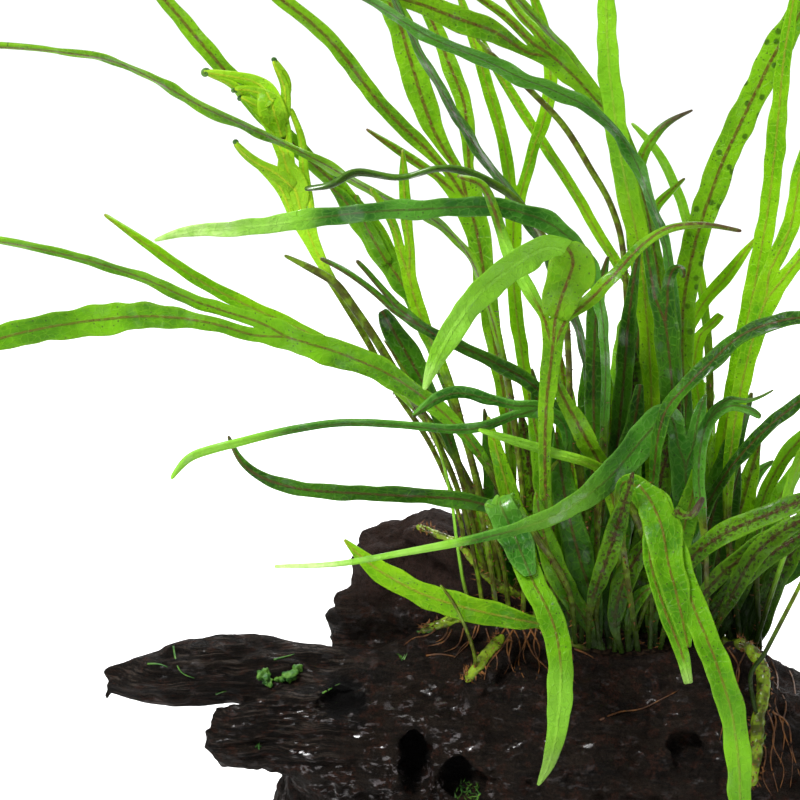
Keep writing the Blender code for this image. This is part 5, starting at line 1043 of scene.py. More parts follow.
def half_widths(reaches):
    """How far the blade stands out to either side of its rib, at each row of each reach.

    A lobe stops short of the middle between its rib and the next lobe's, and a blade of the
    middle of its bend, so that no frond passes through itself.
    """
    found = []
    for reach in reaches:
        half = np.repeat(reach.rows[:, 3:4] / 2, 2, axis=1)
        ribs = np.gradient(reach.rows[:, :3], axis=0)
        steps = np.linalg.norm(ribs, axis=1)[:, None]
        bends = (np.gradient(ribs / steps, axis=0) / steps * reach.sides).sum(axis=1)
        limits = BEND_SHARE / np.maximum(STRAIGHT, np.column_stack([-bends, bends]))
        half = np.minimum(half, limits)
        for other in reaches:
            if any(r is other for r in line_of(reach)) or any(r is reach for r in line_of(other)):
                continue
            between = (other.rows[1:, :3] + other.rows[:-1, :3]) / 2
            beside = np.vstack([other.rows[:, :3], between])
            away = np.linalg.norm(reach.rows[:, None, :3] - beside[None], axis=2).min(axis=1)
            facing = int(other.first > reach.first)
            half[:, facing] = np.minimum(half[:, facing], away / 2 - SLIT)
        # rows that are shared with a stem or a lobe stay whole
        half[0] = reach.rows[0, 3] / 2
        if any(other.parent is reach for other in reaches):
            half[-1] = reach.rows[-1, 3] / 2
        found.append(np.maximum(half, SLIT))
    return found


def rhizome_place(name, share):
    """Where a frond leaves its rhizome: across, up, depth and the rhizome's radius."""
    line = smooth_curve(RHIZOMES[name], 0.5)
    return line[round(share * (len(line) - 1))]


def lay_out(fronds):
    """Each frond's reaches, by name, with its first row in the middle of its rhizome."""
    laid = {}
    for name, frond in fronds.items():
        x, z, y, _ = rhizome_place(frond.rhizome, frond.share)
        first = frond.stem[0]
        stem = Blade([(x, z, y, min(1.8, first[3]), first[4]), *frond.stem], frond.lobes)
        laid[name] = reaches_of(stem)
    return laid


def comb(laid, fronds, held=()):
    """Moves the fronds apart in depth, so that none passes through another or a rhizome.

    A move in depth leaves every frond where the front view shows it. Held fronds stay.
    """
    places, depth, half_width, half_depth, strand, fixed, links = [], [], [], [], [], [], []
    owners = {}
    for number, (name, reaches) in enumerate(laid.items()):
        for reach in reaches:
            begin = len(places)
            owners[id(reach)] = begin
            for k, row in enumerate(reach.rows):
                lean = abs(reach.sides[k][2])
                places.append(row[:2])
                depth.append(row[2])
                half_width.append(row[3] / 2 * math.sqrt(max(0, 1 - lean * lean)) + COMB_SIDE)
                half_depth.append(row[3] / 2 * lean + STALK_THICK / 2)
                strand.append(number)
                fixed.append(name in held or (reach.parent is None and k < 1))
                if k:
                    links.append((begin + k - 1, begin + k))
            if reach.parent is not None:
                last = owners[id(reach.parent)] + len(reach.parent.rows) - 1
                links.append((last, begin))
    for number, points in enumerate(RHIZOMES.values(), start=len(laid)):
        for x, z, y, radius in smooth_curve(points, ROW):
            places.append((x, z))
            depth.append(y)
            half_width.append(radius)
            half_depth.append(radius)
            strand.append(number)
            fixed.append(True)
    places, depth, strand = np.array(places), np.array(depth), np.array(strand)
    half_width, half_depth = np.array(half_width), np.array(half_depth)
    free = ~np.array(fixed)
    started = depth.copy()
    own = {n: len(laid) + list(RHIZOMES).index(fronds[f].rhizome) for n, f in enumerate(laid)}

    # pairs of places that the front view shows on top of each other
    gaps = np.linalg.norm(places[:, None] - places[None], axis=2)
    close = gaps < half_width[:, None] + half_width[None] + COMB_REACH
    close &= strand[:, None] < strand[None]
    a, b = np.nonzero(close)
    keep = np.array([own.get(i) != j for i, j in zip(strand[a], strand[b])])
    a, b = a[keep], b[keep]
    # the strand that lies in front along most of what two strands share stays in front
    key = strand[a] * 1000 + strand[b]
    _, group = np.unique(key, return_inverse=True)
    lead = np.bincount(group, weights=depth[a] - depth[b])
    sign = np.where(lead[group] < 0, -1.0, 1.0)
    need = half_depth[a] + half_depth[b] + COMB_GAP
    share = np.where(free[a] & free[b], 0.5, 1.0)
    link_a, link_b = np.array(links).T
    count = np.bincount(link_a, minlength=len(depth)) + np.bincount(link_b, minlength=len(depth))
    for _ in range(COMB_ROUNDS):
        short = np.maximum(0, need - sign * (depth[a] - depth[b]))
        push = np.zeros(len(depth))
        np.maximum.at(push, a, np.where(sign > 0, short * share, 0))
        np.maximum.at(push, b, np.where(sign < 0, short * share, 0))
        pull = np.zeros(len(depth))
        np.maximum.at(pull, a, np.where(sign < 0, short * share, 0))
        np.maximum.at(pull, b, np.where(sign > 0, short * share, 0))
        moved = depth - started + COMB_STEP * (push - pull)
        moved[~free] = 0
        around = np.bincount(link_a, moved[link_b], len(depth))
        around += np.bincount(link_b, moved[link_a], len(depth))
        evened = (1 - COMB_EVEN) * moved + COMB_EVEN * around / np.maximum(count, 1)
        moved = np.where(count > 0, evened, moved)
        moved[~free] = 0
        depth = started + moved
    for name, reaches in laid.items():
        if name in held:
            continue
        for reach in reaches:
            begin = owners[id(reach)]
            reach.rows[:, 2] = depth[begin : begin + len(reach.rows)]
        for reach in reaches:
            if reach.parent is not None:
                shift = reach.parent.rows[-1, 2] - reach.rows[0, 2]
                lobe = reach.first + reach.span / 2 - reach.parent.first - reach.parent.span / 2
                aside = lobe / reach.parent.span * reach.parent.rows[-1, 3]
                reach.rows[0, 2] += shift + reach.parent.sides[-1][2] * aside
    return laid


def wood_relief(point):
    """How far the surface stands out: ridges along the grain, lumps and pits."""

    def rough(size, shift):
        scaled = (c / MM / s for c, s in zip(point, size))
        return noise.noise(Vector(scaled) + Vector(shift))

    relief = sum(height * rough(size, shift) for height, size, shift in WOOD_RIDGES)
    depth, size, shift = WOOD_PITS
    return relief + depth * max(0, rough(size, shift) - WOOD_PIT_EDGE)


def at_all(places):
    """The same as at, for rows of (across, up, depth), as rows of (x, y, z) in millimetres."""
    eye, up = np.array(EYE), np.array(UP)
    seen = np.array(AIM) + up * (places[..., 1:2] - VIEW_SIZE / 2)
    seen[..., 0] += places[..., 0] - VIEW_SIZE / 2
    sight = seen - eye
    return eye + sight * ((places[..., 2:3] - eye[1]) / sight[..., 1:2])


def unit(rows):
    """The rows, each one long."""
    return rows / np.maximum(1e-9, np.linalg.norm(rows, axis=-1, keepdims=True))


def eased(value):
    """0 to 1 with a soft start and end."""
    value = np.clip(value, 0, 1)
    return value * value * (3 - 2 * value)


# ---------------------------------------------------------------- objects


def clear_selection():
    """Leaves nothing selected."""
    if bpy.context.object is not None and bpy.context.object.mode != "OBJECT":
        bpy.ops.object.mode_set(mode="OBJECT")
    bpy.ops.object.select_all(action="DESELECT")


def pick(*objects):
    """Selects these objects only, the first of them active."""
    clear_selection()
    for obj in objects:
        obj.select_set(True)
    bpy.context.view_layer.objects.active = objects[0]


def edit_all(*steps):
    """Runs steps in edit mode on all of the active object's mesh."""
    bpy.ops.object.mode_set(mode="EDIT")
    bpy.ops.mesh.select_all(action="SELECT")
    for step in steps:
        step()
    bpy.ops.object.mode_set(mode="OBJECT")


def apply_modifier(obj, kind, **settings):
    """Adds a modifier to the object and applies it."""
    pick(obj)
    added = obj.modifiers.new(kind.lower(), kind)
    for key, value in settings.items():
        setattr(added, key, value)
    bpy.ops.object.modifier_apply(modifier=added.name)


def joined(objects, name):
    """The objects as one, with the points that lie on each other merged."""
    pick(*objects)
    if len(objects) > 1:
        bpy.ops.object.join()
    whole = bpy.context.object
    whole.name = whole.data.name = name
    edit_all(lambda: bpy.ops.mesh.remove_doubles(threshold=SAME))
    return whole


def largest_part(obj):
    """The object without the crumbs that hang on to nothing."""
    pick(obj)
    edit_all(lambda: bpy.ops.mesh.separate(type="LOOSE"))
    parts = sorted(bpy.context.selected_objects, key=lambda part: len(part.data.vertices))
    name, whole = obj.name, parts.pop()
    for crumb in parts:
        bpy.data.objects.remove(crumb)
    whole.name = whole.data.name = name
    return whole


def finish_piece(piece, look, slot, *nodes):
    """Gives a piece its material, the body that it rides on and the nodes that it stands for."""
    piece.data.materials.clear()
    piece.data.materials.append(look)
    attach(piece, "root")
    if nodes:
        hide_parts(*nodes)


def set_points(obj, points):
    """Moves the object's points to these places, given in millimetres."""
    obj.data.vertices.foreach_set("co", (np.asarray(points) * MM).astype(np.float32).ravel())
    obj.data.update()


def get_points(obj):
    """The object's points in millimetres."""
    points = np.empty(3 * len(obj.data.vertices), dtype=np.float32)
    obj.data.vertices.foreach_get("co", points)
    return points.reshape(-1, 3).astype(float) / MM


def roughen(obj, height, waves):
    """Moves the object's points in and out by noise; waves are lengths and shares of height."""
    points = get_points(obj)
    normals = np.array([vert.normal[:] for vert in obj.data.vertices])
    bumps = [
        sum(noise.noise(Vector(p) / size) * share for size, share in waves)
        for p in points.tolist()
    ]
    set_points(obj, points + normals * np.array(bumps)[:, None] * height)


def copies(name, template, moves):
    """The template's mesh once for each move, which turns a point of it into millimetres."""
    shape = get_points(template) * MM
    bm = bmesh.new()
    for move in moves:
        before = len(bm.verts)
        bm.from_mesh(template.data)
        bm.verts.ensure_lookup_table()
        for vert, place in zip(bm.verts[before:], shape):
            vert.co = move(place) * MM
    bm.to_mesh(template.data)
    bm.free()
    template.name = template.data.name = name
    return template


# ---------------------------------------------------------------- materials


class Wire:
    """A value in a material's node tree, which can be reckoned with like a number."""

    def __init__(self, look, socket):
        self.look = look
        self.socket = socket

    def reckon(self, operation, *values):
        """A Math node on this value and others."""
        inputs = dict(enumerate((self, *values)))
        return self.look.node("ShaderNodeMath", {"operation": operation}, inputs)

    def __add__(self, other):
        return self.reckon("ADD", other)

    __radd__ = __add__

    def __sub__(self, other):
        return self.reckon("SUBTRACT", other)

    def __rsub__(self, other):
        return (self * -1.0) + other

    def __mul__(self, other):
        return self.reckon("MULTIPLY", other)

    __rmul__ = __mul__

    def __truediv__(self, other):
        return self.reckon("DIVIDE", other)

    def __abs__(self):
        return self.reckon("ABSOLUTE")

    def larger(self, other):
        """The larger of the two."""
        return self.reckon("MAXIMUM", other)

    def smaller(self, other):
        """The smaller of the two."""
        return self.reckon("MINIMUM", other)

    def ramp(self, low, high):
        """0 below low and 1 above high, with a soft passage between; falls if low is above high."""
        if low > high:
            return 1.0 - self.ramp(high, low)
        values = {"Value": self, "From Min": low, "From Max": high}
        return self.look.node("ShaderNodeMapRange", {"interpolation_type": "SMOOTHSTEP"}, values)


class Look:
    """A material, or a world, and the nodes that make it."""

    def __init__(self, name, kind="materials"):
        self.block = getattr(bpy.data, kind).new(name)
        self.block.use_nodes = True
        self.tree = self.block.node_tree
        self.tree.nodes.clear()

    def node(self, kind, settings=None, inputs=None, output=0):
        """A node with its settings and its inputs' values or links; gives one of its outputs."""
        made = self.tree.nodes.new(kind)
        for key, value in (settings or {}).items():
            setattr(made, key, value)
        for key, value in (inputs or {}).items():
            if isinstance(value, Wire):
                self.tree.links.new(value.socket, made.inputs[key])
            else:
                made.inputs[key].default_value = value
        return Wire(self, made.outputs[output]) if made.outputs else None

    def split(self, wire):
        """The three parts of a vector."""
        parts = self.node("ShaderNodeSeparateXYZ", inputs={0: wire})
        return [Wire(self, socket) for socket in parts.socket.node.outputs]

    def vector(self, x, y, z=0.0):
        """A vector from its parts."""
        return self.node("ShaderNodeCombineXYZ", inputs={0: x, 1: y, 2: z})

    def map_of(self, name):
        """The two parts of a UV map."""
        return self.split(self.node("ShaderNodeUVMap", {"uv_map": name}))[:2]

    def vector_math(self, operation, inputs, output=0):
        """A Vector Math node."""
        return self.node("ShaderNodeVectorMath", {"operation": operation}, inputs, output)

    def place(self):
        """The place on the object, in millimetres."""
        where = self.node("ShaderNodeTexCoord", output="Object")
        return self.vector_math("SCALE", {0: where, "Scale": 1 / MM})

    def stretched(self, vector, size):
        """A vector with each part divided by a grain size."""
        return self.vector_math("DIVIDE", {0: vector, 1: size})

    def noise(self, vector, size, detail=2.0, rough=0.5):
        """Soft noise from 0 to 1, about 0.5, with grains of the size given."""
        values = {"Vector": vector, "Scale": 1 / size, "Detail": detail, "Roughness": rough}
        return self.node("ShaderNodeTexNoise", inputs=values)

    def cells(self, vector, size=1.0, feature="F1", output="Distance", sides=2):
        """A pattern of cells of the size given, on a plane or in space."""
        settings = {"feature": feature, "voronoi_dimensions": f"{sides}D"}
        values = {"Vector": vector, "Scale": 1 / size}
        return self.node("ShaderNodeTexVoronoi", settings, values, output)

    def blend(self, factor, low, high):
        """A colour between two, by a factor."""
        low, high = (c if isinstance(c, Wire) else (*c, 1) for c in (low, high))
        return self.node("ShaderNodeMix", {"data_type": "RGBA"}, {0: factor, 6: low, 7: high}, 2)

    def bump(self, height, strength, distance, under=None):
        """A bump from a height; distance is what a height of 1 stands out by, in millimetres."""
        values = {"Height": height, "Strength": strength, "Distance": distance * MM}
        if under is not None:
            values["Normal"] = under
        return self.node("ShaderNodeBump", inputs=values)

    def shade(self, colour, roughness, normal, coat=0.0, coat_rough=0.1, specular=0.2):
        """The surface's shader."""
        values = {
            "Base Color": colour,
            "Roughness": roughness,
            "Normal": normal,
            "Coat Weight": coat,
            "Coat Roughness": coat_rough,
            "Specular IOR Level": specular,
        }
        return self.node("ShaderNodeBsdfPrincipled", inputs=values)

    def done(self, surface, output="ShaderNodeOutputMaterial"):
        """Sets the surface and gives the material or world."""
        self.node(output, inputs={"Surface": surface})
        return self.block


def leaf_look(kind):
    """A leaf with its net of veins, its midrib, specks, spore heaps, wet shine, and painted shade on the
    feet in the middle of the crown.
    """
    colours = bpy.context.scene.fern_colours
    look = Look(f"leaf {kind.name}")
    place = look.place()
    across, along = look.map_of("rib")
    share, stalk = look.map_of("form")
    pale, brown = look.map_of("tint")
    from_rib = abs(across)

    wide = look.noise(place, 15, 3)
    small = look.noise(place, 2.2, 3)
    leaf = look.blend(wide.ramp(0.36, 0.64), kind.shaded, kind.lit)
    leaf = look.blend(small.ramp(0.45, 0.7) * 0.35, leaf, kind.lit)
    leaf = look.blend(small.ramp(0.45, 0.25) * 0.35, leaf, kind.shaded)

    # the net of veins, bent a little, fades into the stalk
    bent = look.noise(place, 3.5, 1) * 1.6
    net = look.vector(across / 1.5 + bent, along / 2.1 + bent * 0.6)
    vein = look.cells(net, feature="DISTANCE_TO_EDGE").ramp(0.13, 0.02)
    blade = stalk.ramp(0.7, 0.2)
    leaf = look.blend(vein * blade * kind.veins, leaf, kind.vein)
    edge = abs(share).ramp(0.72, 1.0)
    leaf = look.blend(edge * 0.4, leaf, kind.vein)

    # specks, and heaps of spores in a row along each side of the rib
    speck_at = look.vector(across / 0.9, along / 0.9)
    dots = look.cells(speck_at).ramp(0.34, 0.16)
    chance = look.split(look.cells(speck_at, output="Color"))[0]
    specks = dots * chance.ramp(1 - kind.specks, 1.02 - kind.specks) * blade
    leaf = look.blend(specks * 0.75, leaf, colours.speck)
    heap_at = look.vector(from_rib / 1.15 + 0.3, along / 1.25)
    heaps = look.cells(heap_at).ramp(0.5, 0.25) * from_rib.ramp(2.4, 1.1) * blade
    heaps = heaps * look.noise(place, 1.3, 2).ramp(0.36, 0.52) * kind.heaps
    leaf = look.blend(heaps, leaf, colours.spore)

    # round spots, only on the right of the plant
    x, y, z = look.split(place)
    round_at = look.vector(across / 5.6 + 0.5, along / 5.6)
    spots = look.cells(round_at).ramp(0.17, 0.10) * blade * kind.spots * x.ramp(4, 12)
    leaf = look.blend(spots * 0.95, leaf, colours.spot)

    # the midrib, broken into dashes, and the stalk that it turns into
    beaded = look.noise(look.vector(across * 1.5, along * 0.8), 1.0, 2).ramp(0.3, 0.55)
    rib = from_rib.ramp(kind.rib_wide, kind.rib_wide * 0.45)
    leaf = look.blend(rib * (beaded * 0.6 + 0.35) * blade, leaf, kind.rib)
    patches = look.noise(place, 2.5, 3).ramp(0.35, 0.62)
    stem = look.blend(patches, colours.stalk, colours.stalk_brown)
    leaf = look.blend(stalk.ramp(0.35, 0.95), leaf, stem)
    # painted shade: the feet in the middle of the crown, in the shade of the leaves, are painted dim and
    # dull
    shadowed = z.ramp(92, 60) * x.ramp(-36, -18) * x.ramp(46, 32) * y.ramp(-46, -28)
    leaf = look.blend(shadowed * 0.94, leaf, colours.shadowed)
    # a pale stretch is first plain green, then nearly white
    leaf = look.blend(pale.ramp(0.0, 0.5), leaf, colours.plain)
    palest = pale.ramp(0.45, 1.0) * (small.ramp(0.35, 0.65) * 0.5 + 0.5)
    leaf = look.blend(palest, leaf, colours.pale)
    leaf = look.blend(brown, leaf, colours.wilted)

    height = vein * 0.5 + rib * 0.9 + small * 0.35 + heaps * 1.2
    streaks = look.noise(look.vector(across, along * 0.35), 0.9, 3)
    normal = look.bump(look.noise(place, 3.2, 2), 0.8, 1.1)
    normal = look.bump(height, 0.7, 0.2, normal)
    normal = look.bump(streaks, 0.35, 0.2, normal)
    wet = look.noise(place, 6, 3)
    roughness = wet.ramp(0.35, 0.65) * -0.2 + 0.5
    wetness = wet.ramp(0.54, 0.66) * kind.wet * (1.0 - shadowed)
    gloss = look.shade(leaf, roughness, normal, wetness, 0.14, 0.12)

    # light passes through a blade where nothing dark lies on it
    opaque = rib * 0.5 + heaps * 0.8 + specks * 0.6 + stalk * 0.6 + brown * 0.7 + shadowed * 0.8
    through = (1.0 - opaque.smaller(1.0)) * kind.thin
    passed = {"Color": (*kind.glow, 1), "Normal": normal}
    glow = look.node("ShaderNodeBsdfTranslucent", inputs=passed)
    return look.done(look.node("ShaderNodeMixShader", inputs={0: through, 1: gloss, 2: glow}))


def wood_look():
    """Old driftwood, soaked: black brown with grain and pits, painted shade in its hollows, and a broken
    wet shine that is partly a coat and partly painted highlights.
    """
    colours = bpy.context.scene.fern_colours
    look = Look("soaked driftwood")
    place = look.place()
    x, y, z = look.split(place)
    # parts of the wood that look their own way, and its wettest stretch
    stump = z.ramp(62, 72) * y.ramp(-8, 4)
    branch = x.ramp(-66, -80) * z.ramp(32, 40)
    foot = z.ramp(18, 8) * x.ramp(-70, -82)
    wettest = x.ramp(-96, -76) * x.ramp(-26, -46) * y.ramp(-4, -16) * z.ramp(54, 46)

    swirled = look.vector(x, y, z + look.noise(place, 14, 2) * 5.0)

    def layered(grain, detail, rough):
        """Noise drawn out along the swirling grain."""
        return look.noise(look.stretched(swirled, grain), 1.0, detail, rough)

    lumps = look.noise(place, 9, 4).ramp(0.3, 0.7)
    grain = layered((15, 5, 0.75), 4, 0.65)
    cracks = abs(layered((30, 8, 1.5), 3, 0.6) - 0.5).ramp(0.05, 0.0)
    splits = abs(layered((24, 6, 0.8), 2, 0.5) - 0.5).ramp(0.035, 0.0)
    cracks = cracks.larger(splits)
    fine = look.noise(place, 0.7, 5, 0.8)
    crumbs = look.cells(place, 1.7, sides=3).ramp(0.0, 0.75)
    facets = look.noise(look.stretched(place, (1.5, 1, 1)), 2.6, 4, 0.62)
    gleams = look.noise(look.stretched(place, (2.4, 1, 1)), 1.35, 3, 0.6)
    red = look.noise(place, 3.0, 3).ramp(0.5, 0.62) * fine.ramp(0.4, 0.6)
    soaked = look.noise(place, 6, 3).ramp(0.42, 0.56) * (0.18 + 0.82 * wettest) * (1.0 - stump)
    glint = gleams.ramp(0.53, 0.6) * facets.ramp(0.42, 0.52) * soaked

    brown = lumps * 0.6 + grain.ramp(0.4, 0.6) * 0.4
    wood = look.blend(brown, colours.wood_dark, colours.wood_brown)
    for share, colour in (
        (grain.ramp(0.5, 0.62) * (branch * 0.85 + 0.1), colours.wood_grey),
        (fine.ramp(0.54, 0.66) * 0.5, colours.wood_grey),
        (red * 0.7, colours.wood_red),
        (stump * (0.25 + 0.75 * fine.ramp(0.35, 0.65)), colours.wood_stump),
        (foot * 0.7, colours.wood_foot),
        # painted highlights: the wet facets' glints are painted into the colour as well as given a coat
        (glint * 0.7, colours.wood_glint),
        (cracks * (branch * 0.85 + 0.15), colours.wood_dark),
    ):
        wood = look.blend(share, wood, colour)
    # painted shade: inside the first three hollows the colour is painted nearly black, and their glints
    # are taken out
    for across, up, depth, wide, high, deep in WOOD_HOLLOWS[:3]:
        centre = look.vector_math("SUBTRACT", {0: place, 1: at(across, up, depth)})
        spread = look.stretched(centre, (wide, deep * 3, high))
        inside = look.vector_math("LENGTH", {0: spread}, "Value")
        hollow = (inside + facets * 1.1 - 0.55).ramp(1.1, 0.8)
        glint = glint * (1.0 - hollow)
        wood = look.blend(hollow, wood, colours.wood_hollow_shade)
    wood = look.blend(fine.ramp(0.46, 0.34) * 0.8, wood, colours.wood_dark)
    normal = look.bump(grain.ramp(0.3, 0.7) - cracks * 0.8, branch * 0.6 + 0.4, 1.8)
    normal = look.bump(facets.ramp(0.3, 0.7) - crumbs * 0.6, 1.0 - branch * 0.7, 2.2, normal)
    normal = look.bump(fine.ramp(0.3, 0.7), 1.0, 0.6, normal)
    roughness = 0.68 - glint * 0.38
    return look.done(look.shade(wood, roughness, normal, glint * 0.9, 0.22, 0.1))


def rhizome_look():
    """A creeping stem: yellow green, with brown patches, and painted shade under the leaves."""
    colours = bpy.context.scene.fern_colours
    look = Look("rhizome")
    place = look.place()
    patches = look.noise(place, 3.2, 3).ramp(0.44, 0.62)
    small = look.noise(place, 0.9, 3)
    skin = look.blend(patches, colours.rhizome, colours.rhizome_dark)
    skin = look.blend(small.ramp(0.58, 0.72) * 0.8, skin, colours.root)
    x, y, _ = look.split(place)
    # painted shade: under the leaves, where shade falls among the crown's feet, the skin is painted in
    # the wood's dark browns and is dull
    under_leaves = x.ramp(-24, -12) * x.ramp(26, 18) * y.ramp(-30, -18)
    shaded_skin = look.blend(small.ramp(0.4, 0.6), colours.wood_dark, colours.wood_brown)
    skin = look.blend(under_leaves, skin, shaded_skin)
    normal = look.bump(small + look.noise(place, 2.4, 2), 0.7, 0.4)
    wet = small.ramp(0.4, 0.6) * (1.0 - under_leaves) * 0.5
    roughness = (small * -0.2 + 0.6).larger(under_leaves * 0.95)
    return look.done(look.shade(skin, roughness, normal, wet, 0.2, 0.05))


def plain_look(name, light, dark):
    """A thread, scale or tuft that is dark and light in turns."""
    look = Look(name)
    place = look.place()
    turns = look.noise(place, 1.8, 3)
    skin = look.blend(turns.ramp(0.35, 0.65), light, dark)
    normal = look.bump(look.noise(place, 0.5, 2), 0.5, 0.15)
    return look.done(look.shade(skin, turns * 0.3 + 0.35, normal))


# ---------------------------------------------------------------- fronds


def fine_reach(reach, half):
    """Closer rows along a reach: place, half widths to each side and direction across."""
    fine = smooth_curve(np.column_stack([reach.rows[:, :3], half, reach.sides]), FINE_ROW)
    return fine[:, :3], np.maximum(fine[:, 3:5], SLIT), unit(fine[:, 5:8])


def blade_grid(name, points, maps):
    """A sheet through rows of points, with its UV maps, each one pair for every face's corner."""
    rows, columns = points.shape[0] - 1, points.shape[1] - 1
    grid = {"x_subdivisions": columns, "y_subdivisions": rows}
    bpy.ops.mesh.primitive_grid_add(**grid, size=1, calc_uvs=False)
    sheet = bpy.context.object
    sheet.name = name
    set_points(sheet, points.reshape(-1, 3))
    for key, pairs in maps.items():
        layer = sheet.data.uv_layers.new(name=key)
        layer.data.foreach_set("uv", pairs.astype(np.float32).ravel())
    return sheet


def opened(half, by, begin=STALK_HALF):
    """How far a row of this half width has opened from a stalk to a blade, from 0 to 1."""
    return eased((half - begin) / by)


def uneven(places, wide, reach, sizes):
    """The half widths of a reach with uneven edges, and slimmer where it is a stalk."""
    for side in (0, 1):
        shift = Vector((JAG_SHIFTS[0] * side + JAG_SHIFTS[1] * reach.first,) * 3)
        jags = np.array([noise.noise(Vector(p) / sizes.jag_length + shift) for p in places])
        wide[:, side] *= 1 + sizes.jags * jags * opened(wide[:, side], JAGS_BY)
    if reach.parent is None:
        stem = 1 - opened(np.maximum.accumulate(wide.sum(axis=1) / 2), SLIM_BY)
        wide *= 1 - sizes.slimmer_stalks * stem[:, None]
    return wide


def forked_ribs(reach, children, along):
    """Which lobe each column of a reach leads to, and each lobe's rib and reach at each row.

    The rib divides before a fork, so each lobe's share of the columns has its own rib.
    """
    lobe_of = np.zeros(COLUMNS * reach.span, dtype=int)
    parted = eased(1 - (along[-1] - along) / FORK_RUN) if children else np.zeros(len(along))
    rib_at = np.zeros((len(along), max(1, len(children))))
    reach_of = np.ones_like(rib_at)
    for number, child in enumerate(children):
        first = (child.first - reach.first) * COLUMNS
        lobe_of[first : first + child.span * COLUMNS] = number
        middle = 2 * (child.first - reach.first + child.span / 2) / reach.span - 1
        rib_at[:, number] = middle * parted
        reach_of[:, number] = 1 + parted * (child.span / reach.span - 1)
    return lobe_of, rib_at, reach_of


def tinted(spots, tints):
    """How pale and how brown each point is."""
    tint = np.zeros((*spots.shape[:2], 2))
    for across, up, size, pale, brown in tints:
        away = np.hypot(spots[..., 0] - across, spots[..., 1] - up) / size
        tint = np.maximum(tint, eased(TINT_SOFT - away)[..., None] * (pale, brown))
    return tint


def frond_points(reaches, sizes, tints):
    """Every reach's sheet of points, its UV maps and how thick it is at each point."""
    made, ends = [], {}
    for reach, half in zip(reaches, half_widths(reaches)):
        places, wide, sides = fine_reach(reach, half)
        wide = uneven(places, wide, reach, sizes)
        end_row, start, was_open = ends.get(id(reach.parent), (None, 0.0, 0.0))
        count = COLUMNS * reach.span
        aside = np.linspace(-1, 1, count + 1)
        reach_out = np.where(aside[None] > 0, wide[:, 1:2], wide[:, 0:1])
        spots = places[:, None] + sides[:, None] * (aside[None, :, None] * reach_out[..., None])
        points = at_all(spots)
        steps = np.linalg.norm(np.diff(places, axis=0), axis=1)
        along = start + np.concatenate([[0], np.cumsum(steps)])
        children = [other for other in reaches if other.parent is reach]
        lobe_of, rib_at, reach_of = forked_ribs(reach, children, along)

        # each column's share of the way from its rib to the edge, from the lobes beside it
        beside = np.arange(count + 1)
        lobes = lobe_of[np.maximum(0, beside - 1)], lobe_of[np.minimum(count - 1, beside)]
        shares = [abs((aside[None] - rib_at[:, lobe]) / reach_of[:, lobe]) for lobe in lobes]
        share = np.clip((shares[0] + shares[1]) / 2, 0, 1)

        # the edges rise and wave
        middle_half = wide.sum(axis=1) / 2
        full = middle_half[:, None] * reach_of[:, :1]
        normals = unit(np.cross(np.gradient(points, axis=0), np.gradient(points, axis=1)))
        ripple = np.array(
            [[noise.noise(Vector(p) / sizes.wave_length) for p in row] for row in points.tolist()]
        )
        rise = sizes.keel * share + sizes.wave_height * ripple * share**2
        lift = opened(full, WAVES_BY) * full * rise
        if reach.parent is not None:
            lift[0] = 0
        points = points + normals * lift[..., None]
        if reach.parent is not None:
            first = (reach.first - reach.parent.first) * COLUMNS
            points[0] = end_row[first : first + count + 1]

        # once a blade has opened, what lies beyond is no stalk, however narrow
        now_open = opened(np.maximum.accumulate(middle_half), BLADE_BY)
        stalk = 1 - np.maximum(was_open, now_open)[:, None] * np.ones_like(share)
        ends[id(reach)] = points[-1], along[-1], max(was_open, now_open[-1])
        narrow = 1 - opened(full, BLADE_BY, THIN_HALF) * np.ones_like(share)
        blade = sizes.blade_thickness / STALK_THICK * (BLADE_RIB - BLADE_THINNER * share)
        thick = narrow + (1 - narrow) * blade

        # for every corner of every face
        row, column = np.divmod(np.arange((len(along) - 1) * count), count)
        rows = np.stack([row, row, row + 1, row + 1], axis=1)
        columns = np.stack([column, column + 1, column + 1, column], axis=1)
        lobe = lobe_of[column][:, None]
        own = aside[columns] - rib_at[rows, lobe]
        edge = np.clip(own / reach_of[rows, lobe], -1, 1)
        maps = {
            "rib": np.stack([own * wide.mean(axis=1)[rows], along[rows]], axis=-1),
            "form": np.stack([edge, stalk[rows, columns]], axis=-1),
            "tint": tinted(spots, tints)[rows, columns],
        }
        made.append((points, maps, thick))
    return made


def make_frond(name, reaches, tints):
    """One frond or part of one, from its stalk to its tips."""
    sizes = bpy.context.scene.fern_sizes
    sheets = []
    for number, (points, maps, thick) in enumerate(frond_points(reaches, sizes, tints)):
        clear_selection()
        sheet = blade_grid(f"{name}.{number}", points, maps)
        group = sheet.vertex_groups.new(name="thickness")
        for index, value in enumerate(thick.ravel()):
            group.add([index], value, "REPLACE")
        sheets.append(sheet)
    frond = joined(sheets, name)
    thickness = {"thickness": STALK_THICK * MM, "vertex_group": "thickness"}
    apply_modifier(frond, "SOLIDIFY", offset=0, **thickness)
    frond.vertex_groups.clear()
    apply_modifier(frond, "SUBSURF", levels=1, render_levels=1, uv_smooth="NONE")
    edit_all(lambda: bpy.ops.mesh.normals_make_consistent(inside=False))
    bpy.ops.object.shade_smooth()
    return frond


def look_of(name, looks):
    """The material of a frond by its name."""
    for kind, names in FROND_LOOKS.items():
        if name in names.split():
            return looks[kind]
    return looks["mid"]


def leaf_looks():
    """Every kind of leaf's material, made when first asked for."""
    found = {}
    for kind in LEAF_KINDS:
        made = bpy.data.materials.get(f"leaf {kind.name}")
        found[kind.name] = made or leaf_look(kind)
    return found


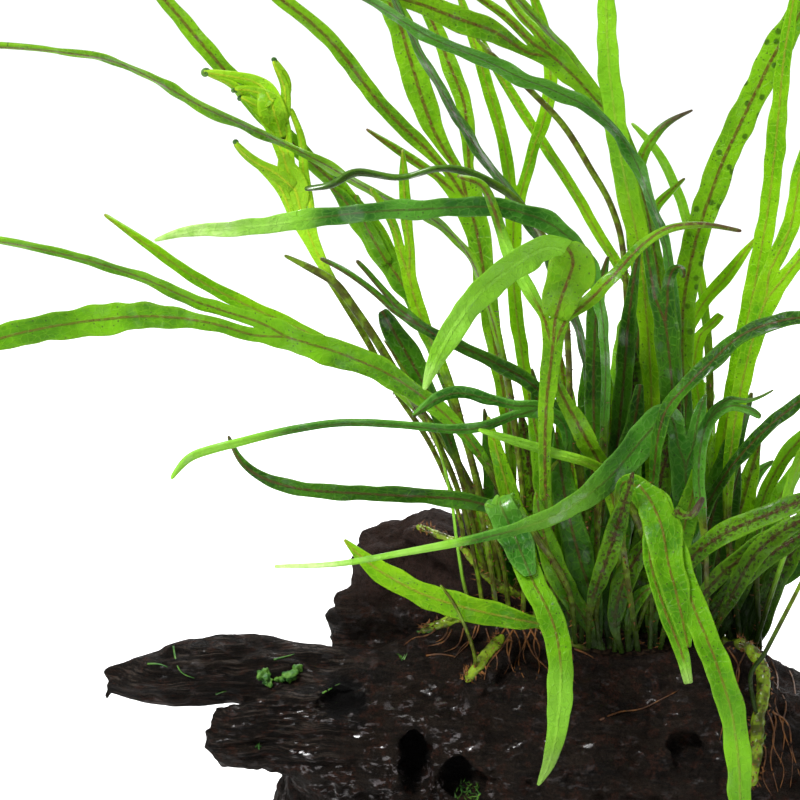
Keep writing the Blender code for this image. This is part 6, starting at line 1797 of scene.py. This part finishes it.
class FERN_OT_fronds(bpy.types.Operator):
    """Model the large fronds, each in the place of its plain solid"""

    bl_idname = "fern.fronds"
    bl_label = "Fronds"

    def execute(self, context):
        laid = comb(lay_out(FRONDS), FRONDS)
        looks = leaf_looks()
        for name, reaches in laid.items():
            frond = make_frond(f"{name}_leaf", reaches, TINTS.get(name, ()))
            finish_piece(frond, look_of(name.removeprefix("frond_"), looks), "leaf", name)
        return {"FINISHED"}


def inner_fronds():
    """The blades that fill the crown, each from its rhizome to its tip."""
    found = {}
    for number, (share, across, up, depth, width, turn) in enumerate(INNER_BLADES):
        x, z, y, _ = rhizome_place(INNER_RHIZOME, share)
        points = []
        for rise, drift, open_by in INNER_SHAPE:
            spot = (x + (across - x) * drift, z + (up - z) * rise, y + (depth - y) * drift)
            points.append((*spot, max(INNER_TIP, width * open_by), turn * rise))
        found[f"inner_blade_{number:02d}"] = Frond(INNER_RHIZOME, share, points)
    return found


class FERN_OT_small_fronds(bpy.types.Operator):
    """Model the small fronds between the large ones"""

    bl_idname = "fern.small_fronds"
    bl_label = "Small Fronds"

    def execute(self, context):
        small = {**SMALL_FRONDS, **inner_fronds()}
        laid = comb(lay_out(FRONDS), FRONDS)
        laid.update(lay_out(small))
        comb(laid, {**FRONDS, **small}, held=set(FRONDS))
        looks = leaf_looks()
        for number, name in enumerate(small):
            look = look_of(name, looks)
            if name not in SMALL_FRONDS:
                look = looks[INNER_LOOKS[number % len(INNER_LOOKS)]]
            finish_piece(make_frond(name, laid[name], TINTS.get(name, ())), look, "leaf")
        return {"FINISHED"}


# ---------------------------------------------------------------- driftwood


def balls(name, spots):
    """A mesh of balls at places in millimetres, each with one radius or three."""
    clear_selection()
    bpy.ops.mesh.primitive_ico_sphere_add(subdivisions=3, radius=1)

    def ball(centre, size):
        """Moves a point of the unit ball to its place on this one."""
        size = Vector(size) if hasattr(size, "__len__") else Vector((size,) * 3)
        return lambda place: centre + Vector(place) * size

    return copies(name, bpy.context.object, [ball(*spot) for spot in spots])


def bed_spots():
    """The ridges of wood under the rhizomes, and a tree of the rhizomes' own places."""
    spots, line_points = [], []
    for points in RHIZOMES.values():
        line = [at(*row[:3]) for row in smooth_curve(points, BED_STEP)]
        for k, place in enumerate(line):
            way = (line[min(k + 1, len(line) - 1)] - line[max(k - 1, 0)]).normalized()
            sunk = WOOD_BED_WAY - way * WOOD_BED_WAY.dot(way)
            spots.append((place + sunk.normalized() * WOOD_BED_SUNK, WOOD_BED))
            line_points.append(place * MM)
    near = kdtree.KDTree(len(line_points))
    for index, place in enumerate(line_points):
        near.insert(place, index)
    near.balance()
    return spots, near


def fine_relief(point):
    """The small relief that only the finished wood has: layered grain, lumps and pits."""
    x, y, z = (c / MM for c in point)

    def lumps(wide, deep, high, shift=0):
        """Noise with lumps of this breadth, depth and height."""
        return noise.noise(Vector((x / wide, y / deep, z / high + shift)))

    def ridges(*grain):
        """Sharp ridges along the middle of the same noise."""
        return WOOD_RIDGE_TOP - abs(lumps(*grain))

    # the left branch is layered along its grain, less so near its broken end
    branch = eased((-62 - x) / 26) * eased((z - 30) / 8)
    layers = ridges(34, 9, 4.2) * 3.6 + ridges(18, 5, 2.2, 5) * 1.9
    layers *= 0.3 + 0.7 * eased((x + 130) / 16)
    # the front of the trunk is rougher than the rest
    front = eased((-6 - y) / 14)
    rough = lumps(6.5, 6, 5) * 1.4 + ridges(3.4, 3.4, 2.8, 9) * 1.9
    rough -= 2.0 * max(0.0, lumps(4.2, 4.2, 3.6, 3) - WOOD_PIT_EDGE)
    rest = lumps(4.5, 4.5, 4) * 0.9 + ridges(2.4, 2.4, 2.0, 4) * 0.8
    return branch * layers + (1 - branch) * (front * rough + (1 - front) * rest)


def grown(away, low, high):
    """From 0 at the low distance to 1 at the high one."""
    return min(1, max(0, (away - low) / (high - low)))


class FERN_OT_driftwood(bpy.types.Operator):
    """Grow the driftwood from its limbs, hollow it and roughen it"""

    bl_idname = "fern.driftwood"
    bl_label = "Driftwood"

    def execute(self, context):
        spots = []
        for limb in WOOD_LIMBS + WOOD_TWIGS:
            rows = smooth_curve(limb, LIMB_STEP)
            spots += [(at(*place), radius) for *place, radius in rows]
        beds, near = bed_spots()
        wood = balls("driftwood", spots + beds)
        apply_modifier(wood, "REMESH", mode="VOXEL", voxel_size=WOOD_COARSE * MM)
        cuts = []
        for *place, wide, high, deep in WOOD_HOLLOWS:
            cuts.append((at(*place), (wide, deep * HOLLOW_DEEPER, high)))
        hollows = balls("hollows", cuts)
        apply_modifier(wood, "BOOLEAN", object=hollows, operation="DIFFERENCE", solver="EXACT")
        bpy.data.objects.remove(hollows)
        apply_modifier(wood, "REMESH", mode="VOXEL", voxel_size=WOOD_FINE * MM)
        wood = largest_part(wood)
        bm = bmesh.new()
        bm.from_mesh(wood.data)
        bm.normal_update()
        shifts = []
        for vert in bm.verts:
            away = near.find(vert.co)[2] / MM
            height = wood_relief(vert.co) * grown(away, *WOOD_CALM)
            height += fine_relief(vert.co) * grown(away, *WOOD_FINE_CALM)
            shifts.append(vert.normal * height * MM)
        for vert, shift in zip(bm.verts, shifts):
            vert.co += shift
        bm.to_mesh(wood.data)
        bm.free()
        pick(wood)
        floor = {"plane_co": (0, 0, 0), "plane_no": (0, 0, 1)}
        edit_all(lambda: bpy.ops.mesh.bisect(**floor, use_fill=True, clear_inner=True))
        bpy.ops.object.shade_smooth()
        nodes = [node for node in frame["nodes"] if node.startswith("driftwood_")]
        finish_piece(wood, wood_look(), "driftwood", *nodes)
        return {"FINISHED"}


# ---------------------------------------------------------------- rhizomes and roots


def rod(name, rows, sides=2):
    """A round rod through rows of (x, y, z, radius) in millimetres, closed at its ends."""
    curve = bpy.data.curves.new(name, "CURVE")
    curve.dimensions = "3D"
    curve.bevel_depth = MM
    curve.bevel_resolution = sides
    curve.use_fill_caps = True
    spline = curve.splines.new("POLY")
    spline.points.add(len(rows) - 1)
    for point, (x, y, z, radius) in zip(spline.points, rows):
        point.co = (x * MM, y * MM, z * MM, 1)
        point.radius = radius
    drawn = bpy.data.objects.new(name, curve)
    bpy.context.scene.collection.objects.link(drawn)
    pick(drawn)
    bpy.ops.object.convert(target="MESH")
    made = bpy.context.object
    edit_all(
        lambda: bpy.ops.mesh.remove_doubles(threshold=SAME),
        lambda: bpy.ops.mesh.normals_make_consistent(inside=False),
    )
    bpy.ops.object.shade_smooth()
    return made


def hidden(name, across):
    """Whether this place on the rhizome is sunk among the leaves' feet."""
    return name == "rhizome_front" and HIDDEN_STRETCH[0] < across < HIDDEN_STRETCH[1]


class FERN_OT_rhizomes(bpy.types.Operator):
    """Model the creeping stems that the fronds grow from"""

    bl_idname = "fern.rhizomes"
    bl_label = "Rhizomes"

    def execute(self, context):
        skin = rhizome_look()
        for name, points in RHIZOMES.items():
            line = smooth_curve(points, RHIZOME_STEP)
            rows = []
            for k, (x, z, y, radius) in enumerate(line):
                ring = RHIZOME_RINGS[1] * math.sin(k * RHIZOME_RINGS[0])
                knot = RHIZOME_KNOTS[1] * noise.noise(Vector((k * RHIZOME_KNOTS[0], y, 3)))
                slimmer = HIDDEN_SLIMMER if hidden(name, x) else 1
                radius *= (1 + ring + knot) * slimmer
                end = min(k, len(line) - 1 - k) + RHIZOME_TIP[0]
                rows.append((*at(x, z, y), radius * math.sqrt(min(1, end / RHIZOME_TIP[1]))))
            stem = rod(f"{name}_stem", rows, sides=3)
            apply_modifier(stem, "SUBSURF", levels=1, render_levels=1)
            roughen(stem, RHIZOME_BUMPS[1], [(RHIZOME_BUMPS[0], 1)])
            finish_piece(stem, skin, "rhizome", name)
        return {"FINISHED"}


def wood_tree():
    """The finished wood's surface, to lay things on."""
    wood = bpy.data.objects["driftwood"]
    return bvhtree.BVHTree.FromObject(wood, bpy.context.evaluated_depsgraph_get())


def on_wood(tree, across, up):
    """Where the line of sight through a place in the front view meets the wood, and which way
    the wood faces there; None twice if it misses."""
    spot, normal, _, _ = tree.ray_cast(EYE * MM, (at(across, up, 0) - EYE).normalized())
    return (spot / MM, normal) if spot is not None else (None, None)


def laid_threads(name, tree, paths, radius):
    """Threads that follow the wood along paths in the front view."""
    threads = []
    for number, path in enumerate(paths):
        rows = []
        for across, up, _ in smooth_curve([(*place, 0.0) for place in path], THREAD_STEP):
            spot, normal = on_wood(tree, across, up)
            if spot is not None:
                rows.append([*(spot + normal * THREAD_LIFT), radius])
        if len(rows) < THREAD_LEAST:
            continue
        rows = np.array(rows)
        for _ in range(THREAD_ROUNDS):
            rows[1:-1, :3] = (rows[:-2, :3] + 2 * rows[1:-1, :3] + rows[2:, :3]) / 4
        rows[:, 3] = radius * (1 - THREAD_TAPER * np.linspace(0, 1, len(rows)) ** 2)
        threads.append(rod(f"{name}.{number}", rows, sides=1))
    return joined(threads, name)


def thorns(name, spots):
    """Small flat cones: each a foot in millimetres, the way it points, its length and breadth."""
    clear_selection()
    bpy.ops.mesh.primitive_cone_add(vertices=4, radius1=1, radius2=0, depth=1)

    def thorn(foot, way, length, breadth):
        """Moves a point of the unit cone to its place on this thorn."""
        turn = Vector(way).to_track_quat("Z", "Y")
        size = np.array((breadth, breadth * 0.5, length))
        return lambda place: Vector(foot) + turn @ Vector((place + (0, 0, 0.5)) * size)

    return copies(name, bpy.context.object, [thorn(*spot) for spot in spots])


class FERN_OT_scales(bpy.types.Operator):
    """Set brown scales on the stalks and the creeping stems"""

    bl_idname = "fern.scales"
    bl_label = "Scales"

    def execute(self, context):
        draw = random.Random(41)
        spots = []

        def scale(line, k, radius, shortest, longest, lean):
            """Adds one scale beside a place on a stalk or a stem."""
            way = Vector(line[min(k + 1, len(line) - 1)] - line[max(k - 1, 0)]).normalized()
            out = way.orthogonal()
            out.rotate(Quaternion(way, draw.uniform(0, 2 * math.pi)))
            foot = Vector(line[k]) + out * radius * SCALE_SUNK
            points = out + way * draw.uniform(-lean, lean)
            spots.append((foot, points, draw.uniform(shortest, longest), SCALE_BREADTH))

        for reaches in comb(lay_out(FRONDS), FRONDS).values():
            rows = smooth_curve(reaches[0].rows[:, :4], SCALE_STEPS[0])
            line = [np.array(at(*row[:3])) for row in rows]
            for k, row in enumerate(rows[: round(SCALY_SHARE * len(rows))]):
                if row[3] > SCALY_WIDTH:
                    break
                if draw.random() < SCALE_CHANCE:
                    scale(line, k, STALK_THICK / 2, *STALK_SCALES)
        for name, points in RHIZOMES.items():
            rows = smooth_curve(points, SCALE_STEPS[1])
            line = [np.array(at(*row[:3])) for row in rows]
            for k, row in enumerate(rows):
                if hidden(name, row[0]):
                    continue
                end = min(k, len(rows) - 1 - k) < SCALE_TUFT
                for _ in range(SHAGGY if end else 1):
                    scale(line, k, row[3], *(END_SCALES if end else RHIZOME_SCALES))
        colours = context.scene.fern_colours
        look = plain_look("scale", colours.scale, colours.root_dark)
        finish_piece(thorns("brown_scales", spots), look, "rhizome")
        return {"FINISHED"}


class FERN_OT_litter(bpy.types.Operator):
    """Lay the leaf fragment, the green threads and the moss on the wood"""

    bl_idname = "fern.litter"
    bl_label = "Litter"

    def execute(self, context):
        draw = random.Random(8)
        tree = wood_tree()
        spots = []
        for across, up, radius in FRAGMENT:
            foot, normal = on_wood(tree, across, up)
            spots.append((foot + normal * FRAGMENT_LIFT, (radius, FRAGMENT_HALF, radius)))
        fragment = balls("leaf_fragment", spots)
        apply_modifier(fragment, "REMESH", mode="VOXEL", voxel_size=FRAGMENT_GRAIN * MM)
        roughen(fragment, FRAGMENT_ROUGH, [(1.5, 1), (0.6, 0.5)])
        pick(fragment)
        bpy.ops.object.shade_smooth()
        colours = context.scene.fern_colours
        moss = plain_look("moss", colours.moss, colours.moss_dark)
        finish_piece(fragment, plain_look("fragment", colours.moss_dark, colours.moss), "leaf")
        threads = laid_threads("green_threads", tree, GREEN_THREADS, THREAD_RADIUS)
        finish_piece(threads, moss, "leaf")
        tufts = []
        for across, up, reach, count in MOSS:
            for _ in range(count):
                turn, away = draw.uniform(0, 2 * math.pi), reach * math.sqrt(draw.random())
                aside, above = away * math.cos(turn), away * math.sin(turn)
                foot, normal = on_wood(tree, across + aside, up + above)
                if foot is None:
                    continue
                way = normal + Vector([draw.uniform(-MOSS_LEAN, MOSS_LEAN) for _ in range(3)])
                long = draw.uniform(*MOSS_LENGTHS)
                tufts.append((foot - normal * MOSS_SUNK, way, long, TUFT_BREADTH))
        finish_piece(thorns("moss", tufts), moss, "leaf")
        return {"FINISHED"}


class FERN_OT_leaf_ends(bpy.types.Operator):
    """Model the torn, folded and curled ends that some leaves have"""

    bl_idname = "fern.leaf_ends"
    bl_label = "Leaf Ends"

    def execute(self, context):
        laid = comb(lay_out(FRONDS), FRONDS)

        def depth_of(owner, across, up):
            """How deep a frond lies at a place in the front view."""
            near = np.concatenate([reach.rows[:, :3] for reach in laid[owner]])
            return near[np.argmin(np.hypot(near[:, 0] - across, near[:, 1] - up)), 2]

        looks = leaf_looks()
        for name, (owner, kind, front, rows) in LEAF_ENDS.items():
            points = [(x, z, depth_of(owner, x, z) - front, *more) for x, z, *more in rows]
            end = make_frond(name, reaches_of(Blade(points)), TINTS.get(name, ()))
            finish_piece(end, looks[kind], "leaf")
        curls = []
        for owner, across, up, begin, size in CURLS:
            depth = depth_of(owner, across, up)
            rows = []
            for k in range(CURL_STEPS):
                angle = math.radians(begin) + k * CURL_TURN
                out = size * (CURL_REACH - k / CURL_CLOSING)
                aside, above = out * math.cos(angle), out * math.sin(angle)
                spot = at(across + aside, up + above, depth - k * CURL_RISE)
                rows.append((*spot, size * (CURL_THICK - CURL_TAPER * k)))
            curls.append(rod("curl", rows))
        colours = context.scene.fern_colours
        look = plain_look("curled tip", colours.moss, colours.moss_dark)
        finish_piece(joined(curls, "curled_tips"), look, "leaf")
        return {"FINISHED"}


class FERN_OT_roots(bpy.types.Operator):
    """Lay the thin roots over the wood"""

    bl_idname = "fern.roots"
    bl_label = "Roots"

    def execute(self, context):
        colours = context.scene.fern_colours
        roots = laid_threads("roots", wood_tree(), ROOTS, ROOT_RADIUS)
        look = plain_look("root", colours.root, colours.root_dark)
        finish_piece(roots, look, "rhizome")
        return {"FINISHED"}


# ---------------------------------------------------------------- stage


class FERN_OT_stage(bpy.types.Operator):
    """Set out the pale floor, the soft lights and the camera"""

    bl_idname = "fern.stage"
    bl_label = "Stage"

    @staticmethod
    def add_light(name, kind, power, place, way):
        """Adds a light at a place in millimetres, shining along a way."""
        data = bpy.data.lights.new(name, kind)
        data.energy = power
        light = bpy.data.objects.new(name, data)
        light.location = Vector(place) * MM
        light.rotation_euler = Vector(way).to_track_quat("-Z", "Y").to_euler()
        bpy.context.scene.collection.objects.link(light)
        return data

    def execute(self, context):
        scene, stage = context.scene, context.scene.fern_stage
        clear_selection()
        bpy.ops.mesh.primitive_plane_add(size=1)
        floor = context.object
        floor.name = "floor"
        left, right, front, back = FLOOR_SIDES
        set_points(floor, [(x, y, 0) for y in (front, back) for x in (left, right)])
        bpy.ops.object.mode_set(mode="EDIT")
        bpy.ops.mesh.select_mode(type="EDGE")
        bpy.ops.mesh.select_all(action="DESELECT")
        bpy.ops.object.mode_set(mode="OBJECT")
        for edge in floor.data.edges:
            edge.select = all(floor.data.vertices[v].co.y > 0 for v in edge.vertices)
        bpy.ops.object.mode_set(mode="EDIT")
        wall = {"value": (0, 0, WALL_HEIGHT * MM)}
        bpy.ops.mesh.extrude_region_move(TRANSFORM_OT_translate=wall)
        bpy.ops.object.mode_set(mode="OBJECT")
        look = Look("pale floor")
        pale = look.noise(look.place(), 400, 2).ramp(0.3, 0.7)
        paper = look.blend(pale, (0.93, 0.93, 0.93), (0.96, 0.96, 0.96))
        floor.data.materials.append(look.done(look.shade(paper, 0.9, look.bump(pale, 0.01, 0.1))))

        # brighter from above and from behind
        room = Look("soft white room", "worlds")
        _, y, z = room.split(room.node("ShaderNodeTexCoord"))
        light = (z.ramp(0.0, 0.8) * 0.9).larger(y.ramp(0.0, 0.5) * 0.9) + 0.09
        sky = room.node("ShaderNodeBackground", inputs={"Strength": light * stage.room})
        scene.world = room.done(sky, "ShaderNodeOutputWorld")

        sun = self.add_light("high soft light", "SUN", stage.sun, (0, 0, 0), SUN_WAY)
        sun.angle = SUN_ANGLE
        for name, (place, breadth, power) in LIGHTS.items():
            way = AIM - Vector(place)
            disk = self.add_light(name, "AREA", getattr(stage, power), place, way)
            disk.shape = "DISK"
            disk.size = breadth * MM
        data = bpy.data.cameras.new("camera")
        data.sensor_width = SENSOR_WIDTH
        data.lens = SENSOR_WIDTH * EYE_DISTANCE / VIEW_SIZE
        camera = bpy.data.objects.new("camera", data)
        camera.location = EYE * MM
        camera.rotation_euler = (math.pi / 2 - VIEW_TILT, 0, 0)
        scene.collection.objects.link(camera)
        scene.camera = camera
        scene.view_settings.view_transform = "Standard"
        return {"FINISHED"}


# ---------------------------------------------------------------- settings and panel


def number_setting(name, default, about, **more):
    """A number that a user may change."""
    return bpy.props.FloatProperty(name=name, description=about, default=default, **more)


def colour_setting(name, default, about):
    """A colour that a user may change."""
    return bpy.props.FloatVectorProperty(
        name=name, description=about, default=default, size=3, subtype="COLOR", min=0, max=1
    )


class FernSizes(bpy.types.PropertyGroup):
    """The forms of blades and stalks"""

    blade_thickness: number_setting("Blade thickness", 0.5, "A blade's thickness, in millimetres")
    keel: number_setting("Keel", 0.16, "How far a blade's edges rise, as a share of its half width")
    wave_height: number_setting("Wave", 0.62, "Height of the edges' waves, by half width")
    wave_length: number_setting("Wave length", 7.0, "Length of the edges' waves, in millimetres")
    jags: number_setting("Uneven edges", 0.24, "How uneven the edges are, by half width")
    slimmer_stalks: number_setting("Slimmer stalks", 0.28, "How much slimmer than the solids'")
    jag_length: number_setting("Edge length", 4.5, "Length of one unevenness, in millimetres")


class FernColours(bpy.types.PropertyGroup):
    """The colours of everything but the blades' own greens, in linear light"""

    stalk: colour_setting("Stalk", (0.105, 0.18, 0.006), "The stalks' green")
    stalk_brown: colour_setting("Stalk brown", (0.055, 0.052, 0.006), "The stalks' brown side")
    # painted shade: the dim colour painted on the stalks' feet in the crown's shade
    shadowed: colour_setting("Crowded feet", (0.008, 0.022, 0.002), "The crown's dim, crowded feet")
    plain: colour_setting("Plain", (0.20, 0.47, 0.03), "Plain light stretches without a brown rib")
    pale: colour_setting("Pale", (0.50, 0.72, 0.24), "Pale stretches and tips")
    wilted: colour_setting("Wilted", (0.045, 0.030, 0.018), "Wilted tips")
    speck: colour_setting("Speck", (0.03, 0.025, 0.008), "Small dark specks")
    spot: colour_setting("Spot", (0.010, 0.024, 0.004), "Round dark spots on the right")
    spore: colour_setting("Spores", (0.026, 0.010, 0.002), "Heaps of spores")
    wood_dark: colour_setting("Wood, dark", (0.0026, 0.0016, 0.0010), "The wood's darkest parts")
    # painted shade: the colour painted inside the hollows
    wood_hollow_shade: colour_setting("Wood, hollows", (0.0012, 0.0009, 0.0007), "Inside its hollows")
    wood_brown: colour_setting("Wood, brown", (0.0165, 0.0098, 0.0056), "Its lighter parts")
    wood_grey: colour_setting("Wood, grey", (0.052, 0.040, 0.032), "Ridges of its grain")
    wood_red: colour_setting("Wood, red", (0.045, 0.015, 0.008), "Reddish specks")
    wood_stump: colour_setting("Stump", (0.042, 0.023, 0.018), "The matte stump at the back")
    # painted highlight: the glints of the wettest facets, painted into the wood's colour
    wood_glint: colour_setting("Wood, wet", (0.14, 0.12, 0.125), "Its wettest facets")
    wood_foot: colour_setting("Foot", (0.085, 0.078, 0.075), "The grey foot on the left")
    rhizome: colour_setting("Rhizome", (0.15, 0.23, 0.012), "The creeping stems")
    rhizome_dark: colour_setting("Rhizome, dark", (0.045, 0.055, 0.008), "Their dark patches")
    root: colour_setting("Root", (0.11, 0.043, 0.010), "The roots' light stretches")
    moss: colour_setting("Moss", (0.065, 0.155, 0.018), "Moss, threads and curled tips")
    moss_dark: colour_setting("Moss, dark", (0.02, 0.075, 0.012), "Their dark sides")
    scale: colour_setting("Scale", (0.19, 0.075, 0.018), "The scales on the stalks and stems")
    root_dark: colour_setting("Root, dark", (0.035, 0.014, 0.006), "The roots' dark stretches")


class FernStage(bpy.types.PropertyGroup):
    """The strengths of the lights"""

    room: number_setting("Room", 1.0, "Brightness of the room")
    sun: number_setting("High light", 2.2, "Strength of the soft light from above")
    key: number_setting("Key", 8.5, "Power of the light at the front left", unit="POWER")
    back: number_setting("Back", 10.0, "Power of the light behind", unit="POWER")


class FERN_PT_panel(bpy.types.Panel):
    """Lists the fern's tools"""

    bl_label = "Java Fern on Driftwood"
    bl_idname = "FERN_PT_panel"
    bl_space_type = "VIEW_3D"
    bl_region_type = "UI"
    bl_category = "Fern"

    def draw(self, context):
        for operator in OPERATORS:
            self.layout.operator(operator.bl_idname)
        for name, group in GROUPS.items():
            box = self.layout.box()
            for key in group.__annotations__:
                box.prop(getattr(context.scene, name), key)


OPERATORS = [
    FERN_OT_driftwood,
    FERN_OT_rhizomes,
    FERN_OT_roots,
    FERN_OT_fronds,
    FERN_OT_small_fronds,
    FERN_OT_leaf_ends,
    FERN_OT_scales,
    FERN_OT_litter,
    FERN_OT_stage,
]
GROUPS = {"fern_sizes": FernSizes, "fern_colours": FernColours, "fern_stage": FernStage}


def register():
    """Registers the settings, the tools and the panel."""
    for group in GROUPS.values():
        bpy.utils.register_class(group)
    for name, group in GROUPS.items():
        setattr(bpy.types.Scene, name, bpy.props.PointerProperty(type=group))
    for operator in OPERATORS:
        bpy.utils.register_class(operator)
    bpy.utils.register_class(FERN_PT_panel)


def unregister():
    """Takes them out again."""
    bpy.utils.unregister_class(FERN_PT_panel)
    for operator in OPERATORS:
        bpy.utils.unregister_class(operator)
    for name, group in GROUPS.items():
        delattr(bpy.types.Scene, name)
        bpy.utils.unregister_class(group)


def main():
    """Makes every piece in order."""
    register()
    bpy.ops.fern.driftwood()
    bpy.ops.fern.rhizomes()
    bpy.ops.fern.roots()
    bpy.ops.fern.fronds()
    bpy.ops.fern.small_fronds()
    bpy.ops.fern.leaf_ends()
    bpy.ops.fern.scales()
    bpy.ops.fern.litter()
    bpy.ops.fern.stage()


if __name__ == "__main__":
    main()
